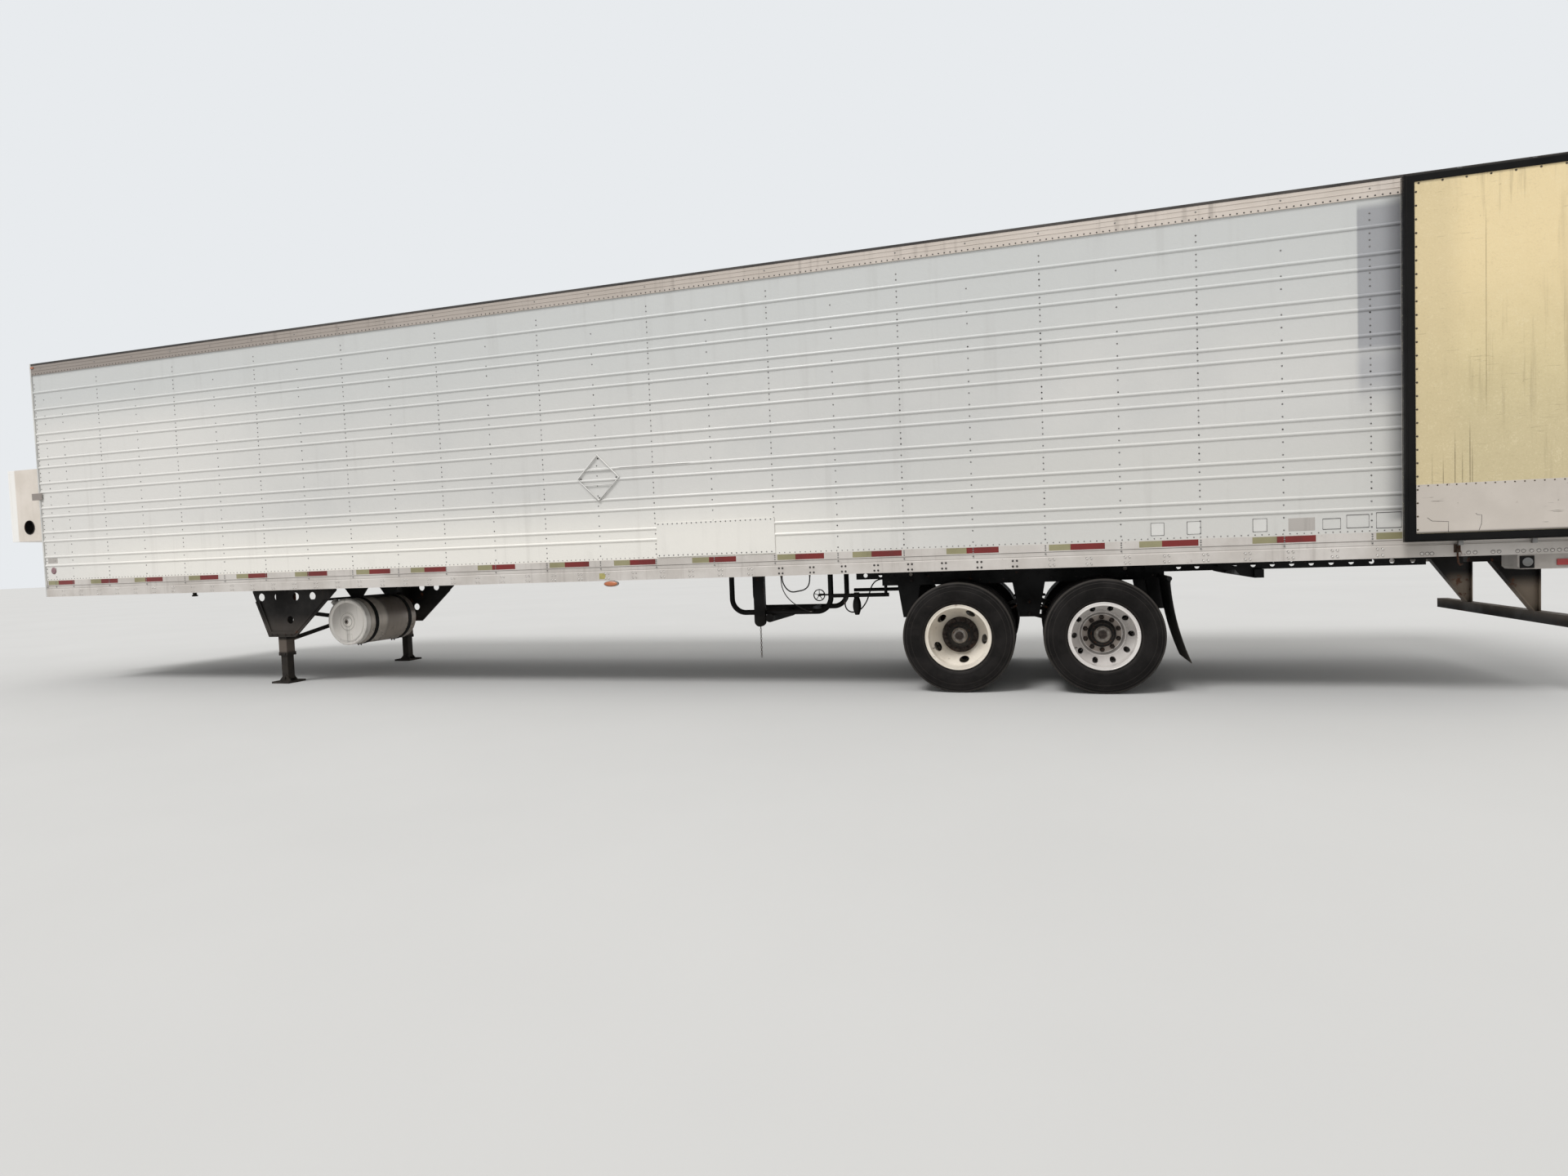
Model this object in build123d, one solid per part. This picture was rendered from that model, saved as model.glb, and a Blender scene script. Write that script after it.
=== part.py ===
# Refrigerated van semi-trailer, 16.15 m body, tandem bogie, doors swung back on the sides.
# Row frame: X forward, Y to the left, Z up, floor at Z = 0, middle of the whole length at X = 0.
# Lengths along the body are stations: millimetres back from the nose wall.
from build123d import *
from math import cos, pi, radians, sin, sqrt, tan
import os

# Body
BODY_LENGTH = 16154.0
HALF_WIDTH = 1295.0
RAIL_BOTTOM = 1110.0
BODY_HEIGHT = 2950.0
WALL = 60.0
NOSE_POST = 50.0
NOSE_WALL = 100.0
ROOF = 75.0
REAR_FRAME_DEPTH = 114.0

# Side skin, its pressed ribs and the scuff band inside
SKIN_INSET = 11.0
RIB_RISE = 9.0
RIB_WIDTH = 30.0
RIB_PAIRS = 7
RIB_PAIR_PITCH = 311.2
RIB_PAIR_SPACING = 110.0
FIRST_PAIR_RISE = 451.0
TOP_RIB_RISE = 2586.0
SCUFF_HEIGHT = 300.0
SCUFF_PROUD = 4.0

# Rails
BOTTOM_RAIL_HEIGHT = 207.0
LOWER_BAND = 92.0
MIDDLE_BAND = 50.0
BAND_STEP = 5.0
RAIL_LEG = 10.0
TOP_RAIL_HEIGHT = 145.0
ROOF_EDGE_RADIUS = 20.0
ROOF_CROWN = 8.0
CORNER_RADIUS = 42.0

# Floor and cross members
CROSSMEMBER_LIFT = 8.0
CROSSMEMBER_HEIGHT = 102.0
CROSSMEMBER_FLANGE = 50.0
CROSSMEMBER_WEB = 6.0
CROSSMEMBER_PITCH = 304.8
CROSSMEMBER_END_GAP = 460.0
CROSSMEMBER_FRONT_GAP = 200.0
FLOOR_SLAB = 95.0
FLOOR_RIB = 32.0
FLOOR_RIB_WIDTH = 34.0
FLOOR_RIB_COUNT = 31

# Rear frame
POST_WIDTH = 37.0
HEADER_HEIGHT = 50.0
SILL_HEIGHT = 115.0
KEEPER_GAP = 24.0
KEEPER_CHEEK = 10.0
KEEPER_DEPTH = 38.0
KEEPER_HEIGHT = 55.0

# Doors
DOOR_GAP = 8.0
DOOR_CENTRE_GAP = 6.0
PIN_BEHIND = 45.0
PIN_OUTSIDE = 5.0
DOOR_OFFSET = 62.0
DOOR_SKIN = 36.0
DOOR_PLUG = 40.0
GASKET_WIDTH = 62.0
GASKET_PROUD = 8.0
EDGE_BEVEL = 15.0
HINGE_COUNT = 5
HINGE_END_GAP = 200.0
HINGE_HEIGHT = 90.0
HINGE_BARREL = 14.0
HINGE_STRAP = 8.0
HINGE_REACH = 320.0
HINGE_CLEARANCE = 1.0
KNUCKLE_HEIGHT = 40.0
ROD_RADIUS = 13.0
ROD_STANDOFF = 36.0
INNER_ROD = 430.0
OUTER_ROD = 900.0
ROD_OVERHANG = 30.0
CAM_HALF_WIDTH = 16.0
CAM_HEIGHT = 45.0
GUIDE_HALF_WIDTH = 45.0
GUIDE_HEIGHT = 60.0
GUIDE_CLOSENESS = 4.0
HANDLE_RISE = 650.0
HANDLE_LENGTH = 330.0
HANDLE_HEIGHT = 32.0
HANDLE_THICKNESS = 10.0

# Cooling unit on the nose
UNIT_DROP = 118.0
UNIT_DEPTH = 633.0
UNIT_HALF_WIDTH = 1240.0
UNIT_HEIGHT = 917.0
UNIT_TOP_DEPTH = 420.0
UNIT_TOP_HALF_WIDTH = 1000.0
UNIT_TOP_HEIGHT = 1190.0
UNIT_CORNER = 60.0
UNIT_TOP_CORNER = 90.0
EXHAUST_STATION = -260.0
EXHAUST_RISE = 176.0
EXHAUST_RADIUS = 85.0
EXHAUST_DEPTH = 90.0
SEAM_WIDTH = 6.0
SEAM_DEPTH = 5.0
DOOR_SEAM_Y = 800.0
GRILLE_HALF_WIDTH = 760.0
GRILLE_MARGIN = 130.0
GRILLE_TOP_MARGIN = 300.0
GRILLE_DEPTH = 40.0
GRILLE_FRAME = 30.0
GRILLE_BACK = 8.0
LOUVRE_PITCH = 62.0
LOUVRE_LEAN = 24.0
LOUVRE_THICKNESS = 4.0

# Nose
BULKHEAD_GAP = 60.0
BULKHEAD = 30.0
BULKHEAD_HALF_WIDTH = 1180.0
BULKHEAD_HEIGHT = 2100.0
RETURN_SLOTS = 7
RETURN_SLOT_WIDTH = 200.0
RETURN_SLOT_LOW = 50.0
RETURN_SLOT_HIGH = 200.0
BATTEN_WIDTH = 50.0
BATTEN_INSET = 40.0
COUPLING_RISE = 110.0
COUPLING_SPACING = 460.0
COUPLING_REACH = 46.0
COUPLING_RADIUS = 34.0
SOCKET_REACH = 58.0
SOCKET_RADIUS = 36.0
BRACKET_RISE = 1235.0
BRACKET_HEIGHT = 85.0
BRACKET_AHEAD = 85.0
BRACKET_BEHIND = 90.0
BRACKET_THICKNESS = 6.0

# Coupling
KINGPIN_SETBACK = 914.0
COUPLER_LENGTH = 1600.0
COUPLER_HALF_WIDTH = 1150.0
COUPLER_PLATE = 10.0
COUPLER_DROP = 4.0
COUPLER_BEAMS = 6
KINGPIN_NECK = 25.4
KINGPIN_SHOULDER = 36.5
KINGPIN_FLANGE = 35.7
KINGPIN_SHOULDER_LENGTH = 29.0
KINGPIN_NECK_LENGTH = 35.0
KINGPIN_FLANGE_LENGTH = 20.0

# Landing legs
LEG_STATION = 3560.0
LEG_INSET = 280.0
LEG_TUBE = 116.0
LEG_TUBE_BOTTOM = 325.0
LEG_INNER = 92.0
COLLAR_HEIGHT = 40.0
COLLAR_PROUD = 8.0
GEARBOX_LOW = 900.0
GEARBOX_HEIGHT = 160.0
GEARBOX_DEPTH = 60.0
SHAFT_HEIGHT = 950.0
SHAFT_RADIUS = 16.0
CRANK_HEIGHT = 1025.0
CRANK_RADIUS = 12.0
CRANK_REACH = 110.0
CRANK_DROP = 330.0
SHOE_SIZE = 250.0
SHOE_PLATE = 10.0
SHOE_LIP = 22.0
SHOE_LUG = 10.0
SHOE_PIN_HEIGHT = 62.0
SHOE_PIN_RADIUS = 16.0
SHOE_LUG_HALF = 48.0

# Stamped wing plates of the legs
WING_PLATE = 8.0
WING_FRONT = 395.0
WING_BACK = 840.0
WING_FOOT_FRONT = 175.0
WING_FOOT_BACK = 220.0
WING_FOOT = 550.0
WING_BAND = 34.0
WING_FLANGE = 60.0
WING_RIM = 62.0
WING_RIM_PROUD = 14.0
WING_RIM_TOP = 975.0
WING_HOLE_HEIGHT = 1025.0
WING_HOLE_RADIUS = 46.0
WING_LOW_HOLE_AT = 146.0
WING_LOW_HOLE_HEIGHT = 751.0
CROSS_BRACE_LOW = 480.0
CROSS_BRACE_HIGH = 830.0
CROSS_BRACE_WIDTH = 50.0
CROSS_BRACE_THICKNESS = 8.0
CROSS_BRACE_GAP = 12.0

# Fuel tank
TANK_STATION = 4250.0
TANK_HEIGHT = 695.0
TANK_RADIUS = 280.0
TANK_END_INSET = 500.0
TANK_LENGTH = 865.0
TANK_RIM = 12.0
TANK_DISH = 26.0
TANK_BOSS = 62.0
TANK_BOSS_PROUD = 18.0
FILLER_RADIUS = 42.0
FILLER_LENGTH = 70.0
STRAP_THICKNESS = 6.0
STRAP_WIDTH = 50.0
FIRST_STRAP_INSET = 160.0
STRAP_SPACING = 560.0
STRAP_HANGER_HALF = 60.0
STRAP_HANGER_TOP = 175.0

# Spare wheel carrier
HOOP_FRONT = 9015.0
HOOP_REAR = 10110.0
HOOP_BOTTOM = 700.0
HOOP_RADIUS = 28.0
HOOP_BEND = 150.0
HOOP_OFFSET = 395.0
HOOP_FOOT_LENGTH = 260.0
HOOP_FOOT_WIDTH = 90.0
HOOP_FOOT = 8.0
HOOP_TIE_SHARE = 0.72
HOOP_TIE_RADIUS = 22.0
POST_STATION = 9340.0
POST_WIDTH_S = 120.0
POST_THICKNESS = 40.0
POST_BOTTOM = 550.0
ROLLER_AT = 110.0
ROLLER_RADIUS = 45.0
HAND_WHEEL_AHEAD = 110.0
HAND_WHEEL_HEIGHT = 873.0
HAND_WHEEL_RADIUS = 58.0
HAND_WHEEL_RIM = 5.0
HAND_WHEEL_HUB = 14.0
HAND_WHEEL_ARM = 9.0
HAND_WHEEL_SPOKE = 3.5
HAND_WHEEL_REACH = 40.0
HAND_WHEEL_SPOKES = 5

# Air hoses: diameters, and routes as station, Y and height
HOSE_CLIP = 18.0
HOSE_ARC_SHARE = 0.45
SUPPLY_HOSE = 14.0
SUPPLY_HOSE_ROUTE = [
    (9903, 450, 1096), (9903, 450, 1033), (9886, 450, 968), (9838, 450, 930), (9768, 449, 918),
    (9700, 447, 908), (9645, 446, 942), (9610, 445, 1000), (9598, 445, 1048), (9598, 445, 1096)]
CONTROL_HOSE = 10.0
CONTROL_HOSE_ROUTE = [
    (9598, 485, 1096), (9598, 485, 1022), (9612, 484, 942), (9650, 480, 868), (9712, 472, 802),
    (9785, 459, 750), (9846, 447, 718), (9884, 441, 703), (9915, 441, 703)]
BOGIE_HOSE = 14.0
# the two on the bogie have their stations from the front axle
BOGIE_HOSE_ROUTE = [
    (-810, 335, 1020), (-880, 335, 1020), (-940, 346, 965), (-965, 370, 880), (-990, 405, 790),
    (-1045, 450, 712), (-1115, 500, 688), (-1160, 535, 708), (-1187, 556, 755), (-1187, 556, 805)]
CHAMBER_HOSE = 12.0
CHAMBER_HOSE_ROUTE = [
    (595, 430, 950), (595, 430, 892), (582, 431, 830), (570, 432, 765), (568, 433, 700),
    (608, 435, 660), (665, 437, 658), (706, 438, 698), (706, 437, 762), (688, 434, 826),
    (660, 430, 892), (660, 430, 950)]

# Relay valve on the left pull bar
VALVE_AHEAD = 270.0
VALVE_CLAMP = 10.0
VALVE_CLAMP_HALF = 25.0
VALVE_NECK = 26.0
VALVE_BELLY = 40.0
VALVE_TIP = 20.0
VALVE_BELLY_DROP = 111.0
VALVE_LENGTH = 174.0

# Bogie runway under the body
RUNWAY_END_GAP = 809.0
RUNWAY_LENGTH = 4915.0
RUNWAY_OUTER = 605.0
RUNWAY_WEB = 8.0
RUNWAY_DEPTH = 90.0
RUNWAY_FLANGE = 60.0
PIN_HOLE_PITCH = 152.4
PIN_HOLE_RADIUS = 21.0
PIN_HOLE_RISE = 40.0
FIRST_PIN_HOLE_AT = 95.0
STOP_END_GAP = 1280.0
STOP_SIZE = 75.0
STOP_OVERHANG = 60.0
STOP_HOOK_LENGTH = 180.0
STOP_HOOK_TIP = 140.0
STOP_HOOK_DROP = 50.0
STOP_HOOK_WIDTH = 40.0

# Bogie
TANDEM_FROM_REAR = 4674.0
AXLE_SPACING = 1244.6
BOGIE_AHEAD = 790.0
BOGIE_BEHIND = 575.4
BEAM_INNER = 500.0
BEAM_WIDTH = 88.0
BEAM_WALL = 6.0
BEAM_BOTTOM = 960.0
BEAM_TOP = 1104.0
BOGIE_TIE = 100.0
BOGIE_TIE_WALL = 8.0
BOGIE_TIE_DROP = 20.0
PULL_BAR_HEIGHT = 870.0
PULL_BAR_RADIUS = 20.0
PULL_BAR_HANGER_RADIUS = 16.0
PULL_BAR_AHEAD = 530.0
PULL_BAR_BEHIND = 60.0

# Springs
SPRING_WIDTH = 70.0
LEAF = 15.0
SPRING_SEAT = 14.0
SPRING_CAMBER = 139.5
SPRING_HALF_SPAN = 555.0
HANGER_PLATE = 6.0
HANGER_WEB_DROP = 60.0
PAD_HALF = 45.0
PAD_HEIGHT = 20.0
END_HANGER_AT = 30.0
ROCKER_HALF = 165.0
ROCKER_HEIGHT = 52.0
ROCKER_TIP = 22.0
ROCKER_SIDE_GAP = 4.0
ROCKER_HUB_HALF = 58.0
ROCKER_PIN_RADIUS = 24.0
U_BOLT_RADIUS = 9.0
U_BOLT_CLEARANCE = 1.0
CLAMP_PLATE = 12.0
CLAMP_HALF = 100.0
ROD_END_RADIUS = 30.0
ROD_END_HALF = 28.0
ROD_PIN_RADIUS = 12.0
TORQUE_ROD_RADIUS = 20.0
TORQUE_ROD_FOOT = 520.0
FRONT_ROD_FOOT = 640.0
ROCKER_ROD_FOOT = 630.0
TORQUE_ROD_AHEAD = 104.0
TORQUE_LUG = 8.0

# Axles and brakes
AXLE_RADIUS = 63.5
SPINDLE_RADIUS = 36.0
BEARING_CLEARANCE = 1.0
SPINDLE_OVERHANG = 60.0
CHAMBER_Y = 350.0
CHAMBER_RADIUS = 82.0
CHAMBER_LENGTH = 220.0
CHAMBER_BAND = 8.0
CHAMBER_LIFT = 60.0
CHAMBER_BEHIND = 110.0
CAM_TUBE_RADIUS = 20.0
CAM_TUBE_BEHIND = 128.0
AIR_TANK_RADIUS = 118.0
AIR_TANK_HALF = 330.0
AIR_TANK_AT = 330.0
AIR_TANK_BRACKET_Y = 200.0

# Mud flaps
FLAP_BEHIND = 525.4
FLAP_THICKNESS = 8.0
FLAP_LEAN = 160.0
FLAP_BOTTOM = 270.0
FLAP_BEND_HEIGHT = 620.0
FLAP_BEND = 50.0
FLAP_INNER = 640.0
FLAP_OUTER = 1245.0
FLAP_BAR_RADIUS = 20.0
FLAP_BAR_DROP = 38.0

# Wheels
TYRE_RADIUS = 503.0
TYRE_WIDTH = 283.0
DUAL_SPACING = 343.0
OUTER_TYRE_CENTRE = 1130.0
RIM_FLANGE_RADIUS = 298.0
RIM_SEAT_RADIUS = 286.0
RIM_WELL = 10.0
RIM_WALL = 8.0
RIM_WIDTH = 232.0
RIM_FLANGE = 8.0
BEAD_GAP = 1.0
DISC = 12.0
DISC_FLAT_RADIUS = 172.0
DISC_STEP_RADIUS = 196.0
DISC_STEP = 34.0
HUB_FLANGE_RADIUS = 118.0
HUB_LENGTH = 120.0
HUB_CAP_RADIUS = 66.0
DRUM_RADIUS = 212.0
DRUM_WIDTH = 190.0
DRUM_WALL = 20.0
SPIDER_RADIUS = 180.0

# Rear lamps, bumpers and underride guard
LAMP_BOX_LENGTH = 474.0
LAMP_BOX_INNER = 1060.0
LAMP_BOX_DEPTH = 112.0
LAMP_BOX_INSET = 3.0
LAMP_BOX_CHAMFER = 20.0
REAR_LAMP_RADIUS = 48.0
REAR_LAMP_PROUD = 10.0
REAR_LAMPS_AT = (700.0, 980.0, 1095.0)
SIDE_LAMP_LENGTH = 115.0
SIDE_LAMP_HEIGHT = 46.0
SIDE_LAMP_DROP = 86.0
SIDE_LAMP_PROUD = 9.0
HEADER_LAMP_HALF = 40.0
HEADER_LAMP_HEIGHT = 28.0
HEADER_LAMP_PITCH = 150.0
HEADER_LAMP_OUTER = 1180.0
AMBER_STATION = 7960.0
AMBER_LENGTH = 162.0
AMBER_DEPTH = 62.0
AMBER_WIDTH = 38.0
BUMPER_DEPTH = 50.0
BUMPER_INNER = 1160.0
BUMPER_WIDTH = 100.0
BUMPER_HEIGHT = 95.0
GUARD_SETBACK = 54.0
GUARD_SIZE = 90.0
GUARD_WALL = 6.0
GUARD_BOTTOM = 530.0
GUARD_HALF_WIDTH = 1150.0
GUARD_STRUT = 570.0
GUARD_RAKE = 340.0
GUARD_PLATE = 10.0
GUARD_FLANGE = 80.0
GUARD_BACK_GAP = 5.0
GUARD_BEAM_LENGTH = 400.0
GUARD_BEAM_DROP = 70.0

# Derived places
BODY_TOP = RAIL_BOTTOM + BODY_HEIGHT
RAIL_TOP = RAIL_BOTTOM + BOTTOM_RAIL_HEIGHT
CROSSMEMBER_BOTTOM = RAIL_BOTTOM + CROSSMEMBER_LIFT
FLOOR_UNDERSIDE = CROSSMEMBER_BOTTOM + CROSSMEMBER_HEIGHT
FLOOR_TOP = FLOOR_UNDERSIDE + FLOOR_SLAB + FLOOR_RIB
CEILING = BODY_TOP - ROOF
SKIN = HALF_WIDTH - SKIN_INSET
LINER = HALF_WIDTH - WALL
FRAME_STATION = BODY_LENGTH - REAR_FRAME_DEPTH
PIN_STATION = BODY_LENGTH + PIN_BEHIND
PIN_Y = HALF_WIDTH + PIN_OUTSIDE
DOOR_BOTTOM = RAIL_BOTTOM + SILL_HEIGHT + DOOR_GAP
DOOR_TOP = BODY_TOP - HEADER_HEIGHT - DOOR_GAP
DOOR_THICKNESS = DOOR_SKIN + DOOR_PLUG
HINGE_SIDE = PIN_Y - (HALF_WIDTH - POST_WIDTH - DOOR_GAP)
FREE_SIDE = PIN_Y - DOOR_CENTRE_GAP
ROD_DEPTH = DOOR_OFFSET - ROD_STANDOFF
REAR_REACH = PIN_STATION + HINGE_BARREL
NOSE_X = (UNIT_DEPTH + REAR_REACH) / 2.0 - UNIT_DEPTH
UNIT_TOP = BODY_TOP - UNIT_DROP
UNIT_MIDDLE = UNIT_TOP - UNIT_TOP_HEIGHT
UNIT_LOW = UNIT_MIDDLE - UNIT_HEIGHT
COUPLER_LOW = RAIL_BOTTOM - COUPLER_DROP
AXLE_HEIGHT = TYRE_RADIUS
AXLE_STATION = BODY_LENGTH - TANDEM_FROM_REAR
REAR_AXLE_STATION = AXLE_STATION + AXLE_SPACING
TANDEM_MIDDLE = AXLE_STATION + AXLE_SPACING / 2.0
BOGIE_FRONT = AXLE_STATION - BOGIE_AHEAD
BOGIE_REAR = REAR_AXLE_STATION + BOGIE_BEHIND
SPRING_Y = BEAM_INNER + BEAM_WIDTH / 2.0
RUNWAY_REAR = BODY_LENGTH - RUNWAY_END_GAP
RUNWAY_FRONT = RUNWAY_REAR - RUNWAY_LENGTH
RUNWAY_LOW = CROSSMEMBER_BOTTOM - RUNWAY_DEPTH
LEG_Y = HALF_WIDTH - LEG_INSET
INNER_TYRE_CENTRE = OUTER_TYRE_CENTRE - DUAL_SPACING
WHEEL_FACE = (OUTER_TYRE_CENTRE + INNER_TYRE_CENTRE) / 2.0
AXLES = (AXLE_STATION, REAR_AXLE_STATION)

SIDES = {"left": 1.0, "right": -1.0}
NODES = {}


def x_at(station):
    """Row X of a place given as millimetres back from the nose."""
    return NOSE_X - station


def block(s0, s1, y0, y1, z0, z1):
    """A plain block between two stations, two Y values and two heights."""
    size = Box(abs(s1 - s0), abs(y1 - y0), abs(z1 - z0))
    middle = (x_at((s0 + s1) / 2.0), (y0 + y1) / 2.0, (z0 + z1) / 2.0)
    return Pos(*middle) * size


def outline(points):
    """A closed straight-sided face in the XY plane."""
    return make_face(Polyline(*points, close=True))


def along_body(face, s0, s1):
    """Extrude a face, drawn with its first axis on Y and its second on Z, between two stations."""
    placed = Plane(origin=(x_at(s1), 0, 0), x_dir=(0, 1, 0), z_dir=(1, 0, 0)) * face
    return extrude(placed, amount=s1 - s0)


def across_body(face, y0, y1):
    """Extrude a face, drawn with its first axis on X and its second on Z, between two Y values."""
    placed = Plane(origin=(0, max(y0, y1), 0), x_dir=(1, 0, 0), z_dir=(0, -1, 0)) * face
    return extrude(placed, amount=abs(y1 - y0))


def side_outline(points):
    """A closed face from (station, height) points, for across_body."""
    return outline([(x_at(s), z) for s, z in points])


def mirrored(shape):
    """The same piece on the right-hand side."""
    return mirror(shape, about=Plane.XZ)


def both(shape):
    """A left-hand piece and its mirror image."""
    return shape, mirrored(shape)


def turned(points, station, height):
    """Revolve an (r, y) outline about the crosswise axis through a station and height."""
    solid = revolve(outline(points), axis=Axis.Y)
    return Pos(x_at(station), 0, height) * solid


def rod(start, end, radius):
    """A round bar between two points given as (station, y, height)."""
    a = Vector(x_at(start[0]), start[1], start[2])
    b = Vector(x_at(end[0]), end[1], end[2])
    plane = Plane(origin=a, z_dir=(b - a).normalized())
    return extrude(plane * Circle(radius), amount=(b - a).length)


def pin(station, y0, y1, height, radius):
    """A round bar that lies straight across the body."""
    return rod((station, y0, height), (station, y1, height), radius)


def keep(name, *shapes):
    """Store the solids of one node."""
    solids = [solid for shape in shapes for solid in shape.solids()]
    NODES[name] = solids[0] if len(solids) == 1 else Compound(children=solids)


def rib_rises():
    """Heights of the pressed side ribs above the bottom of the rail."""
    rises = [TOP_RIB_RISE]
    for pair in range(RIB_PAIRS):
        middle = FIRST_PAIR_RISE + pair * RIB_PAIR_PITCH
        rises += [middle - RIB_PAIR_SPACING / 2.0, middle + RIB_PAIR_SPACING / 2.0]
    return sorted(rises)


def wall_section():
    """Insulated side wall with a ribbed skin outside."""
    lines = [Polyline((LINER, CEILING), (LINER, RAIL_TOP), (SKIN, RAIL_TOP))]
    last = (SKIN, RAIL_TOP)
    for rise in rib_rises():
        low = (SKIN, RAIL_BOTTOM + rise - RIB_WIDTH / 2.0)
        crest = (SKIN + RIB_RISE, RAIL_BOTTOM + rise)
        high = (SKIN, RAIL_BOTTOM + rise + RIB_WIDTH / 2.0)
        lines += [Line(last, low), ThreePointArc(low, crest, high)]
        last = high
    lines += [Polyline(last, (SKIN, CEILING), (LINER, CEILING))]
    return make_face(lines)


def bottom_rail_section():
    """Extruded bottom rail: tape band, recessed band and riveted lower band."""
    low = RAIL_BOTTOM + LOWER_BAND
    high = low + MIDDLE_BAND
    groove = HALF_WIDTH - BAND_STEP
    leg = HALF_WIDTH - RAIL_LEG
    return outline([
        (HALF_WIDTH, RAIL_BOTTOM), (HALF_WIDTH, low), (groove, low + BAND_STEP),
        (groove, high - BAND_STEP), (HALF_WIDTH, high), (HALF_WIDTH, RAIL_TOP),
        (LINER, RAIL_TOP), (LINER, FLOOR_UNDERSIDE), (leg, FLOOR_UNDERSIDE), (leg, RAIL_BOTTOM),
    ])


def top_rail_section():
    """Top rail: outer leg over the skin and a head that closes the wall against the roof."""
    low = BODY_TOP - TOP_RAIL_HEIGHT
    round_low = (HALF_WIDTH, BODY_TOP - ROOF_EDGE_RADIUS)
    round_high = (HALF_WIDTH - ROOF_EDGE_RADIUS, BODY_TOP)
    return make_face([
        Polyline(round_high, (LINER, BODY_TOP), (LINER, CEILING), (SKIN, CEILING), (SKIN, low),
                 (HALF_WIDTH, low), round_low),
        RadiusArc(round_low, round_high, -ROOF_EDGE_RADIUS),
    ])


def make_body_shell():
    """Walls, rails and roof between the nose frame and the rear frame."""
    span = (NOSE_POST, FRAME_STATION)
    wall = along_body(wall_section(), *span)
    wall += block(NOSE_WALL, FRAME_STATION, LINER - SCUFF_PROUD, LINER, FLOOR_TOP, FLOOR_TOP + SCUFF_HEIGHT)
    keep("side_wall_left", wall)
    keep("side_wall_right", mirrored(wall))
    keep("bottom_rails", *both(along_body(bottom_rail_section(), *span)))
    keep("top_rails", *both(along_body(top_rail_section(), *span)))
    edge = BODY_TOP - ROOF_CROWN
    roof = make_face([
        Polyline((LINER, edge), (LINER, CEILING), (-LINER, CEILING), (-LINER, edge)),
        ThreePointArc((-LINER, edge), (0, BODY_TOP), (LINER, edge)),
    ])
    keep("roof_panel", along_body(roof, NOSE_WALL, FRAME_STATION))


def crossmember_stations():
    """Stations of the cross members, counted forward from the rear."""
    last = BODY_LENGTH - CROSSMEMBER_END_GAP
    first = NOSE_WALL + COUPLER_LENGTH + CROSSMEMBER_FRONT_GAP
    count = int((last - first) // CROSSMEMBER_PITCH) + 1
    return [last - index * CROSSMEMBER_PITCH for index in range(count)]


def i_section(station):
    """Side outline of one I-shaped cross member."""
    flange = CROSSMEMBER_FLANGE / 2.0
    web = CROSSMEMBER_WEB / 2.0
    low, high = CROSSMEMBER_BOTTOM, FLOOR_UNDERSIDE
    inner_low, inner_high = low + CROSSMEMBER_WEB, high - CROSSMEMBER_WEB
    right = [(flange, low), (flange, inner_low), (web, inner_low), (web, inner_high), (flange, inner_high),
             (flange, high)]
    left = [(-offset, height) for offset, height in reversed(right)]
    return side_outline([(station + offset, height) for offset, height in right + left])


def make_floor():
    """Grooved floor deck and the cross members that carry it."""
    slab_top = FLOOR_UNDERSIDE + FLOOR_SLAB
    pitch = (2.0 * LINER - FLOOR_RIB_WIDTH) / FLOOR_RIB_COUNT
    points = [(-LINER, FLOOR_UNDERSIDE), (LINER, FLOOR_UNDERSIDE), (LINER, slab_top)]
    for rib in range(FLOOR_RIB_COUNT):
        middle = LINER - pitch * (rib + 0.5) - FLOOR_RIB_WIDTH / 2.0
        high = middle + FLOOR_RIB_WIDTH / 2.0
        low = middle - FLOOR_RIB_WIDTH / 2.0
        points += [(high, slab_top), (high, FLOOR_TOP), (low, FLOOR_TOP), (low, slab_top)]
    points += [(-LINER, slab_top)]
    keep("floor_deck", along_body(outline(points), NOSE_WALL, FRAME_STATION))
    reach = HALF_WIDTH - RAIL_LEG
    keep("crossmembers",
         *[across_body(i_section(station), -reach, reach) for station in crossmember_stations()])


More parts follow.
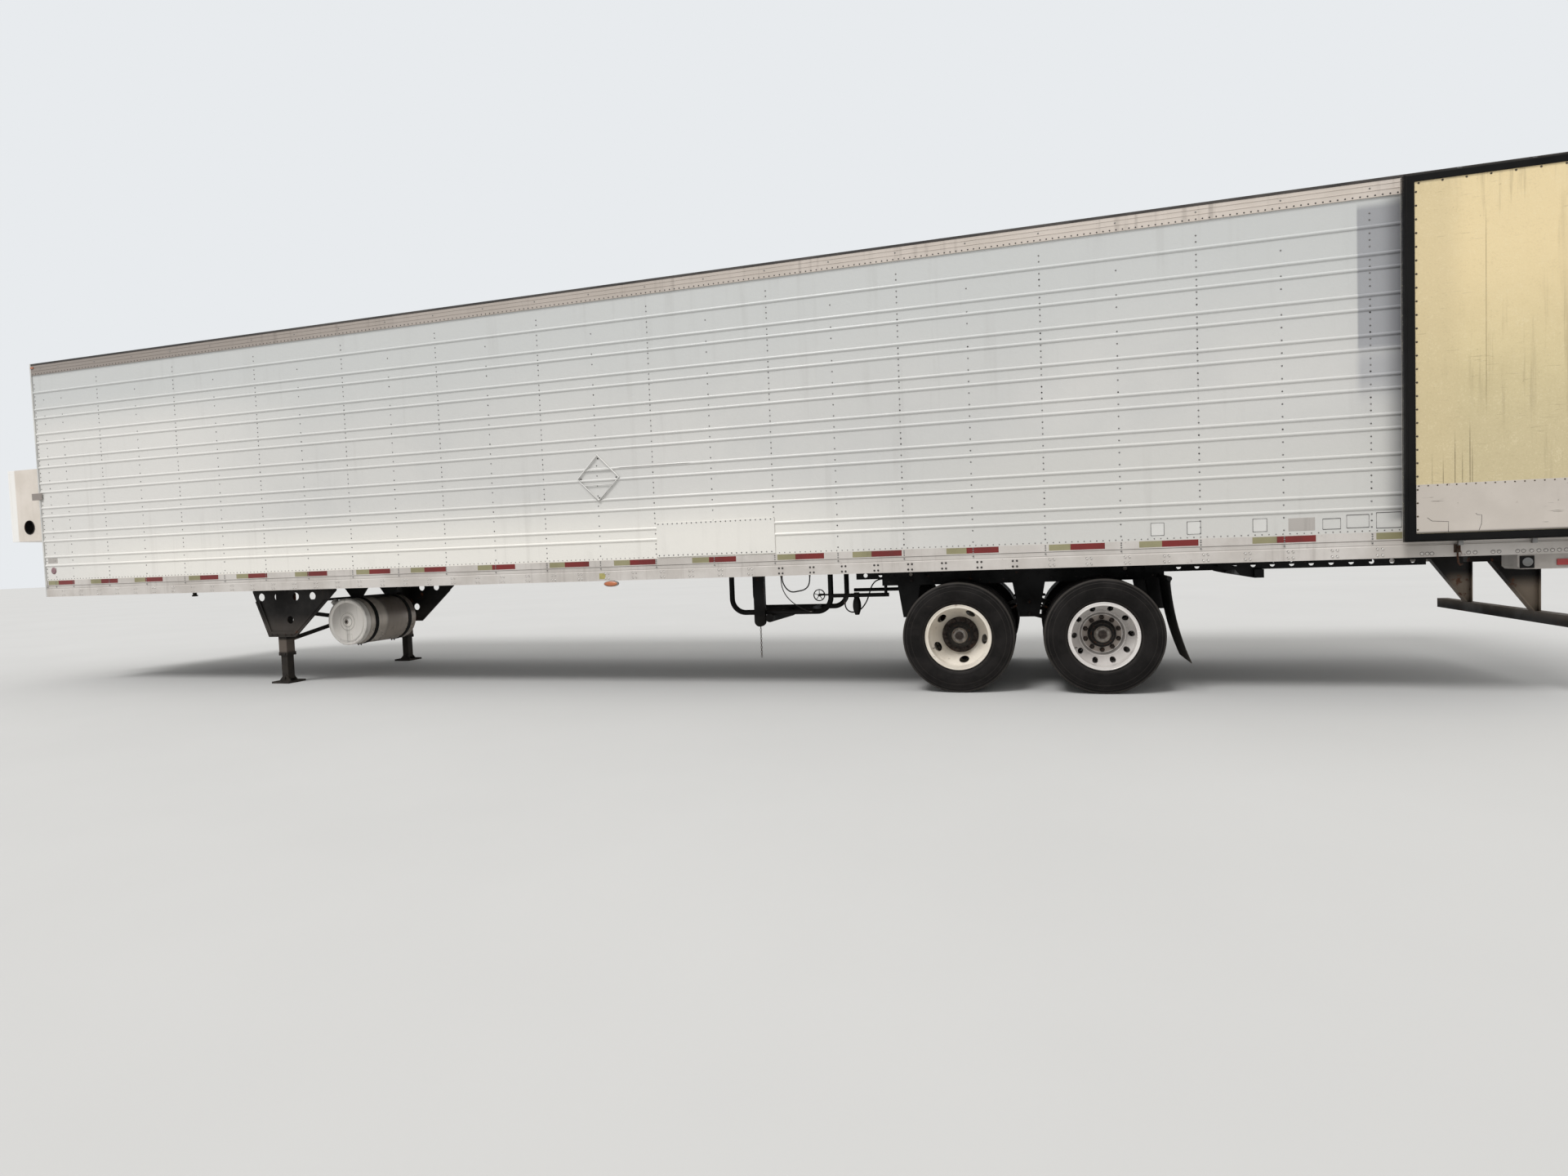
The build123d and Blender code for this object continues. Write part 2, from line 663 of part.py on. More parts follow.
def make_nose():
    """Nose frame with rounded corners, nose wall, return-air bulkhead and coupling points."""
    plan = outline([(x_at(0), HALF_WIDTH), (x_at(0), LINER), (x_at(NOSE_POST), LINER),
                    (x_at(NOSE_POST), HALF_WIDTH)])
    corner = plan.vertices().sort_by(Axis.X)[-2:].sort_by(Axis.Y)[-1]
    post = extrude(Pos(0, 0, RAIL_BOTTOM) * fillet(corner, CORNER_RADIUS), amount=BODY_HEIGHT)
    header_bottom = BODY_TOP - TOP_RAIL_HEIGHT
    header = block(0, NOSE_WALL, -LINER, LINER, header_bottom, BODY_TOP)
    sill = block(0, NOSE_WALL, -LINER, LINER, RAIL_BOTTOM, FLOOR_UNDERSIDE)
    keep("nose_frame", post + mirrored(post) + header + sill + nose_bracket())
    keep("nose_wall", block(0, NOSE_WALL, -LINER, LINER, FLOOR_UNDERSIDE, header_bottom))

    front = NOSE_WALL + BULKHEAD_GAP
    back = front + BULKHEAD
    top = FLOOR_TOP + BULKHEAD_HEIGHT
    panel = block(front, back, -BULKHEAD_HALF_WIDTH, BULKHEAD_HALF_WIDTH, FLOOR_TOP, top)
    pitch = 2.0 * BULKHEAD_HALF_WIDTH / (RETURN_SLOTS + 1)
    for slot in range(RETURN_SLOTS):
        low = -BULKHEAD_HALF_WIDTH + pitch * (slot + 1) - RETURN_SLOT_WIDTH / 2.0
        panel -= block(front - 1, back + 1, low, low + RETURN_SLOT_WIDTH,
                       FLOOR_TOP + RETURN_SLOT_LOW, FLOOR_TOP + RETURN_SLOT_HIGH)
    for place in (-1.0, 0.0, 1.0):
        middle = place * (BULKHEAD_HALF_WIDTH - BATTEN_INSET)
        panel += block(NOSE_WALL, front, middle - BATTEN_WIDTH / 2.0, middle + BATTEN_WIDTH / 2.0,
                       FLOOR_TOP + RETURN_SLOT_HIGH, top)
    keep("bulkhead", panel)

    height = RAIL_BOTTOM + COUPLING_RISE
    pieces = [rod((0, 0, height), (-SOCKET_REACH, 0, height), SOCKET_RADIUS)]
    for y in (-COUPLING_SPACING / 2.0, COUPLING_SPACING / 2.0):
        body = rod((0, y, height), (-COUPLING_REACH, y, height), COUPLING_RADIUS)
        lug = block(-COUPLING_REACH, -COUPLING_REACH / 2.0, y, y + 2.0 * COUPLING_RADIUS,
                    height - COUPLING_RADIUS / 2.0, height + COUPLING_RADIUS / 2.0)
        pieces.append(body + lug)
    keep("nose_couplings", *pieces)


def nose_bracket():
    """Small bent bracket that wraps the left nose corner beside the cooling unit."""
    low = RAIL_BOTTOM + BRACKET_RISE
    high = low + BRACKET_HEIGHT
    outside = HALF_WIDTH + BRACKET_THICKNESS
    plate = block(-BRACKET_AHEAD, BRACKET_BEHIND, HALF_WIDTH, outside, low, high)
    lug = block(-BRACKET_THICKNESS, CORNER_RADIUS, HALF_WIDTH - CORNER_RADIUS, outside, low, high)
    return plate + lug


def seam(y0, y1, z0, z1):
    """Groove of a door seam in the front face of the cooling unit's lower case."""
    return block(-UNIT_DEPTH - 1, -UNIT_DEPTH + SEAM_DEPTH, y0, y1, z0, z1)


def louvre_panel(front, z0, z1):
    """Framed panel of leaning louvres, set in the front face of a case."""
    back = front + GRILLE_DEPTH
    inner = GRILLE_HALF_WIDTH - GRILLE_FRAME
    low, high = z0 + GRILLE_FRAME, z1 - GRILLE_FRAME
    panel = block(front, back, -GRILLE_HALF_WIDTH, GRILLE_HALF_WIDTH, z0, z1)
    panel -= block(front - 1, back - GRILLE_BACK, -inner, inner, low, high)
    count = int((high - low) // LOUVRE_PITCH)
    pitch = (high - low) / count
    tip, root = front + LOUVRE_THICKNESS, back - GRILLE_BACK
    for index in range(count):
        z = low + pitch * (index + 0.5)
        blade = side_outline([
            (tip, z - LOUVRE_LEAN / 2.0 - LOUVRE_THICKNESS), (root, z + LOUVRE_LEAN / 2.0),
            (root, z + LOUVRE_LEAN / 2.0 + LOUVRE_THICKNESS), (tip, z - LOUVRE_LEAN / 2.0)])
        panel += across_body(blade, -inner, inner)
    return panel


def make_unit():
    """Cooling unit hung on the nose: wide lower case, narrower upper case, louvres."""
    case = block(-UNIT_DEPTH, 0, -UNIT_HALF_WIDTH, UNIT_HALF_WIDTH, UNIT_LOW, UNIT_MIDDLE)
    case = fillet(case.edges().filter_by(Axis.Z).group_by(Axis.X)[-1], UNIT_CORNER)
    exhaust_z = UNIT_LOW + EXHAUST_RISE
    case -= pin(EXHAUST_STATION, UNIT_HALF_WIDTH - EXHAUST_DEPTH, UNIT_HALF_WIDTH + 1, exhaust_z,
                EXHAUST_RADIUS)
    low, high = UNIT_LOW + GRILLE_MARGIN, UNIT_MIDDLE - GRILLE_MARGIN
    pocket = (-GRILLE_HALF_WIDTH, GRILLE_HALF_WIDTH, low, high)
    case -= block(-UNIT_DEPTH - 1, -UNIT_DEPTH + GRILLE_DEPTH, *pocket)
    edge = (UNIT_LOW + GRILLE_MARGIN / 2.0, UNIT_MIDDLE - GRILLE_MARGIN / 2.0)
    for y in (-DOOR_SEAM_Y, DOOR_SEAM_Y):
        case -= seam(y - SEAM_WIDTH / 2.0, y + SEAM_WIDTH / 2.0, *edge)
    for z in edge:
        case -= seam(-DOOR_SEAM_Y, DOOR_SEAM_Y, z - SEAM_WIDTH / 2.0, z + SEAM_WIDTH / 2.0)
    keep("unit_lower", case)

    top = block(-UNIT_TOP_DEPTH, 0, -UNIT_TOP_HALF_WIDTH, UNIT_TOP_HALF_WIDTH, UNIT_MIDDLE, UNIT_TOP)
    top = fillet(top.edges().filter_by(Axis.Z).group_by(Axis.X)[-1], UNIT_TOP_CORNER)
    upper_low, upper_high = UNIT_MIDDLE + GRILLE_MARGIN, UNIT_TOP - GRILLE_TOP_MARGIN
    top -= block(-UNIT_TOP_DEPTH - 1, -UNIT_TOP_DEPTH + GRILLE_DEPTH, -GRILLE_HALF_WIDTH, GRILLE_HALF_WIDTH,
                 upper_low, upper_high)
    keep("unit_upper", top)
    keep("unit_grilles", louvre_panel(-UNIT_DEPTH, low, high),
         louvre_panel(-UNIT_TOP_DEPTH, upper_low, upper_high))


def make_coupler():
    """Upper coupler under the nose, with the kingpin in its plate."""
    back = NOSE_WALL + COUPLER_LENGTH
    top = COUPLER_LOW + COUPLER_PLATE
    coupler = block(NOSE_WALL, back, -COUPLER_HALF_WIDTH, COUPLER_HALF_WIDTH, COUPLER_LOW, top)
    reach = HALF_WIDTH - RAIL_LEG
    pitch = (COUPLER_LENGTH - CROSSMEMBER_FLANGE) / (COUPLER_BEAMS - 1)
    for index in range(COUPLER_BEAMS):
        front = NOSE_WALL + index * pitch
        coupler += block(front, front + CROSSMEMBER_FLANGE, -reach, reach, top, FLOOR_UNDERSIDE)
    keep("coupler_plate", coupler)

    shoulder = COUPLER_LOW - KINGPIN_SHOULDER_LENGTH
    neck = shoulder - KINGPIN_NECK_LENGTH
    foot = neck - KINGPIN_FLANGE_LENGTH
    profile = make_face(Polyline(
        (0, COUPLER_LOW), (KINGPIN_SHOULDER, COUPLER_LOW), (KINGPIN_SHOULDER, shoulder),
        (KINGPIN_NECK, shoulder), (KINGPIN_NECK, neck), (KINGPIN_FLANGE, neck), (KINGPIN_FLANGE, foot),
        (0, foot), close=True))
    kingpin = revolve(Plane.XZ * profile, axis=Axis.Z)
    keep("kingpin", Pos(x_at(KINGPIN_SETBACK), 0, 0) * kingpin)


def make_landing_legs():
    """Square telescoping legs with gearboxes, cross shaft, crank, sand shoes and stamped wing plates."""
    half = LEG_TUBE / 2.0
    s = LEG_STATION
    top = CROSSMEMBER_BOTTOM - WING_PLATE
    tube = block(s - half, s + half, LEG_Y - half, LEG_Y + half, LEG_TUBE_BOTTOM, top)
    wide = half + COLLAR_PROUD
    tube += block(s - wide, s + wide, LEG_Y - wide, LEG_Y + half,
                  LEG_TUBE_BOTTOM, LEG_TUBE_BOTTOM + COLLAR_HEIGHT)
    tube += block(s - half, s + half, LEG_Y - half - GEARBOX_DEPTH, LEG_Y - half,
                  GEARBOX_LOW, GEARBOX_LOW + GEARBOX_HEIGHT)
    keep("leg_tubes", *both(tube))
    keep("leg_feet", *both(leg_foot()))
    keep("leg_wings", *both(wing_plate()))

    inner = LEG_Y - half - GEARBOX_DEPTH
    shaft = pin(s, -inner, inner, SHAFT_HEIGHT, SHAFT_RADIUS)
    outer = LEG_Y + half
    crank = pin(s, -outer - CRANK_REACH, -outer, CRANK_HEIGHT, CRANK_RADIUS)
    crank += rod((s, -outer - CRANK_REACH, CRANK_HEIGHT + CRANK_RADIUS),
                 (s, -outer - CRANK_REACH, CRANK_HEIGHT - CRANK_DROP), CRANK_RADIUS)
    crank += pin(s, -outer - CRANK_REACH, -outer - CRANK_REACH / 3.0, CRANK_HEIGHT - CRANK_DROP,
                 CRANK_RADIUS)
    face = LEG_Y - half
    braces = []
    for offset, y in ((-CROSS_BRACE_GAP, face), (CROSS_BRACE_GAP, -face)):
        near = s + offset - CROSS_BRACE_THICKNESS / 2.0
        bar = make_face(Polyline(
            (y, CROSS_BRACE_LOW), (y, CROSS_BRACE_LOW + CROSS_BRACE_WIDTH),
            (-y, CROSS_BRACE_HIGH + CROSS_BRACE_WIDTH), (-y, CROSS_BRACE_HIGH), close=True))
        braces.append(along_body(bar, near, near + CROSS_BRACE_THICKNESS))
    keep("leg_braces", shaft, crank, *braces)


def leg_foot():
    """Inner leg of the left side, with its sand shoe on a cross pin."""
    s = LEG_STATION
    inner = LEG_INNER / 2.0
    shoe = SHOE_SIZE / 2.0
    leg = block(s - inner, s + inner, LEG_Y - inner, LEG_Y + inner,
                SHOE_PIN_HEIGHT - SHOE_PIN_RADIUS, LEG_TUBE_BOTTOM)
    pan = block(s - shoe, s + shoe, LEG_Y - shoe, LEG_Y + shoe, 0, SHOE_LIP)
    pan -= block(s - shoe + SHOE_PLATE, s + shoe - SHOE_PLATE, LEG_Y - shoe + SHOE_PLATE,
                 LEG_Y + shoe - SHOE_PLATE, SHOE_PLATE, SHOE_LIP + 1)
    lug = side_outline([(s - 2.0 * SHOE_LUG_HALF, SHOE_PLATE), (s + 2.0 * SHOE_LUG_HALF, SHOE_PLATE),
                        (s + SHOE_PIN_RADIUS, SHOE_PIN_HEIGHT + 2.0 * SHOE_PIN_RADIUS),
                        (s - SHOE_PIN_RADIUS, SHOE_PIN_HEIGHT + 2.0 * SHOE_PIN_RADIUS)])
    foot = leg + pan
    for y in (LEG_Y - inner - SHOE_LUG, LEG_Y + inner):
        foot += across_body(lug, y, y + SHOE_LUG)
    reach = inner + 2.0 * SHOE_LUG
    return foot + pin(s, LEG_Y - reach, LEG_Y + reach, SHOE_PIN_HEIGHT, SHOE_PIN_RADIUS)


def wing_plate():
    """Stamped plate outside the left leg: drilled top band, raised rim down both slants and the foot."""
    s = LEG_STATION
    inner = LEG_Y + LEG_TUBE / 2.0
    outer = inner + WING_PLATE
    band = CROSSMEMBER_BOTTOM - WING_BAND
    corners = [(s - WING_FRONT, CROSSMEMBER_BOTTOM), (s + WING_BACK, CROSSMEMBER_BOTTOM),
               (s + WING_BACK, band),
               (s + WING_FOOT_BACK, WING_FOOT), (s - WING_FOOT_FRONT, WING_FOOT), (s - WING_FRONT, band)]
    face = side_outline(corners)
    wing = across_body(face, inner, outer)
    rim = face - offset(face, amount=-WING_RIM, kind=Kind.INTERSECTION)
    rim = across_body(rim, outer, outer + WING_RIM_PROUD)
    rim -= block(s - WING_FRONT - 1, s + WING_BACK + 1, outer - 1, outer + WING_RIM_PROUD + 1,
                 WING_RIM_TOP, CROSSMEMBER_BOTTOM + 1)
    flange = block(s - WING_FRONT, s + WING_BACK, inner - WING_FLANGE, inner,
                   CROSSMEMBER_BOTTOM - WING_PLATE, CROSSMEMBER_BOTTOM)
    wing += rim
    wing += flange
    # place along the plate from the leg, height
    holes = [(-266, WING_HOLE_HEIGHT), (-27, WING_HOLE_HEIGHT), (246, WING_HOLE_HEIGHT),
             (490, WING_HOLE_HEIGHT), (WING_LOW_HOLE_AT, WING_LOW_HOLE_HEIGHT)]
    for place, height in holes:
        wing -= pin(s + place, inner - 1, outer + 1, height, WING_HOLE_RADIUS)
    return wing


def make_fuel_tank():
    """Crosswise fuel tank with dished ends and a filler, hung on two straps."""
    outer = HALF_WIDTH - TANK_END_INSET
    inner = outer - TANK_LENGTH
    shoulder = TANK_RADIUS - TANK_DISH
    tank = turned([
        (0, outer - TANK_RIM), (TANK_BOSS, outer - TANK_RIM), (shoulder - TANK_DISH, outer - TANK_RIM),
        (shoulder, outer), (TANK_RADIUS - TANK_RIM, outer), (TANK_RADIUS, outer - TANK_RIM),
        (TANK_RADIUS, inner + TANK_RIM), (TANK_RADIUS - TANK_RIM, inner), (shoulder, inner),
        (shoulder - TANK_DISH, inner + TANK_RIM), (0, inner + TANK_RIM)], TANK_STATION, TANK_HEIGHT)
    face = outer - TANK_RIM
    tank += turned([(0, face), (TANK_BOSS, face), (TANK_BOSS / 2.0, face + TANK_BOSS_PROUD),
                    (0, face + TANK_BOSS_PROUD)], TANK_STATION, TANK_HEIGHT)
    neck_y = outer - 2.0 * FILLER_RADIUS
    lean = sqrt(0.5)
    neck = (TANK_STATION - lean * TANK_RADIUS * 0.9, neck_y, TANK_HEIGHT + lean * TANK_RADIUS * 0.9)
    cap = (TANK_STATION - lean * (TANK_RADIUS + FILLER_LENGTH), neck_y,
           TANK_HEIGHT + lean * (TANK_RADIUS + FILLER_LENGTH))
    tank += rod(neck, cap, FILLER_RADIUS)
    keep("fuel_tank", tank)

    straps = []
    ring = TANK_RADIUS + STRAP_THICKNESS
    for index in range(2):
        high = outer - FIRST_STRAP_INSET - index * STRAP_SPACING
        low = high - STRAP_WIDTH
        band = turned([(TANK_RADIUS, low), (ring, low), (ring, high), (TANK_RADIUS, high)],
                      TANK_STATION, TANK_HEIGHT)
        seat = TANK_HEIGHT + ring - STRAP_THICKNESS
        hanger = side_outline([
            (TANK_STATION - STRAP_HANGER_HALF, seat), (TANK_STATION + STRAP_HANGER_HALF, seat),
            (TANK_STATION + STRAP_HANGER_TOP, CROSSMEMBER_BOTTOM),
            (TANK_STATION - STRAP_HANGER_TOP, CROSSMEMBER_BOTTOM)])
        hanger = across_body(hanger, low, high)
        hanger -= turned([(0, low - 1), (ring, low - 1), (ring, high + 1), (0, high + 1)],
                         TANK_STATION, TANK_HEIGHT)
        straps.append(band + hanger)
    keep("tank_straps", *straps)


def make_spare_carrier():
    """Two hanging tube hoops with feet, cross tubes, and the winch post of the spare wheel carrier."""
    reach = HOOP_OFFSET + HOOP_RADIUS
    carrier = None
    for side in SIDES.values():
        y = side * HOOP_OFFSET
        path = FilletPolyline(
            (x_at(HOOP_FRONT), y, CROSSMEMBER_BOTTOM), (x_at(HOOP_FRONT), y, HOOP_BOTTOM),
            (x_at(HOOP_REAR), y, HOOP_BOTTOM), (x_at(HOOP_REAR), y, CROSSMEMBER_BOTTOM),
            radius=HOOP_BEND)
        hoop = sweep(Plane(origin=path @ 0, z_dir=path % 0) * Circle(HOOP_RADIUS), path=path)
        for station in (HOOP_FRONT, HOOP_REAR):
            hoop += block(station - HOOP_FOOT_LENGTH / 2.0, station + HOOP_FOOT_LENGTH / 2.0,
                          y - HOOP_FOOT_WIDTH / 2.0, y + HOOP_FOOT_WIDTH / 2.0,
                          CROSSMEMBER_BOTTOM - HOOP_FOOT, CROSSMEMBER_BOTTOM)
        carrier = hoop if carrier is None else carrier + hoop
    tie = HOOP_FRONT + HOOP_TIE_SHARE * (HOOP_REAR - HOOP_FRONT)
    carrier += pin(tie, -HOOP_OFFSET, HOOP_OFFSET, HOOP_BOTTOM, HOOP_TIE_RADIUS)
    roller_z = HOOP_BOTTOM - HOOP_RADIUS / 2.0 - ROLLER_RADIUS
    carrier += pin(POST_STATION + ROLLER_AT, -reach, reach + POST_THICKNESS, roller_z, ROLLER_RADIUS)
    half = POST_WIDTH_S / 2.0
    y0 = reach - HOOP_RADIUS / 2.0
    y1 = reach + POST_THICKNESS
    foot = POST_BOTTOM + half
    carrier += block(POST_STATION - half, POST_STATION + half, y0, y1, foot, CROSSMEMBER_BOTTOM)
    carrier += pin(POST_STATION, y0, y1, foot, half)
    carrier += hand_wheel()
    s, y, z = CONTROL_HOSE_ROUTE[-1]
    carrier += block(s, s + HOSE_CLIP, HOOP_OFFSET, y + CONTROL_HOSE, z - CONTROL_HOSE, z + CONTROL_HOSE)
    ends = (SUPPLY_HOSE_ROUTE[0], SUPPLY_HOSE_ROUTE[-1], CONTROL_HOSE_ROUTE[0])
    keep("spare_carrier", carrier, *[hose_clip(end, CROSSMEMBER_BOTTOM) for end in ends])


def hand_wheel():
    """Spoked hand wheel of the winch, on an arm that reaches forward from the rear hoop."""
    s = HOOP_REAR - HAND_WHEEL_AHEAD
    z = HAND_WHEEL_HEIGHT
    outer = HOOP_OFFSET + HOOP_RADIUS + HAND_WHEEL_REACH
    middle = outer - 2.0 * HAND_WHEEL_RIM
    low, high = HAND_WHEEL_RADIUS - HAND_WHEEL_RIM, HAND_WHEEL_RADIUS + HAND_WHEEL_RIM
    near, far = middle - HAND_WHEEL_RIM, middle + HAND_WHEEL_RIM
    wheel = turned([(low, near), (high, near), (high, far), (low, far)], s, z)
    for index in range(HAND_WHEEL_SPOKES):
        turn = radians(360.0 * index / HAND_WHEEL_SPOKES)
        tip = (s + HAND_WHEEL_RADIUS * sin(turn), middle, z + HAND_WHEEL_RADIUS * cos(turn))
        wheel += rod((s, middle, z), tip, HAND_WHEEL_SPOKE)
    wheel += pin(s, HOOP_OFFSET - HAND_WHEEL_HUB, outer, z, HAND_WHEEL_HUB)
    wheel += rod((HOOP_REAR, HOOP_OFFSET, z), (s, HOOP_OFFSET, z), HAND_WHEEL_ARM)
    return wheel


def on_bogie(route):
    """Points of a route with their stations from the front axle turned into stations of the body."""
    return [(AXLE_STATION + s, y, z) for s, y, z in route]


def hose_clip(end, top):
    """Clip that holds a hose's end under a member."""
    s, y, z = end
    return block(s - HOSE_CLIP, s + HOSE_CLIP, y - HOSE_CLIP, y + HOSE_CLIP, z, top)


def hose(name, route, diameter):
    """One plain hose: straight runs joined by the largest arcs that they allow."""
    corners = [Vector(x_at(s), y, z) for s, y, z in route]
    radii = []
    for before, here, after in zip(corners, corners[1:], corners[2:]):
        run = min((here - before).length, (after - here).length)
        turn = (here - before).get_angle(after - here)
        radii.append(HOSE_ARC_SHARE * run / tan(radians(turn / 2.0)))
    path = FilletPolyline(*corners, radius=radii)
    tube = sweep(Plane(origin=path @ 0, z_dir=path % 0) * Circle(diameter / 2.0), path=path)
    section = pi * diameter ** 2 / 4.0
    print(name, "least radius", round(min(radii)), "length", round(path.length),
          "volume over section times length", round(tube.volume / (section * path.length), 4))
    keep(name, tube)


def make_hoses():
    """Air hoses that hang under the body and on the bogie."""
    hose("supply_hose", SUPPLY_HOSE_ROUTE, SUPPLY_HOSE)
    hose("control_hose", CONTROL_HOSE_ROUTE, CONTROL_HOSE)
    hose("bogie_hose", on_bogie(BOGIE_HOSE_ROUTE), BOGIE_HOSE)
    hose("chamber_hose", on_bogie(CHAMBER_HOSE_ROUTE), CHAMBER_HOSE)


def make_relay_valve():
    """Pear-shaped relay valve that hangs from the left pull bar on a clamp."""
    s = BOGIE_FRONT - VALVE_AHEAD
    y = BEAM_INNER + BEAM_WIDTH - PULL_BAR_RADIUS
    clamp = rod((s - VALVE_CLAMP_HALF, y, PULL_BAR_HEIGHT), (s + VALVE_CLAMP_HALF, y, PULL_BAR_HEIGHT),
                PULL_BAR_RADIUS + VALVE_CLAMP)
    top = PULL_BAR_HEIGHT - PULL_BAR_RADIUS - VALVE_CLAMP / 2.0
    side = ThreePointArc((VALVE_NECK, 0), (VALVE_BELLY, -VALVE_BELLY_DROP), (VALVE_TIP, -VALVE_LENGTH))
    rest = Polyline((VALVE_TIP, -VALVE_LENGTH), (0, -VALVE_LENGTH), (0, 0), (VALVE_NECK, 0))
    pear = revolve(Plane.XZ * make_face([side, rest]), axis=Axis.Z)
    valve = clamp + Pos(x_at(s), y, top) * pear
    reach = VALVE_CLAMP_HALF + VALVE_BELLY
    valve -= rod((s - reach, y, PULL_BAR_HEIGHT), (s + reach, y, PULL_BAR_HEIGHT), PULL_BAR_RADIUS)
    keep("relay_valve", valve)


def make_runway():
    """Drilled runway rails that the bogie slides in, joined by the stop bar."""
    inner = RUNWAY_OUTER - RUNWAY_WEB
    under_flange = CROSSMEMBER_BOTTOM - RUNWAY_WEB
    flange = RUNWAY_OUTER - RUNWAY_FLANGE
    section = outline([
        (inner, RUNWAY_LOW), (RUNWAY_OUTER, RUNWAY_LOW), (RUNWAY_OUTER, CROSSMEMBER_BOTTOM),
        (flange, CROSSMEMBER_BOTTOM), (flange, under_flange), (inner, under_flange)])
    rail = along_body(section, RUNWAY_FRONT, RUNWAY_REAR)
    first = RUNWAY_FRONT + FIRST_PIN_HOLE_AT
    count = int((RUNWAY_REAR - first) // PIN_HOLE_PITCH) + 1
    height = RUNWAY_LOW + PIN_HOLE_RISE
    rail -= [pin(first + index * PIN_HOLE_PITCH, inner - 1, RUNWAY_OUTER + 1, height, PIN_HOLE_RADIUS)
             for index in range(count)]
    stop = RUNWAY_REAR - STOP_END_GAP
    stop_front = stop - STOP_SIZE / 2.0
    stop_low = RUNWAY_LOW - STOP_SIZE
    reach = RUNWAY_OUTER + STOP_OVERHANG
    bar = block(stop_front, stop_front + STOP_SIZE, -reach, reach, stop_low, RUNWAY_LOW)
    hook = side_outline([(stop_front, RUNWAY_LOW), (stop - STOP_HOOK_LENGTH, RUNWAY_LOW),
                         (stop - STOP_HOOK_TIP, RUNWAY_LOW - STOP_HOOK_DROP), (stop_front, stop_low)])
    hook = across_body(hook, RUNWAY_OUTER - STOP_HOOK_WIDTH, RUNWAY_OUTER)
    keep("slider_rails", rail + mirrored(rail) + bar + hook + mirrored(hook))


def make_rear():
    """Rear door frame with hinge knuckles and lock keepers, lamps and dock bumpers."""
    frame = block(FRAME_STATION, BODY_LENGTH, -HALF_WIDTH, HALF_WIDTH, RAIL_BOTTOM, BODY_TOP)
    opening = HALF_WIDTH - POST_WIDTH
    sill_top = RAIL_BOTTOM + SILL_HEIGHT
    header_bottom = BODY_TOP - HEADER_HEIGHT
    frame -= block(FRAME_STATION - 1, BODY_LENGTH + 1, -opening, opening, sill_top, header_bottom)
    for side in SIDES.values():
        for z in hinge_heights():
            frame += frame_knuckles(side, z)
        for distance in (INNER_ROD, OUTER_ROD):
            y = side * (PIN_Y - distance)
            frame += keeper(y, sill_top - KEEPER_HEIGHT, sill_top)
            frame += keeper(y, header_bottom, header_bottom + HEADER_HEIGHT)
    keep("rear_frame", frame)

    front = BODY_LENGTH - LAMP_BOX_LENGTH
    lamp_box = block(front, BODY_LENGTH, LAMP_BOX_INNER, HALF_WIDTH - LAMP_BOX_INSET,
                     RAIL_BOTTOM - LAMP_BOX_DEPTH, RAIL_BOTTOM)
    edge = lamp_box.edges().filter_by(Axis.Y).group_by(Axis.X)[-1].sort_by(Axis.Z)[0]
    keep("rear_lamp_boxes", *both(chamfer(edge, LAMP_BOX_CHAMFER)))
    keep("lamps_red", *red_lamps(front))
    y = HALF_WIDTH - RAIL_LEG - AMBER_WIDTH / 2.0
    amber = block(AMBER_STATION, AMBER_STATION + AMBER_LENGTH, y, y + AMBER_WIDTH,
                  RAIL_BOTTOM - AMBER_DEPTH, RAIL_BOTTOM)
    keep("lamps_amber", *both(amber))
    low = RAIL_BOTTOM + (SILL_HEIGHT - BUMPER_HEIGHT) / 2.0
    bumper = block(BODY_LENGTH, BODY_LENGTH + BUMPER_DEPTH, BUMPER_INNER, BUMPER_INNER + BUMPER_WIDTH,
                   low, low + BUMPER_HEIGHT)
    keep("dock_bumpers", *both(bumper))


def red_lamps(lamp_box_front):
    """Round lamps in the sill, side lamps on the lamp boxes and marker lamps in the header."""
    lamps = []
    height = RAIL_BOTTOM + SILL_HEIGHT / 2.0
    side_front = lamp_box_front + LAMP_BOX_LENGTH - 2.0 * SIDE_LAMP_LENGTH
    for side in SIDES.values():
        # the places of the three round lamps miss the keepers of the lock rods
        for y in REAR_LAMPS_AT:
            lamps.append(rod((BODY_LENGTH, side * y, height),
                             (BODY_LENGTH + REAR_LAMP_PROUD, side * y, height), REAR_LAMP_RADIUS))
        face = side * (HALF_WIDTH - LAMP_BOX_INSET)
        lamps.append(block(side_front, side_front + SIDE_LAMP_LENGTH, face, face + side * SIDE_LAMP_PROUD,
                           RAIL_BOTTOM - SIDE_LAMP_DROP, RAIL_BOTTOM - SIDE_LAMP_DROP + SIDE_LAMP_HEIGHT))
    header = BODY_TOP - HEADER_HEIGHT / 2.0
    for y in (-HEADER_LAMP_OUTER, -HEADER_LAMP_PITCH, 0.0, HEADER_LAMP_PITCH, HEADER_LAMP_OUTER):
        lamps.append(block(BODY_LENGTH, BODY_LENGTH + REAR_LAMP_PROUD, y - HEADER_LAMP_HALF,
                           y + HEADER_LAMP_HALF,
                           header - HEADER_LAMP_HEIGHT / 2.0, header + HEADER_LAMP_HEIGHT / 2.0))
    return lamps


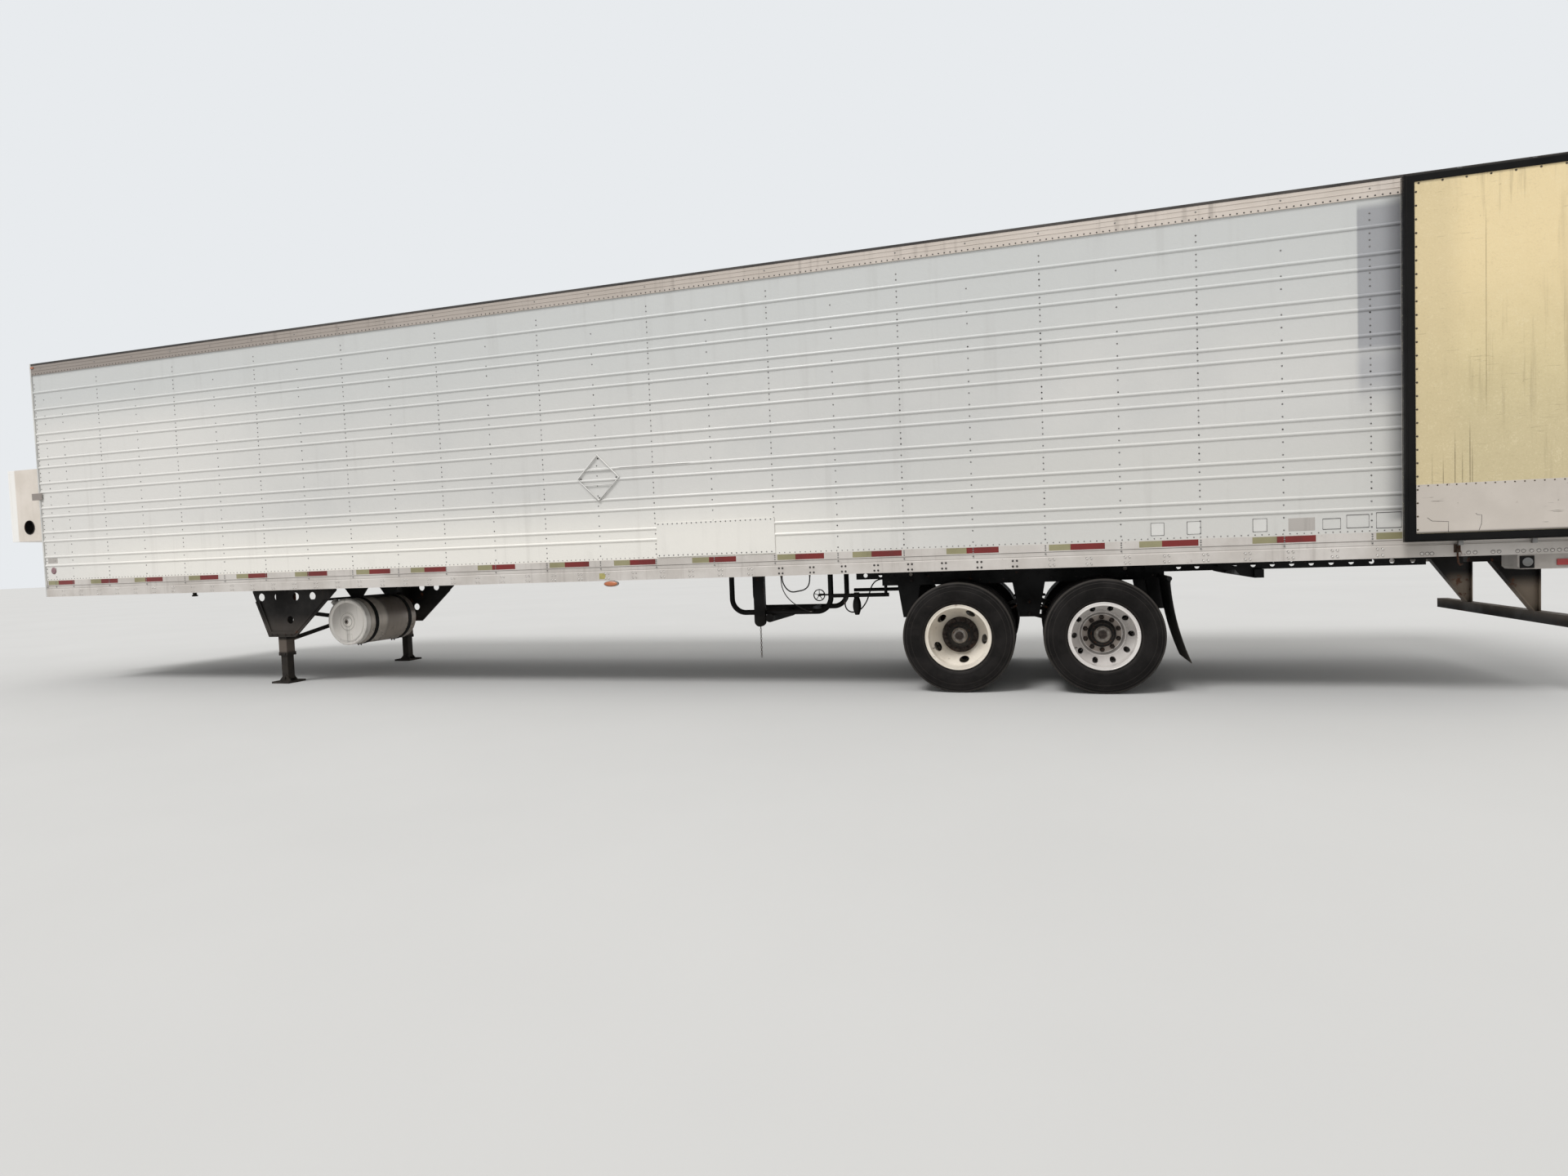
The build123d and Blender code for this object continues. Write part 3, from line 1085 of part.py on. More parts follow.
def make_guard():
    """Underride guard: channel bar on two raked struts under a short beam."""
    front = BODY_LENGTH - GUARD_SETBACK
    back = front + GUARD_SIZE
    bar_top = GUARD_BOTTOM + GUARD_SIZE
    bar = block(front, back, -GUARD_HALF_WIDTH, GUARD_HALF_WIDTH, GUARD_BOTTOM, bar_top)
    bar -= block(front + GUARD_WALL, back - GUARD_WALL, -GUARD_HALF_WIDTH - 1, GUARD_HALF_WIDTH + 1,
                 GUARD_BOTTOM + GUARD_WALL, bar_top - GUARD_WALL)
    top_front = front - GUARD_RAKE
    strut_back = BODY_LENGTH - GUARD_BACK_GAP
    rise = RAIL_BOTTOM - bar_top
    thick = GUARD_PLATE * sqrt(GUARD_RAKE ** 2 + rise ** 2) / rise
    web = side_outline([(top_front, RAIL_BOTTOM), (strut_back, RAIL_BOTTOM), (strut_back, bar_top),
                        (front, bar_top)])
    lip = side_outline([(top_front, RAIL_BOTTOM), (top_front + thick, RAIL_BOTTOM),
                        (front + thick, bar_top),
                        (front, bar_top)])
    low_y, high_y = GUARD_STRUT - GUARD_FLANGE / 2.0, GUARD_STRUT + GUARD_FLANGE / 2.0
    strut = across_body(web, GUARD_STRUT - GUARD_PLATE / 2.0, GUARD_STRUT + GUARD_PLATE / 2.0)
    strut += across_body(lip, low_y, high_y)
    strut += block(strut_back - GUARD_PLATE, strut_back, low_y, high_y, bar_top, RAIL_BOTTOM)
    strut += block(FRAME_STATION - GUARD_BEAM_LENGTH, FRAME_STATION, low_y, high_y,
                   RAIL_BOTTOM - GUARD_BEAM_DROP, CROSSMEMBER_BOTTOM)
    keep("underride_guard", bar + strut + mirrored(strut))


def hinge_heights():
    """Middle heights of the door hinges."""
    low = DOOR_BOTTOM + HINGE_END_GAP
    high = DOOR_TOP - HINGE_END_GAP
    return [low + index * (high - low) / (HINGE_COUNT - 1) for index in range(HINGE_COUNT)]


def frame_knuckles(side, z):
    """Fixed knuckles of one hinge, above and below the door's own."""
    total = None
    outer, inner = side * (PIN_Y - HINGE_BARREL / 8.0), side * (PIN_Y - HINGE_BARREL)
    for direction in (-1.0, 1.0):
        near = z + direction * (HINGE_HEIGHT / 2.0 + HINGE_CLEARANCE)
        far = near + direction * KNUCKLE_HEIGHT
        place = Pos(x_at(PIN_STATION), side * PIN_Y, (near + far) / 2.0)
        barrel = place * Cylinder(HINGE_BARREL, KNUCKLE_HEIGHT)
        knuckle = barrel + block(BODY_LENGTH, PIN_STATION, inner, outer, near, far)
        total = knuckle if total is None else total + knuckle
    return total


def keeper(y, z0, z1):
    """Two cheeks that hold one end of a lock rod when the door is shut."""
    cheeks = None
    for direction in (-1.0, 1.0):
        near = y + direction * KEEPER_GAP
        cheek = block(BODY_LENGTH, BODY_LENGTH + KEEPER_DEPTH, near, near + direction * KEEPER_CHEEK, z0,
                      z1)
        cheeks = cheek if cheeks is None else cheeks + cheek
    return cheeks


def door_place(distance, depth):
    """Row X and Y of a place on the opened left door.

    distance runs from the hinge pin towards the free edge, depth from the pin plane outwards.
    """
    return x_at(PIN_STATION - distance), PIN_Y + depth


def door_slab(d0, d1, depth0, depth1, z0, z1):
    """A block of the opened left door."""
    x0, y0 = door_place(d0, depth0)
    x1, y1 = door_place(d1, depth1)
    size = Box(abs(x1 - x0), abs(y1 - y0), abs(z1 - z0))
    return Pos((x0 + x1) / 2.0, (y0 + y1) / 2.0, (z0 + z1) / 2.0) * size


def hinge_strap(z):
    """Bent strap of one hinge with its knuckle round the pin."""
    # distance from the pin, depth from the pin plane
    points = [(HINGE_BARREL * 0.7, HINGE_BARREL * 0.7), (HINGE_SIDE + GASKET_WIDTH / 2.0, DOOR_OFFSET),
              (HINGE_REACH, DOOR_OFFSET), (HINGE_REACH, DOOR_OFFSET - HINGE_STRAP),
              (HINGE_SIDE + GASKET_WIDTH / 2.0 + HINGE_STRAP / 2.0, DOOR_OFFSET - HINGE_STRAP),
              (HINGE_BARREL, -HINGE_STRAP / 2.0)]
    plan = outline([door_place(*point) for point in points])
    strap = extrude(Pos(0, 0, z - HINGE_HEIGHT / 2.0) * plan, amount=HINGE_HEIGHT)
    x, y = door_place(0, 0)
    return strap + Pos(x, y, z) * Cylinder(HINGE_BARREL, HINGE_HEIGHT)


def lock_rod(distance):
    """Lock rod with its end cams, guides and handle."""
    x, y = door_place(distance, ROD_DEPTH)
    height = DOOR_TOP - DOOR_BOTTOM
    lock = Pos(x, y, (DOOR_BOTTOM + DOOR_TOP) / 2.0) * Cylinder(ROD_RADIUS, height + 2.0 * ROD_OVERHANG)
    cam = (distance - CAM_HALF_WIDTH, distance + CAM_HALF_WIDTH, ROD_DEPTH - ROD_RADIUS,
           ROD_DEPTH + ROD_RADIUS)
    lock += door_slab(*cam, DOOR_TOP - DOOR_GAP, DOOR_TOP + CAM_HEIGHT - DOOR_GAP)
    lock += door_slab(*cam, DOOR_BOTTOM - CAM_HEIGHT + DOOR_GAP, DOOR_BOTTOM + DOOR_GAP)
    for share in (0.04, 0.35, 0.65, 0.96):
        z = DOOR_BOTTOM + share * height
        lock += door_slab(distance - GUIDE_HALF_WIDTH, distance + GUIDE_HALF_WIDTH,
                          ROD_DEPTH - GUIDE_CLOSENESS, DOOR_OFFSET, z - GUIDE_HEIGHT / 2.0,
                          z + GUIDE_HEIGHT / 2.0)
    grip = DOOR_BOTTOM + HANDLE_RISE
    lock += door_slab(distance, distance + HANDLE_LENGTH, ROD_DEPTH - HANDLE_THICKNESS / 2.0,
                      ROD_DEPTH + HANDLE_THICKNESS / 2.0, grip - HANDLE_HEIGHT / 2.0,
                      grip + HANDLE_HEIGHT / 2.0)
    return lock


def make_doors():
    """Both rear doors, swung right round against the sides."""
    skin_back = DOOR_OFFSET + DOOR_SKIN
    face = DOOR_OFFSET + DOOR_THICKNESS
    d0, d1 = HINGE_SIDE, FREE_SIDE
    g = GASKET_WIDTH
    skin = door_slab(d0, d1, DOOR_OFFSET, skin_back, DOOR_BOTTOM, DOOR_TOP)
    plug = door_slab(d0 + g, d1 - g, skin_back, face, DOOR_BOTTOM + g, DOOR_TOP - g)
    panel = skin + plug

    gasket = door_slab(d0, d1, skin_back, face + GASKET_PROUD, DOOR_BOTTOM, DOOR_TOP)
    gasket = chamfer(gasket.faces().sort_by(Axis.Y)[-1].edges(), EDGE_BEVEL)
    gasket -= door_slab(d0 + g, d1 - g, skin_back - 1, face + GASKET_PROUD + 1, DOOR_BOTTOM + g,
                        DOOR_TOP - g)
    hardware = [hinge_strap(z) for z in hinge_heights()] + [lock_rod(INNER_ROD), lock_rod(OUTER_ROD)]
    for side in SIDES:
        flip = (lambda shape: shape) if side == "left" else mirrored
        keep("door_" + side, flip(panel))
        keep("door_gasket_" + side, flip(gasket))
        keep("door_hardware_" + side, *[flip(piece) for piece in hardware])


def make_bogie_frame():
    """Hollow slide beams joined by box ties, with the pull bars of the slide lock."""
    y0 = BEAM_INNER
    y1 = BEAM_INNER + BEAM_WIDTH
    section = outline([(y0, BEAM_BOTTOM), (y1, BEAM_BOTTOM), (y1, BEAM_TOP), (y0, BEAM_TOP)])
    section -= outline([(y0 + BEAM_WALL, BEAM_BOTTOM + BEAM_WALL),
                        (y1 - BEAM_WALL, BEAM_BOTTOM + BEAM_WALL),
                        (y1 - BEAM_WALL, BEAM_TOP - BEAM_WALL), (y0 + BEAM_WALL, BEAM_TOP - BEAM_WALL)])
    beam = along_body(section, BOGIE_FRONT, BOGIE_REAR)
    frame = beam + mirrored(beam)
    low, high = BEAM_BOTTOM + BOGIE_TIE_DROP / 2.0, BEAM_TOP - BOGIE_TIE_DROP
    half = BOGIE_TIE / 2.0
    hanger = AXLE_STATION - SPRING_HALF_SPAN + END_HANGER_AT
    for station in (BOGIE_FRONT + half, hanger, TANDEM_MIDDLE, BOGIE_REAR - half):
        tie = side_outline([
            (station - half, low), (station + half, low), (station + half, low + BOGIE_TIE_WALL),
            (station - half + BOGIE_TIE_WALL, low + BOGIE_TIE_WALL),
            (station - half + BOGIE_TIE_WALL, high - BOGIE_TIE_WALL),
            (station + half, high - BOGIE_TIE_WALL),
            (station + half, high), (station - half, high)])
        frame += across_body(tie, -y0, y0)
    for side in SIDES.values():
        y = side * (y1 - PULL_BAR_RADIUS)
        hang = BOGIE_FRONT + PULL_BAR_BEHIND / 2.0
        frame += rod((hang, y, BEAM_BOTTOM + BEAM_WALL / 2.0), (hang, y, PULL_BAR_HEIGHT),
                     PULL_BAR_HANGER_RADIUS)
        frame += rod((BOGIE_FRONT - PULL_BAR_AHEAD, y, PULL_BAR_HEIGHT),
                     (BOGIE_FRONT + PULL_BAR_BEHIND, y, PULL_BAR_HEIGHT), PULL_BAR_RADIUS)
    route = on_bogie(BOGIE_HOSE_ROUTE)
    s, y, z = route[0]
    frame += block(s, BOGIE_FRONT + BOGIE_TIE_WALL / 2.0, y - BOGIE_HOSE, y + BOGIE_HOSE,
                   z - BOGIE_HOSE, z + BOGIE_HOSE)
    s, y, z = route[-1]
    frame += block(s - BOGIE_HOSE, s + BOGIE_HOSE, y - BOGIE_HOSE, y + BOGIE_HOSE, z, PULL_BAR_HEIGHT)
    route = on_bogie(CHAMBER_HOSE_ROUTE)
    for end in (route[0], route[-1]):
        frame += hose_clip(end, low + BOGIE_TIE_WALL / 2.0)
    keep("bogie_frame", frame)


def spring_arc():
    """Height of the springs' lowest leaf at the axle, of its ends, and its radius underneath."""
    seat = AXLE_HEIGHT + AXLE_RADIUS + SPRING_SEAT
    radius = (SPRING_HALF_SPAN ** 2 + SPRING_CAMBER ** 2) / (2.0 * SPRING_CAMBER)
    return seat, seat + SPRING_CAMBER, radius


def leaf(station, index, half_span):
    """One bowed leaf; every leaf shares the same centre, so each lies on the next."""
    seat, _, radius = spring_arc()
    centre_z = seat + radius
    lower = radius - index * LEAF
    upper = lower - LEAF
    lean = half_span / radius
    sine, cosine = lean, sqrt(1.0 - lean ** 2)
    x = x_at(station)
    low_right = (x + lower * sine, centre_z - lower * cosine)
    low_left = (x - lower * sine, centre_z - lower * cosine)
    up_right = (x + upper * sine, centre_z - upper * cosine)
    up_left = (x - upper * sine, centre_z - upper * cosine)
    face = make_face([
        ThreePointArc(low_left, (x, centre_z - lower), low_right), Line(low_right, up_right),
        ThreePointArc(up_right, (x, centre_z - upper), up_left), Line(up_left, low_left)])
    return across_body(face, SPRING_Y - SPRING_WIDTH / 2.0, SPRING_Y + SPRING_WIDTH / 2.0)


def make_springs():
    """Stepped packs of three leaves, each clamped on its axle by two U-bolts between plates."""
    seat, _, _ = spring_arc()
    half = SPRING_WIDTH / 2.0
    leaves = []
    clamps = []
    bolt_y = half + U_BOLT_RADIUS + U_BOLT_CLEARANCE
    plate_y = bolt_y + 2.0 * U_BOLT_RADIUS
    top = seat + 3.0 * LEAF
    bolt_s = AXLE_RADIUS + U_BOLT_RADIUS + 4.0 * U_BOLT_CLEARANCE
    for axle in AXLES:
        # place in the pack from below, half span
        for index, half_span in ((0, SPRING_HALF_SPAN * 0.45), (1, SPRING_HALF_SPAN * 0.78),
                                 (2, SPRING_HALF_SPAN)):
            leaves += both(leaf(axle, index, half_span))
        cover = block(axle - CLAMP_HALF, axle + CLAMP_HALF, SPRING_Y - plate_y, SPRING_Y + plate_y,
                      top, top + CLAMP_PLATE)
        cover -= across_body(side_outline([
            (axle - CLAMP_HALF - 1, top - 1), (axle + CLAMP_HALF + 1, top - 1),
            (axle + CLAMP_HALF + 1, top + CLAMP_PLATE * 0.75), (axle, top),
            (axle - CLAMP_HALF - 1, top + CLAMP_PLATE * 0.75)]),
            SPRING_Y - half - U_BOLT_CLEARANCE, SPRING_Y + half + U_BOLT_CLEARANCE)
        base = AXLE_HEIGHT - AXLE_RADIUS - CLAMP_PLATE
        saddle = block(axle - CLAMP_HALF, axle + CLAMP_HALF, SPRING_Y - plate_y, SPRING_Y + plate_y,
                       base, base + 2.0 * CLAMP_PLATE)
        saddle -= pin(axle, SPRING_Y - plate_y - 1, SPRING_Y + plate_y + 1, AXLE_HEIGHT, AXLE_RADIUS)
        clamp = cover + saddle
        for place in (-bolt_s, bolt_s):
            x = x_at(axle + place)
            path = FilletPolyline(
                (x, SPRING_Y - bolt_y, base - U_BOLT_RADIUS),
                (x, SPRING_Y - bolt_y, top + CLAMP_PLATE + U_BOLT_RADIUS),
                (x, SPRING_Y + bolt_y, top + CLAMP_PLATE + U_BOLT_RADIUS),
                (x, SPRING_Y + bolt_y, base - U_BOLT_RADIUS),
                radius=2.0 * U_BOLT_RADIUS)
            clamp += sweep(Plane(origin=path @ 0, z_dir=path % 0) * Circle(U_BOLT_RADIUS), path=path)
        clamps += both(clamp)
    keep("leaf_springs", *leaves)
    keep("spring_clamps", *clamps)


def spring_top():
    """Height of the main leaf's top at its ends."""
    _, _, radius = spring_arc()
    centre_z = AXLE_HEIGHT + AXLE_RADIUS + SPRING_SEAT + radius
    upper = radius - 3.0 * LEAF
    return centre_z - upper * sqrt(1.0 - (SPRING_HALF_SPAN / radius) ** 2)


def make_hangers():
    """Tapered hangers under the beams: wear pads over the spring ends, pins for rockers and torque rods."""
    y0, y1 = BEAM_INNER, BEAM_INNER + BEAM_WIDTH
    plates = (y0 + HANGER_PLATE, y1 - HANGER_PLATE)
    front = AXLE_STATION - SPRING_HALF_SPAN + END_HANGER_AT
    rear = REAR_AXLE_STATION + SPRING_HALF_SPAN - END_HANGER_AT
    pad_low = spring_top()
    hangers = []
    # station, half width at the top, half width at the foot, foot height, wear pad, torque rod
    table = ((front, 110, 62, 640, True, True), (TANDEM_MIDDLE, 150, 90, 630, False, True),
             (rear, 110, 62, 690, True, False))
    for station, top_half, foot_half, foot, pad, torque in table:
        shape = side_outline([(station - top_half, BEAM_BOTTOM), (station + top_half, BEAM_BOTTOM),
                              (station + foot_half, foot), (station - foot_half, foot)])
        hanger = across_body(shape, y0, y1)
        hanger -= block(station - top_half, station + top_half, *plates, foot - 1,
                        BEAM_BOTTOM - HANGER_WEB_DROP)
        if pad:
            hanger += block(station - PAD_HALF, station + PAD_HALF, *plates, pad_low, pad_low + PAD_HEIGHT)
        if torque:
            hanger += pin(station, y0, y1, foot + ROD_END_RADIUS, ROD_PIN_RADIUS)
        hangers += both(hanger)
    keep("spring_hangers", *hangers)


def torque_rod(station, height, axle):
    """Rod from a hanger's pin to the axle, with a drilled eye at each end."""
    low = axle - TORQUE_ROD_AHEAD
    bar = rod((station, SPRING_Y, height), (low, SPRING_Y, TORQUE_ROD_FOOT), TORQUE_ROD_RADIUS)
    for s, z in ((station, height), (low, TORQUE_ROD_FOOT)):
        bar += pin(s, SPRING_Y - ROD_END_HALF, SPRING_Y + ROD_END_HALF, z, ROD_END_RADIUS)
    for s, z in ((station, height), (low, TORQUE_ROD_FOOT)):
        bar -= pin(s, SPRING_Y - ROD_END_HALF - 1, SPRING_Y + ROD_END_HALF + 1, z, ROD_PIN_RADIUS)
    return bar


def make_links():
    """Rockers between the springs, and the torque rods ahead of each axle."""
    low = spring_top()
    centre = TANDEM_MIDDLE
    half = SPRING_WIDTH / 2.0 - ROCKER_SIDE_GAP
    hub_low = low - ROCKER_HEIGHT
    rocker = side_outline([
        (centre - ROCKER_HALF, low), (centre - ROCKER_HUB_HALF, low),
        (centre - ROCKER_HUB_HALF * 0.8, hub_low), (centre + ROCKER_HUB_HALF * 0.8, hub_low),
        (centre + ROCKER_HUB_HALF, low), (centre + ROCKER_HALF, low),
        (centre + ROCKER_HALF, low + ROCKER_TIP),
        (centre + ROCKER_HUB_HALF, low + ROCKER_HEIGHT), (centre - ROCKER_HUB_HALF, low + ROCKER_HEIGHT),
        (centre - ROCKER_HALF, low + ROCKER_TIP)])
    rocker = across_body(rocker, SPRING_Y - half, SPRING_Y + half)
    reach = BEAM_WIDTH / 2.0 - HANGER_PLATE
    rocker += pin(centre, SPRING_Y - reach, SPRING_Y + reach, low, ROCKER_PIN_RADIUS)
    front = AXLE_STATION - SPRING_HALF_SPAN + END_HANGER_AT
    pieces = [*both(rocker)]
    rods = ((front, FRONT_ROD_FOOT, AXLE_STATION), (centre, ROCKER_ROD_FOOT, REAR_AXLE_STATION))
    for station, foot, axle in rods:
        pieces += both(torque_rod(station, foot + ROD_END_RADIUS, axle))
    keep("suspension_links", *pieces)


def make_axles():
    """Axle tubes with spindles, spring seats and lugs for the torque rods; brake gear behind them."""
    seat, _, _ = spring_arc()
    hub_inner = WHEEL_FACE - DISC - DRUM_WIDTH - DRUM_WALL / 2.0
    half = SPRING_WIDTH / 2.0
    axles = []
    chambers = []
    for axle in AXLES:
        tube = pin(axle, -hub_inner, hub_inner, AXLE_HEIGHT, AXLE_RADIUS)
        tip = WHEEL_FACE + SPINDLE_OVERHANG
        tube += pin(axle, -tip, tip, AXLE_HEIGHT, SPINDLE_RADIUS)
        for side in SIDES.values():
            y = side * SPRING_Y
            perch = block(axle - AXLE_RADIUS, axle + AXLE_RADIUS, y - half, y + half, AXLE_HEIGHT, seat)
            perch -= disc_under_leaf(axle, y)
            tube += perch
            tube += torque_lugs(axle, y)
            spider = pin(axle, side * (hub_inner - DISC), side * hub_inner, AXLE_HEIGHT, SPIDER_RADIUS)
            tube += spider
            chambers.append(brake_chamber(axle, side, hub_inner))
        axles.append(tube)
    keep("axles", *axles)
    keep("brake_chambers", *chambers)


def disc_under_leaf(axle, y):
    """The space of the lowest leaf, cut from the spring seat under it."""
    seat, _, radius = spring_arc()
    return pin(axle, y - SPRING_WIDTH, y + SPRING_WIDTH, seat + radius, radius)


def torque_lugs(axle, y):
    """Two cheeks and a pin on the axle tube for the end of a torque rod."""
    ahead = axle - TORQUE_ROD_AHEAD
    cheek = side_outline([
        (ahead - ROD_END_RADIUS * 0.7, TORQUE_ROD_FOOT - ROD_END_RADIUS * 0.7),
        (ahead - ROD_END_RADIUS * 0.7, TORQUE_ROD_FOOT + ROD_END_RADIUS * 0.7),
        (axle, AXLE_HEIGHT + AXLE_RADIUS * 0.8), (axle, AXLE_HEIGHT - AXLE_RADIUS * 0.8)])
    lugs = pin(ahead, y - ROD_END_HALF - TORQUE_LUG, y + ROD_END_HALF + TORQUE_LUG, TORQUE_ROD_FOOT,
               ROD_PIN_RADIUS)
    for near in (y - ROD_END_HALF - TORQUE_LUG, y + ROD_END_HALF):
        lugs += across_body(cheek, near, near + TORQUE_LUG)
    return lugs


def brake_chamber(axle, side, hub_inner):
    """Two-stage brake chamber on its bracket, with the cam tube that runs out to the drum."""
    y = side * CHAMBER_Y
    front = axle + CHAMBER_BEHIND
    height = AXLE_HEIGHT + CHAMBER_LIFT
    can = rod((front, y, height), (front + CHAMBER_LENGTH, y, height), CHAMBER_RADIUS)
    for share in (0.3, 0.7):
        middle = front + share * CHAMBER_LENGTH
        can += rod((middle - CHAMBER_BAND, y, height), (middle + CHAMBER_BAND, y, height),
                   CHAMBER_RADIUS + CHAMBER_BAND)
    arm = side_outline([(axle, AXLE_HEIGHT), (axle, AXLE_HEIGHT + AXLE_RADIUS * 0.9),
                        (front + CHAMBER_BAND, height + CHAMBER_RADIUS / 2.0),
                        (front + CHAMBER_BAND, height - CHAMBER_RADIUS / 2.0)])
    arm = across_body(arm, y - CHAMBER_BAND, y + CHAMBER_BAND)
    arm -= pin(axle, y - CHAMBER_RADIUS, y + CHAMBER_RADIUS, AXLE_HEIGHT, AXLE_RADIUS)
    cam_y = side * (hub_inner - DISC)
    tube = rod((axle + CAM_TUBE_BEHIND, y, AXLE_HEIGHT), (axle + CAM_TUBE_BEHIND, cam_y, AXLE_HEIGHT),
               CAM_TUBE_RADIUS)
    return can + arm + tube


def make_air_tank():
    """Crosswise air tank under the bogie's second tie."""
    station = BOGIE_FRONT + AIR_TANK_AT
    underside = BEAM_BOTTOM + BOGIE_TIE_DROP / 2.0
    height = underside - AIR_TANK_RADIUS - BOGIE_TIE_WALL
    tank = pin(station, -AIR_TANK_HALF, AIR_TANK_HALF, height, AIR_TANK_RADIUS)
    hanger = AXLE_STATION - SPRING_HALF_SPAN + END_HANGER_AT
    for y in (-AIR_TANK_BRACKET_Y, AIR_TANK_BRACKET_Y):
        tank += block(hanger - BOGIE_TIE / 2.0, station + BOGIE_TIE_DROP, y - BOGIE_TIE_DROP,
                      y + BOGIE_TIE_DROP,
                      height + AIR_TANK_RADIUS * 0.8, underside)
    keep("air_tank", tank)


def make_mud_flaps():
    """Bent rubber flaps behind the wheels, each on a round bar from the beam."""
    bar_z = RUNWAY_LOW - FLAP_BAR_DROP
    top = REAR_AXLE_STATION + FLAP_BEHIND
    back = top + FLAP_THICKNESS
    foot = top + FLAP_LEAN
    bend = top + FLAP_BEND
    flap = make_face([
        ThreePointArc((x_at(top), bar_z), (x_at(bend), FLAP_BEND_HEIGHT), (x_at(foot), FLAP_BOTTOM)),
        Line((x_at(foot), FLAP_BOTTOM), (x_at(foot + FLAP_THICKNESS), FLAP_BOTTOM)),
        ThreePointArc((x_at(foot + FLAP_THICKNESS), FLAP_BOTTOM),
                      (x_at(bend + FLAP_THICKNESS), FLAP_BEND_HEIGHT),
                      (x_at(back), bar_z)),
        Line((x_at(back), bar_z), (x_at(top), bar_z)),
    ])
    sheet = across_body(flap, FLAP_INNER, FLAP_OUTER)
    bar = pin(top + FLAP_THICKNESS / 2.0, BEAM_INNER + BEAM_WIDTH, FLAP_OUTER, bar_z, FLAP_BAR_RADIUS)
    keep("mud_flaps", *both(sheet + bar))


def tyre_section(centre):
    """Section of a tyre as (r, y) points round its middle plane."""
    half = TYRE_WIDTH / 2.0
    tread = 0.41 * TYRE_WIDTH
    bead = RIM_WIDTH / 2.0 - RIM_FLANGE
    # radius, distance from the middle plane
    side = [
        (RIM_SEAT_RADIUS, bead), (RIM_FLANGE_RADIUS + BEAD_GAP, bead),
        (RIM_FLANGE_RADIUS + 0.06 * TYRE_WIDTH, bead + 0.05 * TYRE_WIDTH),
        ((TYRE_RADIUS + RIM_FLANGE_RADIUS) / 2.0, half), (TYRE_RADIUS - 0.16 * TYRE_WIDTH, half * 0.93),
        (TYRE_RADIUS, tread)]
    return [(r, centre - y) for r, y in side] + [(r, centre + y) for r, y in reversed(side)]


def rim_profile(centre, sign):
    """Section of one wheel of a pair as (r, y) points, its disc bolted on the middle plane."""
    well = RIM_SEAT_RADIUS - RIM_WELL
    inside = well - RIM_WALL
    flange = centre + sign * RIM_WIDTH / 2.0
    back = centre - sign * RIM_WIDTH / 2.0
    face = WHEEL_FACE
    near = face + sign * DISC
    step = sign * DISC_STEP
    root = centre - sign * 2.0 * DISC
    return [
        (0, face), (DISC_FLAT_RADIUS + DISC, face), (DISC_STEP_RADIUS + DISC, face + step), (inside, root),
        (inside, back), (RIM_FLANGE_RADIUS, back), (RIM_FLANGE_RADIUS, back + sign * RIM_FLANGE),
        (RIM_SEAT_RADIUS, back + sign * RIM_FLANGE), (RIM_SEAT_RADIUS, flange - sign * RIM_FLANGE),
        (RIM_FLANGE_RADIUS, flange - sign * RIM_FLANGE), (RIM_FLANGE_RADIUS, flange), (inside, flange),
        (inside, root + sign * 2.0 * DISC), (DISC_STEP_RADIUS, near + step), (DISC_FLAT_RADIUS, near),
        (0, near),
    ]


def make_wheels():
    """Four pairs of twin wheels, each pair with its hub and brake drum."""
    # axle name, station, hand holes, half length and half width of a hole, hole circle, first hole's angle
    table = (("front", AXLE_STATION, 5, 46.0, 27.0, 226.0, -9.0),
             ("rear", REAR_AXLE_STATION, 10, 25.0, 25.0, 238.0, 1.5))
    for axle, station, holes, length, width, circle, first in table:
        tyres = [turned(tyre_section(centre), station, AXLE_HEIGHT)
                 for centre in (OUTER_TYRE_CENTRE, INNER_TYRE_CENTRE)]
        wheel = make_wheel_metal(station) - hand_holes(station, holes, length, width, circle, first)
        for side in SIDES:
            flip = (lambda shape: shape) if side == "left" else mirrored
            keep("tyres_%s_%s" % (axle, side), *[flip(tyre) for tyre in tyres])
            keep("wheels_%s_%s" % (axle, side), flip(wheel))


def hand_holes(station, count, length, width, circle, first):
    """Cutters for the ring of oval hand holes through both discs."""
    cutters = []
    for index in range(count):
        angle = radians(first + index * 360.0 / count)
        x = x_at(station + circle * cos(angle))
        z = AXLE_HEIGHT + circle * sin(angle)
        along = (sin(angle), 0, cos(angle))
        plane = Plane(origin=(x, INNER_TYRE_CENTRE, z), x_dir=along, z_dir=(0, 1, 0))
        cutters.append(extrude(plane * Ellipse(length, width), amount=DUAL_SPACING))
    return cutters


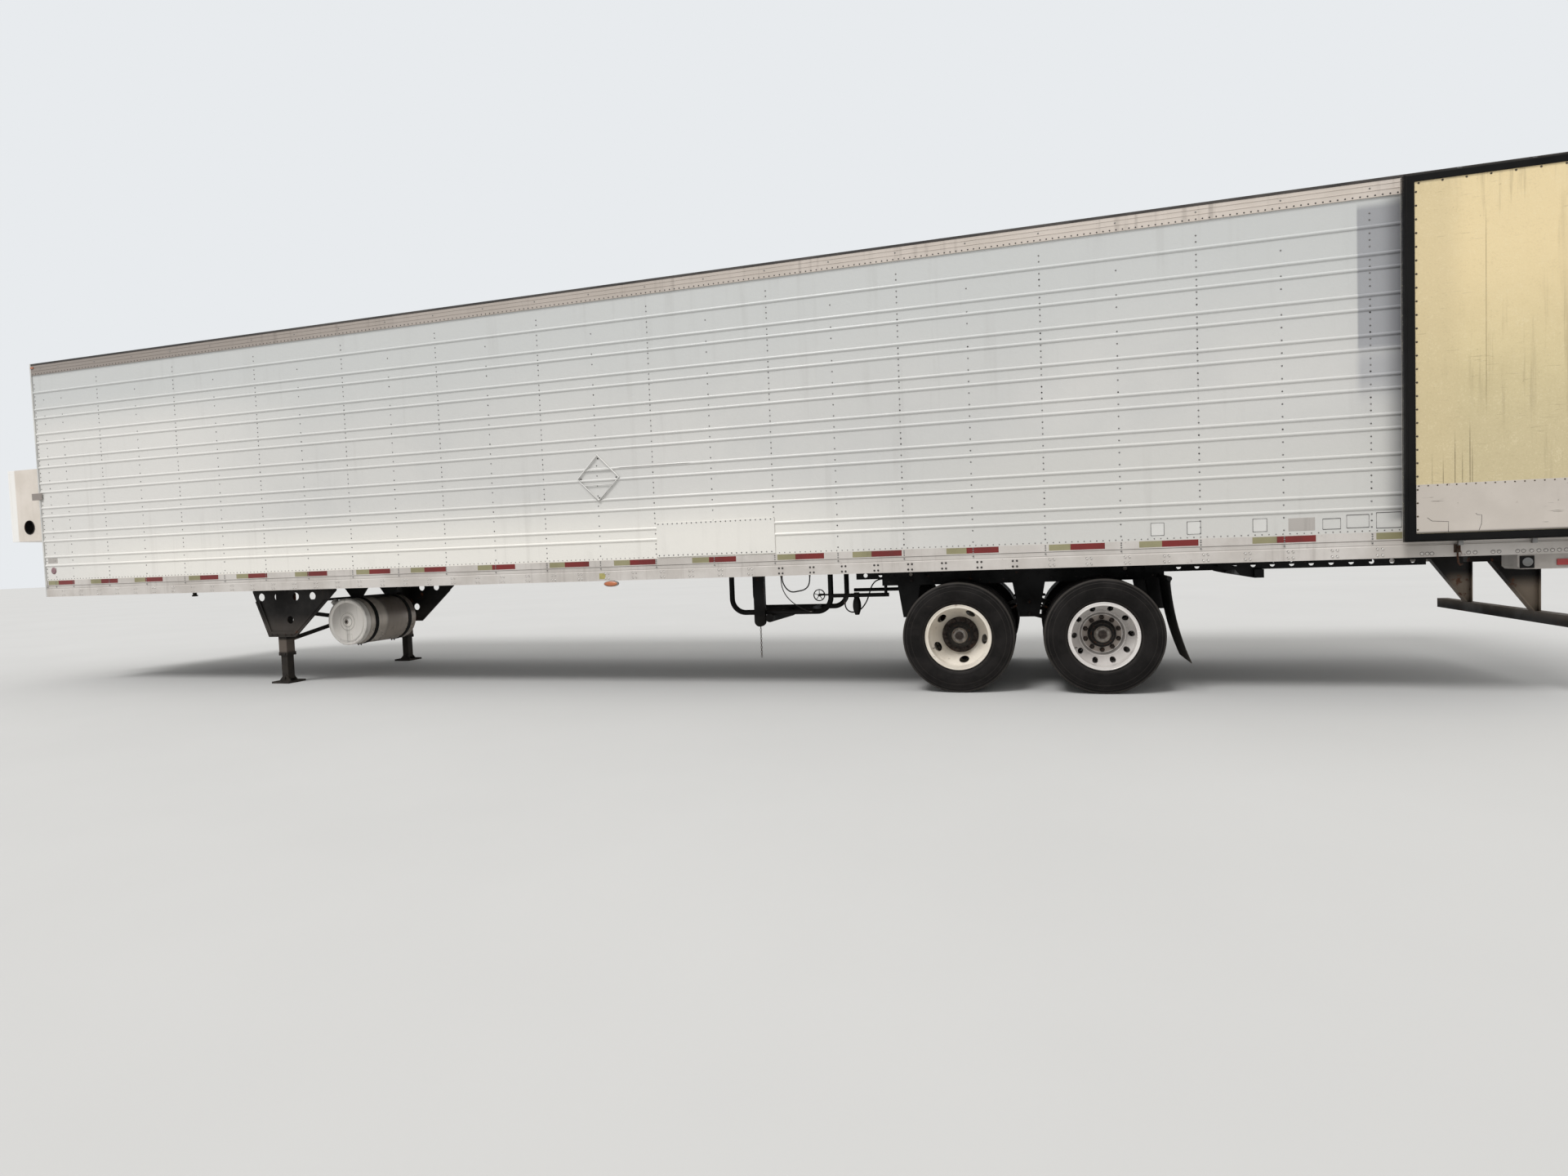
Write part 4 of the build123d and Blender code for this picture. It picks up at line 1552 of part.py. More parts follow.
def make_wheel_metal(station):
    """Outer and inner rims, their discs, the hub and the drum as one turning piece."""
    total = None
    for centre, sign in ((OUTER_TYRE_CENTRE, 1.0), (INNER_TYRE_CENTRE, -1.0)):
        rim = turned(rim_profile(centre, sign), station, AXLE_HEIGHT)
        total = rim if total is None else total + rim
    hub_out = WHEEL_FACE + HUB_LENGTH
    total += turned([
        (0, WHEEL_FACE), (HUB_FLANGE_RADIUS, WHEEL_FACE),
        (HUB_FLANGE_RADIUS, WHEEL_FACE + HUB_LENGTH * 0.45),
        (HUB_FLANGE_RADIUS * 0.8, WHEEL_FACE + HUB_LENGTH * 0.6), (HUB_CAP_RADIUS * 1.2, hub_out - DISC),
        (HUB_CAP_RADIUS, hub_out), (0, hub_out)], station, AXLE_HEIGHT)
    drum_face = WHEEL_FACE - DISC
    drum_in = drum_face - DRUM_WIDTH
    inner = DRUM_RADIUS - DRUM_WALL
    hub_radius = AXLE_RADIUS
    total += turned([
        (hub_radius, WHEEL_FACE), (inner, drum_face), (DRUM_RADIUS, drum_face - DRUM_WALL),
        (DRUM_RADIUS, drum_in),
        (inner, drum_in), (inner, drum_face - DRUM_WALL), (hub_radius, drum_face - DRUM_WALL)],
        station, AXLE_HEIGHT)
    bore = SPINDLE_RADIUS + BEARING_CLEARANCE
    return total - pin(station, drum_in - 1, WHEEL_FACE + SPINDLE_OVERHANG + BEARING_CLEARANCE * 5.0,
                       AXLE_HEIGHT, bore)


def write_parts():
    """Write one file for each node."""
    os.makedirs("parts", exist_ok=True)
    for name, shape in NODES.items():
        export_step(shape, "parts/" + name + ".step")


make_body_shell()
make_floor()
make_nose()
make_unit()
make_coupler()
make_landing_legs()
make_fuel_tank()
make_spare_carrier()
make_hoses()
make_runway()
make_rear()
make_guard()
make_doors()
make_bogie_frame()
make_relay_valve()
make_springs()
make_hangers()
make_links()
make_axles()
make_air_tank()
make_mud_flaps()
make_wheels()
write_parts()
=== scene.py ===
"""Refrigerated van semi-trailer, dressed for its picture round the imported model."""

import logging
import math
import random
from collections.abc import Iterable, Mapping, Sequence
from dataclasses import dataclass
from enum import Enum

import bmesh
import bpy
from mathutils import Matrix, Vector


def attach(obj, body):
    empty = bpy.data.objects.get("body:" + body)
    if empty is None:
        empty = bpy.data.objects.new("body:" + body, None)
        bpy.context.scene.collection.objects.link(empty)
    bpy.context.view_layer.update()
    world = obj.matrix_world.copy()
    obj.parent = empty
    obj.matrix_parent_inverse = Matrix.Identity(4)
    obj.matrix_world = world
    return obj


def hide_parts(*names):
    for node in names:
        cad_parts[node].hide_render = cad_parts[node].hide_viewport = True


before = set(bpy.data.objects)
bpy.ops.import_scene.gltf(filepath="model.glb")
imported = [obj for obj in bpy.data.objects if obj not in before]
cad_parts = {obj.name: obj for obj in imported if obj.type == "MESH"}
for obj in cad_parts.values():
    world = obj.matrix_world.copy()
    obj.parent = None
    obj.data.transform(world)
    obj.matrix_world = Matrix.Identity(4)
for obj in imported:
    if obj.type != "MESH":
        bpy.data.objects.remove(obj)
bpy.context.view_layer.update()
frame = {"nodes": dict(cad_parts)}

log = logging.getLogger("trailer")

Point = tuple[float, float, float]
Flat = tuple[float, float]
Colour = tuple[int, int, int]
Feed = object
Tree = bpy.types.NodeTree
Socket = bpy.types.NodeSocket
Sockets = bpy.types.bpy_prop_collection

NOSE_X = 7.79
HALF_WIDTH = 1.295
SKIN_Y = 1.284
RAIL_BOTTOM = 1.11
RAIL_TOP = 1.317
TOP_RAIL_LOW = 3.915
BODY_TOP = 4.06
BODY_LENGTH = 16.154
AXLE_HEIGHT = 0.503
FRONT_AXLE = 11.48
REAR_AXLE = 12.7246
MM = 1000.0
# angles in degrees over which an edge stays sharp
TURNED_ANGLE = 35.0
TYRE_ANGLE = 34.0
LENS_ANGLE = 50.0


def at(station: float) -> float:
    """Row X of a place given in metres back from the nose."""
    return NOSE_X - station


def linear(colour: Colour) -> tuple[float, float, float, float]:
    """Shader colour of a display colour.

    Args:
        colour: red, green and blue from 0 to 255, as they look on a screen.

    Returns:
        The same colour in linear light, with full alpha.
    """
    shares = [part / 255.0 for part in colour]
    light = [s / 12.92 if s <= 0.04045 else ((s + 0.055) / 1.055) ** 2.4 for s in shares]
    return (light[0], light[1], light[2], 1.0)


class Side(Enum):
    """Side of the trailer, with the sign of its Y."""

    LEFT = 1
    RIGHT = -1

    @property
    def word(self) -> str:
        """The side's word in node names."""
        return self.name.lower()


class Axis(Enum):
    """Row axis that a piece is turned or drawn about."""

    X = 0
    Y = 1
    Z = 2

    def place(self, along: float, u: float, v: float) -> Point:
        """Row point from a distance along this axis and two distances across it.

        Args:
            along: distance along the axis.
            u: first distance across it.
            v: second distance across it.

        Returns:
            The point as X, Y and Z.
        """
        if self is Axis.X:
            return (along, u, v)
        if self is Axis.Y:
            return (u, along, v)
        return (u, v, along)


class Measure(Enum):
    """What a zone of a finish is measured by."""

    X = "X"
    Y = "Y"
    Z = "Z"
    RADIUS = "Radius"
    SPREAD = "distance from the middle"


@dataclass(frozen=True)
class Limit:
    """One pair of limits of a zone, soft at both ends."""

    measure: Measure
    low: float
    high: float
    soft: float = 0.002
    centre: Flat = (0.0, 0.0)


@dataclass(frozen=True)
class Zone:
    """A part of a surface with its own colour, where all its limits hold."""

    limits: tuple[Limit, ...]
    colour: Colour
    strength: float = 1.0
    roughness: float = 0.0


@dataclass(frozen=True)
class Finish:
    """How one kind of surface looks: its colours, its wear and its grain."""

    name: str
    slot: str
    base: Colour
    shade: Colour
    dirt: Colour = (70, 62, 54)
    roughness: float = 0.55
    spread: float = 0.1
    metallic: float = 0.0
    coat: float = 0.0
    cloud_scale: float = 1.6
    mottle: float = 0.0
    mottle_scale: float = 60.0
    streaks: float = 0.0
    streak_scale: float = 9.0
    dust: float = 0.0
    dust_level: float = 0.8
    rust: float = 0.0
    rust_scale: float = 14.0
    scuffs: float = 0.0
    grain_scale: float = 260.0
    grain: float = 0.0004
    lines: Flat = (0.0, 0.0)
    gloss: float = 0.5
    zones: tuple[Zone, ...] = ()


class Wiring:
    """Adds and joins the nodes of one node tree."""

    def __init__(self, tree: Tree) -> None:
        """Keeps the tree that the nodes go into."""
        self.tree = tree

    def add(self, kind: str, feeds: Mapping[object, Feed] | None = None,
            **settings: object) -> bpy.types.Node:
        """Adds one node.

        Args:
            kind: Blender's name of the node type.
            feeds: sockets to join or values to set, by input name or number.
            settings: properties of the node itself.

        Returns:
            The new node.
        """
        node = self.tree.nodes.new(kind)
        for name, value in settings.items():
            setattr(node, name, value)
        for key, value in (feeds or {}).items():
            if isinstance(value, Socket):
                self.join(value, node.inputs[key])
            else:
                node.inputs[key].default_value = value
        return node

    def join(self, source: Socket, target: Socket) -> None:
        """Joins an output to an input."""
        self.tree.links.new(source, target)

    def effect(self, tree: Tree, feeds: Mapping[str, Feed]) -> Sockets:
        """Places a shared effect, joins its inputs and gives its outputs."""
        return self.add("ShaderNodeGroup", feeds, node_tree=tree).outputs

    def shader(self) -> Sockets:
        """The inputs of the material's own shader."""
        return next(n for n in self.tree.nodes if n.type == "BSDF_PRINCIPLED").inputs

    def parts(self, vector: Feed) -> Sockets:
        """The three parts of a vector."""
        return self.add("ShaderNodeSeparateXYZ", {0: vector}).outputs

    def calc(self, operation: str, first: Feed, second: Feed = 0.0) -> Socket:
        """Result of one arithmetic node on two values."""
        return self.add("ShaderNodeMath", {0: first, 1: second}, operation=operation).outputs[0]

    def plus(self, first: Feed, second: Feed) -> Socket:
        """Sum of two values."""
        return self.calc("ADD", first, second)

    def minus(self, first: Feed, second: Feed) -> Socket:
        """Difference of two values."""
        return self.calc("SUBTRACT", first, second)

    def times(self, first: Feed, second: Feed) -> Socket:
        """Product of two values."""
        return self.calc("MULTIPLY", first, second)

    def tint(self, factor: Feed, under: Feed, over: Feed) -> Socket:
        """Colour that goes from one to another as the factor grows."""
        return self.add("ShaderNodeMix", {0: factor, 6: under, 7: over}, data_type="RGBA").outputs[2]

    def cover(self, colour: Feed, mask: Feed, share: float, over: Colour) -> Socket:
        """Colour with a share of another laid over it where a mask holds."""
        return self.tint(self.times(mask, share), colour, linear(over))

    def lift(self, value: Feed, mask: Feed, amount: float) -> Socket:
        """Value raised by an amount where a mask holds."""
        return self.plus(value, self.times(mask, amount))

    def ramp(self, value: Feed, low: Feed, high: Feed, start: float = 0.0, end: float = 1.0) -> Socket:
        """Value carried smoothly from one range to another.

        Args:
            value: what is carried over.
            low: where the range starts.
            high: where the range ends.
            start: result at the start.
            end: result at the end.

        Returns:
            The socket with the result.
        """
        feeds = {0: value, 1: low, 2: high, 3: start, 4: end}
        return self.add("ShaderNodeMapRange", feeds, interpolation_type="SMOOTHSTEP").outputs[0]

    def noise(self, vector: Feed, scale: Feed, detail: float = 4.0) -> Socket:
        """Value of a noise texture."""
        feeds = {"Vector": vector, "Scale": scale, "Detail": detail, "Roughness": 0.6}
        return self.add("ShaderNodeTexNoise", feeds).outputs[0]


class Effects:
    """The shader node groups that the finishes share, each built once."""

    def __init__(self) -> None:
        """Builds every group."""
        self.cloud = self._cloud()
        self.flecks = self._flecks()
        self.streaks = self._streaks()
        self.grain = self._grain()
        self.rust = self._rust()
        self.dust = self._dust()
        self.scuffs = self._scuffs()
        self.band = self._band()
        self.radius = self._radius()
        self.lines = self._lines()

    def _start(self, name: str, takes: Sequence[str],
               gives: Sequence[str]) -> tuple[Wiring, Sockets, Sockets]:
        """Starts a group with its sockets.

        Args:
            name: the group's name.
            takes: names of the inputs, all of them values but the vector and the normal.
            gives: names of the outputs, all of them values.

        Returns:
            The wiring, what the group is given and what it gives.
        """
        tree = bpy.data.node_groups.new(name, "ShaderNodeTree")
        for label in takes:
            kind = "NodeSocketVector" if label in ("Vector", "Normal") else "NodeSocketFloat"
            tree.interface.new_socket(name=label, in_out="INPUT", socket_type=kind)
        for label in gives:
            tree.interface.new_socket(name=label, in_out="OUTPUT", socket_type="NodeSocketFloat")
        wiring = Wiring(tree)
        return wiring, wiring.add("NodeGroupInput").outputs, wiring.add("NodeGroupOutput").inputs

    def _cloud(self) -> Tree:
        """Soft patches where a paint has aged unevenly."""
        w, taken, given = self._start("uneven_age", ["Vector", "Scale"], ["Mask"])
        broad = w.noise(taken["Vector"], taken["Scale"], 5.0)
        w.join(w.ramp(broad, 0.36, 0.64), given["Mask"])
        return w.tree

    def _flecks(self) -> Tree:
        """Small pale and dark flecks of a pebbled panel."""
        w, taken, given = self._start("panel_flecks", ["Vector", "Scale"], ["Pale", "Dark"])
        fine = w.noise(taken["Vector"], taken["Scale"], 2.0)
        coarse = w.noise(taken["Vector"], 9.0, 3.0)
        both = w.plus(w.times(fine, 0.65), w.times(coarse, 0.35))
        w.join(w.ramp(both, 0.54, 0.64), given["Pale"])
        w.join(w.ramp(both, 0.45, 0.36), given["Dark"])
        return w.tree

    def _streaks(self) -> Tree:
        """Rain streaks that run down a wall."""
        w, taken, given = self._start("rain_streaks", ["Vector", "Scale"], ["Mask"])
        long = w.add("ShaderNodeVectorMath", {0: taken["Vector"], 1: (1.0, 1.0, 0.05)}, operation="MULTIPLY")
        fine = w.noise(long.outputs[0], taken["Scale"], 3.0)
        patch = w.noise(taken["Vector"], 0.9, 2.0)
        mask = w.times(w.ramp(fine, 0.52, 0.72), w.ramp(patch, 0.4, 0.62))
        w.join(mask, given["Mask"])
        return w.tree

    def _grain(self) -> Tree:
        """Fine unevenness of a painted or moulded surface."""
        w, taken, given = self._start("fine_grain", ["Vector", "Scale"], ["Height"])
        fine = w.noise(taken["Vector"], taken["Scale"], 2.0)
        broad = w.noise(taken["Vector"], 7.0, 2.0)
        height = w.plus(fine, w.times(broad, 1.6))
        w.join(height, given["Height"])
        return w.tree

    def _rust(self) -> Tree:
        """Blooms of rust that break through a coating."""
        w, taken, given = self._start("rust_blooms", ["Vector", "Scale", "Cover"], ["Mask"])
        vector, scale = taken["Vector"], taken["Scale"]
        bloom = w.noise(vector, scale, 6.0)
        patch = w.noise(vector, w.times(scale, 0.18), 2.0)
        both = w.plus(w.times(bloom, 0.6), w.times(patch, 0.4))
        edge = w.minus(0.66, w.times(taken["Cover"], 0.3))
        mask = w.ramp(both, edge, w.plus(edge, 0.07))
        w.join(mask, given["Mask"])
        return w.tree

    def _dust(self) -> Tree:
        """Road dust on ledges and near the ground."""
        w, taken, given = self._start("road_dust", ["Vector", "Normal", "Level"], ["Mask"])
        up = w.parts(taken["Normal"])[2]
        height = w.parts(taken["Vector"])[2]
        ledge = w.ramp(up, 0.2, 0.9)
        low = w.ramp(height, taken["Level"], 0.0)
        patch = w.ramp(w.noise(taken["Vector"], 11.0, 5.0), 0.3, 0.66)
        settled = w.calc("MAXIMUM", ledge, w.times(low, 0.8))
        mask = w.times(settled, w.plus(w.times(patch, 0.75), 0.25))
        w.join(mask, given["Mask"])
        return w.tree

    def _scuffs(self) -> Tree:
        """Long scrapes and small chips from knocks."""
        w, taken, given = self._start("scuff_marks", ["Vector"], ["Mask"])
        slanted = w.add("ShaderNodeMapping", {0: taken["Vector"], 2: (0.0, 0.35, 0.0), 3: (2.0, 2.0, 26.0)})
        scrape = w.ramp(w.noise(slanted.outputs[0], 2.6, 3.0), 0.66, 0.7)
        chip = w.ramp(w.noise(taken["Vector"], 34.0, 2.0), 0.7, 0.73)
        patch = w.ramp(w.noise(taken["Vector"], 2.2, 2.0), 0.46, 0.6)
        mask = w.times(w.calc("MAXIMUM", scrape, chip), patch)
        w.join(mask, given["Mask"])
        return w.tree

    def _band(self) -> Tree:
        """A band of a measured value, soft at both ends."""
        w, taken, given = self._start("soft_band", ["Value", "Low", "High", "Soft"], ["Mask"])
        value, soft = taken["Value"], taken["Soft"]
        low, high = taken["Low"], taken["High"]
        enter = w.ramp(value, w.minus(low, soft), w.plus(low, soft))
        leave = w.ramp(value, w.minus(high, soft), w.plus(high, soft), 1.0, 0.0)
        w.join(w.times(enter, leave), given["Mask"])
        return w.tree

    def _radius(self) -> Tree:
        """Distance from a crosswise centre line."""
        takes = ["Vector", "Centre X", "Centre Z"]
        w, taken, given = self._start("distance_from_centre_line", takes, ["Radius"])
        parts = w.parts(taken["Vector"])
        x = w.minus(parts[0], taken["Centre X"])
        z = w.minus(parts[2], taken["Centre Z"])
        square = w.plus(w.times(x, x), w.times(z, z))
        w.join(w.calc("SQRT", square), given["Radius"])
        return w.tree

    def _lines(self) -> Tree:
        """Fine lines at equal steps along X, and a tone for each sheet between them."""
        w, taken, given = self._start("sheet_joints", ["Vector", "Start", "Pitch"], ["Line", "Tone"])
        x = w.parts(taken["Vector"])[0]
        shares = w.calc("DIVIDE", w.minus(x, taken["Start"]), taken["Pitch"])
        across = w.calc("FRACT", shares)
        from_middle = w.calc("ABSOLUTE", w.minus(across, 0.5))
        line = w.ramp(w.times(from_middle, 2.0), 0.992, 0.998)
        sheet = w.add("ShaderNodeTexWhiteNoise", {"W": w.calc("FLOOR", shares)}, noise_dimensions="1D")
        w.join(line, given["Line"])
        w.join(sheet.outputs[0], given["Tone"])
        return w.tree


class Painter:
    """Makes one material for each finish."""

    RUST: Colour = (92, 54, 34)
    DUST: Colour = (112, 103, 92)
    FLECK: Colour = (242, 229, 194)
    BUMP: float = 0.6
    COAT_ROUGHNESS: float = 0.12
    SHEET_TONE: float = 0.3
    SHEET_JOINT: float = 0.08
    DARK_FLECKS: float = 0.4
    RUST_COVER: float = 0.85
    RUST_ROUGHNESS: float = 0.25
    DUST_ROUGHNESS: float = 0.3

    def __init__(self) -> None:
        """Builds the shared effects."""
        self.effects = Effects()
        self.made: dict[str, bpy.types.Material] = {}

    def material(self, finish: Finish) -> bpy.types.Material:
        """The finish's material, made on its first use.

        Args:
            finish: the look of the surface.

        Returns:
            The material, with all its nodes.
        """
        if finish.name not in self.made:
            self.made[finish.name] = self._make(finish)
        return self.made[finish.name]

    def _make(self, finish: Finish) -> bpy.types.Material:
        """Builds the nodes of one finish.

        Args:
            finish: the look of the surface.

        Returns:
            The new material.
        """
        material = bpy.data.materials.new(finish.name)
        material.use_nodes = True
        w = Wiring(material.node_tree)
        vector = w.add("ShaderNodeTexCoord").outputs["Object"]
        normal = w.add("ShaderNodeNewGeometry").outputs["Normal"]
        colour, rough = self._paint(w, vector, finish)
        colour, rough = self._wear(w, vector, finish, colour, rough)
        if finish.dust > 0.0:
            feeds = {"Vector": vector, "Normal": normal, "Level": finish.dust_level}
            dust = w.effect(self.effects.dust, feeds)[0]
            colour = w.cover(colour, dust, finish.dust, self.DUST)
            rough = w.lift(rough, dust, self.DUST_ROUGHNESS)
        height = w.effect(self.effects.grain, {"Vector": vector, "Scale": finish.grain_scale})[0]
        bump = w.add("ShaderNodeBump", {"Strength": self.BUMP, "Distance": finish.grain, "Height": height})
        shader = w.shader()
        w.join(colour, shader["Base Color"])
        w.join(rough, shader["Roughness"])
        w.join(bump.outputs[0], shader["Normal"])
        shader["Metallic"].default_value = finish.metallic
        shader["Coat Weight"].default_value = finish.coat
        shader["Coat Roughness"].default_value = self.COAT_ROUGHNESS
        shader["Specular IOR Level"].default_value = finish.gloss
        return material

    def _paint(self, w: Wiring, vector: Feed, finish: Finish) -> tuple[Feed, Feed]:
        """Colour and roughness of the surface before wear: base, sheets and zones.

        Args:
            w: the material's wiring.
            vector: the surface's place.
            finish: the look of the surface.

        Returns:
            The colour and the roughness.
        """
        cloud = w.effect(self.effects.cloud, {"Vector": vector, "Scale": finish.cloud_scale})[0]
        colour = w.tint(cloud, linear(finish.base), linear(finish.shade))
        rough = w.ramp(cloud, 0.0, 1.0, finish.roughness - finish.spread, finish.roughness + finish.spread)
        if finish.lines[1] > 0.0:
            feeds = {"Vector": vector, "Start": finish.lines[0], "Pitch": finish.lines[1]}
            sheet = w.effect(self.effects.lines, feeds)
            colour = w.cover(colour, sheet["Tone"], self.SHEET_TONE, finish.shade)
            colour = w.cover(colour, sheet["Line"], self.SHEET_JOINT, finish.dirt)
        for zone in finish.zones:
            mask = self._zone(w, vector, zone)
            colour = w.tint(mask, colour, linear(zone.colour))
            if zone.roughness > 0.0:
                rough = w.lift(rough, mask, zone.roughness - finish.roughness)
        return colour, rough

    def _wear(self, w: Wiring, vector: Feed, finish: Finish, colour: Feed, rough: Feed) -> tuple[Feed, Feed]:
        """Colour and roughness with flecks, streaks, scuffs and rust laid over them.

        Args:
            w: the material's wiring.
            vector: the surface's place.
            finish: the look of the surface.
            colour: the colour under the wear.
            rough: the roughness under the wear.

        Returns:
            The colour and the roughness.
        """
        if finish.mottle > 0.0:
            fleck = w.effect(self.effects.flecks, {"Vector": vector, "Scale": finish.mottle_scale})
            colour = w.cover(colour, fleck["Pale"], finish.mottle, self.FLECK)
            colour = w.cover(colour, fleck["Dark"], finish.mottle * self.DARK_FLECKS, finish.dirt)
        if finish.streaks > 0.0:
            streak = w.effect(self.effects.streaks, {"Vector": vector, "Scale": finish.streak_scale})[0]
            colour = w.cover(colour, streak, finish.streaks, finish.dirt)
        if finish.scuffs > 0.0:
            scuff = w.effect(self.effects.scuffs, {"Vector": vector})[0]
            colour = w.cover(colour, scuff, finish.scuffs, finish.dirt)
        if finish.rust > 0.0:
            feeds = {"Vector": vector, "Scale": finish.rust_scale, "Cover": finish.rust}
            bloom = w.effect(self.effects.rust, feeds)[0]
            colour = w.cover(colour, bloom, self.RUST_COVER, self.RUST)
            rough = w.lift(rough, bloom, self.RUST_ROUGHNESS)
        return colour, rough

    def _zone(self, w: Wiring, vector: Feed, zone: Zone) -> Feed:
        """Mask of a zone.

        Args:
            w: the material's wiring.
            vector: the surface's place.
            zone: the limits that all have to hold.

        Returns:
            The mask, at most the zone's strength.
        """
        mask: Feed = zone.strength
        parts = w.parts(vector)
        for limit in zone.limits:
            if limit.measure is Measure.RADIUS:
                feeds = {"Vector": vector, "Centre X": limit.centre[0], "Centre Z": limit.centre[1]}
                value = w.effect(self.effects.radius, feeds)[0]
            elif limit.measure is Measure.SPREAD:
                value = w.calc("ABSOLUTE", parts["Y"])
            else:
                value = parts[limit.measure.value]
            feeds = {"Value": value, "Low": limit.low, "High": limit.high, "Soft": limit.soft}
            mask = w.times(w.effect(self.effects.band, feeds)[0], mask)
        return mask


def stations(first: float, last: float, soft: float) -> Limit:
    """Limit between two stations, soft by a length at each."""
    return Limit(Measure.X, at(last), at(first), soft)


def heights(low: float, high: float, soft: float) -> Limit:
    """Limit between two heights, soft by a length at each."""
    return Limit(Measure.Z, low, high, soft)


def spread(near: float, far: float, soft: float) -> Limit:
    """Limit between two distances from the middle of the trailer, the same on both sides."""
    return Limit(Measure.SPREAD, near, far, soft)


def radii(centre: Flat, inner: float, outer: float, soft: float) -> Limit:
    """Limit between two radii about a crosswise line."""
    return Limit(Measure.RADIUS, inner, outer, soft, centre)


def hub_zones(station: float, flange: Colour) -> tuple[Zone, ...]:
    """Dark hub, stud circle and rusty middle of a wheel pair.

    Args:
        station: station of the axle.
        flange: colour of the ring that the studs stand in.

    Returns:
        The zones, from the widest to the smallest.
    """
    centre = (at(station), AXLE_HEIGHT)
    # radius, colour, roughness
    rings = ((0.168, flange, 0.7), (0.121, (26, 24, 23), 0.5), (0.072, (120, 112, 104), 0.45))
    return tuple(Zone((radii(centre, -1.0, r, 0.002),), colour, 1.0, rough) for r, colour, rough in rings)


def tyre_finish(name: str, station: float) -> Finish:
    """Worn tyre rubber with dusty rings on its wall.

    Args:
        name: the finish's name.
        station: station of the axle.

    Returns:
        The finish.
    """
    centre = (at(station), AXLE_HEIGHT)
    # inner and outer radius, colour, strength
    rings = ((0.486, 0.5012, (74, 70, 66), 0.55), (0.464, 0.4672, (66, 62, 59), 0.55),
             (0.424, 0.4275, (60, 56, 53), 0.5), (0.308, 0.32, (52, 48, 45), 0.4))
    zones = tuple(Zone((radii(centre, inner, outer, 0.0015),), colour, strength)
                  for inner, outer, colour, strength in rings)
    return Finish(name, "tyre", (25, 22, 21), (16, 14, 13), (72, 64, 55), 0.72, 0.08, cloud_scale=5.0,
                  gloss=0.18, scuffs=0.15, grain_scale=420.0, grain=0.0006, zones=zones)


LAST_COLUMN = 14.725
COLUMN_START = at(LAST_COLUMN)
COLUMN_PITCH = 1.2344
TANK_CENTRE = (at(4.25), 0.695)
EXHAUST_CENTRE = (at(-0.26), 2.011)
REAR_CENTRE = (at(REAR_AXLE), AXLE_HEIGHT)

LEFT_SKIN = Limit(Measure.Y, 1.27, 1.5)
INNER_SKIN = spread(1.436, 2.0, 0.0005)
TANK_FACE = Limit(Measure.Y, 0.715, 2.0, 0.004)
TANK_BODY = Limit(Measure.Y, -2.0, 0.42, 0.03)

# side skins
# painted shadow of the open door on the left skin, fading out in a lower step, and painted shade that
# deepens towards the door's edge
DOOR_SHADOW = Zone((LEFT_SKIN, stations(14.64, 15.02, 0.008), heights(2.76, 3.858, 0.035)), (157, 158, 162),
                 0.92)
DOOR_SHADOW_LOW = Zone((LEFT_SKIN, stations(14.64, 15.02, 0.03), heights(2.42, 2.76, 0.14)), (168, 169, 173),
                     0.75)
DOOR_SHADOW_EDGE = Zone((LEFT_SKIN, stations(14.885, 15.2, 0.1), heights(1.41, 3.9, 0.03)), (112, 113, 118),
                      0.8)
SCRATCH = Zone((LEFT_SKIN, stations(8.18, 8.95, 0.03), heights(2.236, 2.243, 0.002)), (120, 116, 112), 0.8)
GREY_TOP = Zone((heights(3.1, 6.0, 0.6),), (200, 202, 201), 0.85)
PALE_LOW = Zone((heights(0.0, 1.78, 0.3), stations(0.9, 10.6, 1.5)), (236, 233, 226), 0.85)
GREY_LOW = Zone((heights(0.0, 2.2, 0.25), stations(11.4, 16.0, 0.9)), (205, 204, 200), 0.8)
PALE_NOSE = Zone((heights(0.0, 3.35, 0.3), Limit(Measure.X, at(3.4), 20.0, 1.6)), (223, 221, 217), 0.75)
LINER = Zone((Limit(Measure.Y, -1.262, 1.262, 0.004),), (214, 214, 208))
SKIN_ZONES = (GREY_TOP, PALE_NOSE, PALE_LOW, GREY_LOW, DOOR_SHADOW, DOOR_SHADOW_LOW, DOOR_SHADOW_EDGE, SCRATCH,
              LINER)

# tank and legs
TANK_END = Zone((TANK_FACE,), (252, 247, 240), 0.97, 0.45)
# painted light on the barrel's near end and lower half, and painted shade on its top
TANK_NEAR_LIGHT = Zone((Limit(Measure.Y, 0.44, 0.713, 0.03),), (226, 216, 204), 0.75)
TANK_LOW_LIGHT = Zone((TANK_BODY, heights(0.0, 0.64, 0.1)), (208, 196, 184), 0.7)
TANK_TOP_SHADE = Zone((TANK_BODY, heights(0.73, 2.0, 0.1)), (126, 114, 105), 0.7)
# dark middle of the plug, with painted shade at the edge of the boss and inside the embossed ring
# inner radius, outer radius, strength
TANK_PLUG_AND_RING_SHADE = tuple(
    Zone((TANK_FACE, radii(TANK_CENTRE, low, high, 0.003)), (128, 118, 108), strength)
    for low, high, strength in ((0.0, 0.03, 0.85), (0.06, 0.068, 0.55), (0.098, 0.106, 0.5)))
LEG_PALE = Zone((heights(0.365, 0.515, 0.015), stations(3.48, 3.64, 0.01)), (100, 91, 84), 0.85)
WING_PALE = Zone((spread(1.072, 2.0, 0.004), heights(0.55, 0.74, 0.1)), (68, 63, 59), 0.8)

# doors
DOOR_LINE = Zone((stations(15.419, 15.424, 0.001), heights(2.3, 3.6, 0.2)), (110, 92, 60), 0.55)
KICK_FOOT = Zone((heights(0.0, 1.305, 0.01),), (52, 47, 42), 0.9)
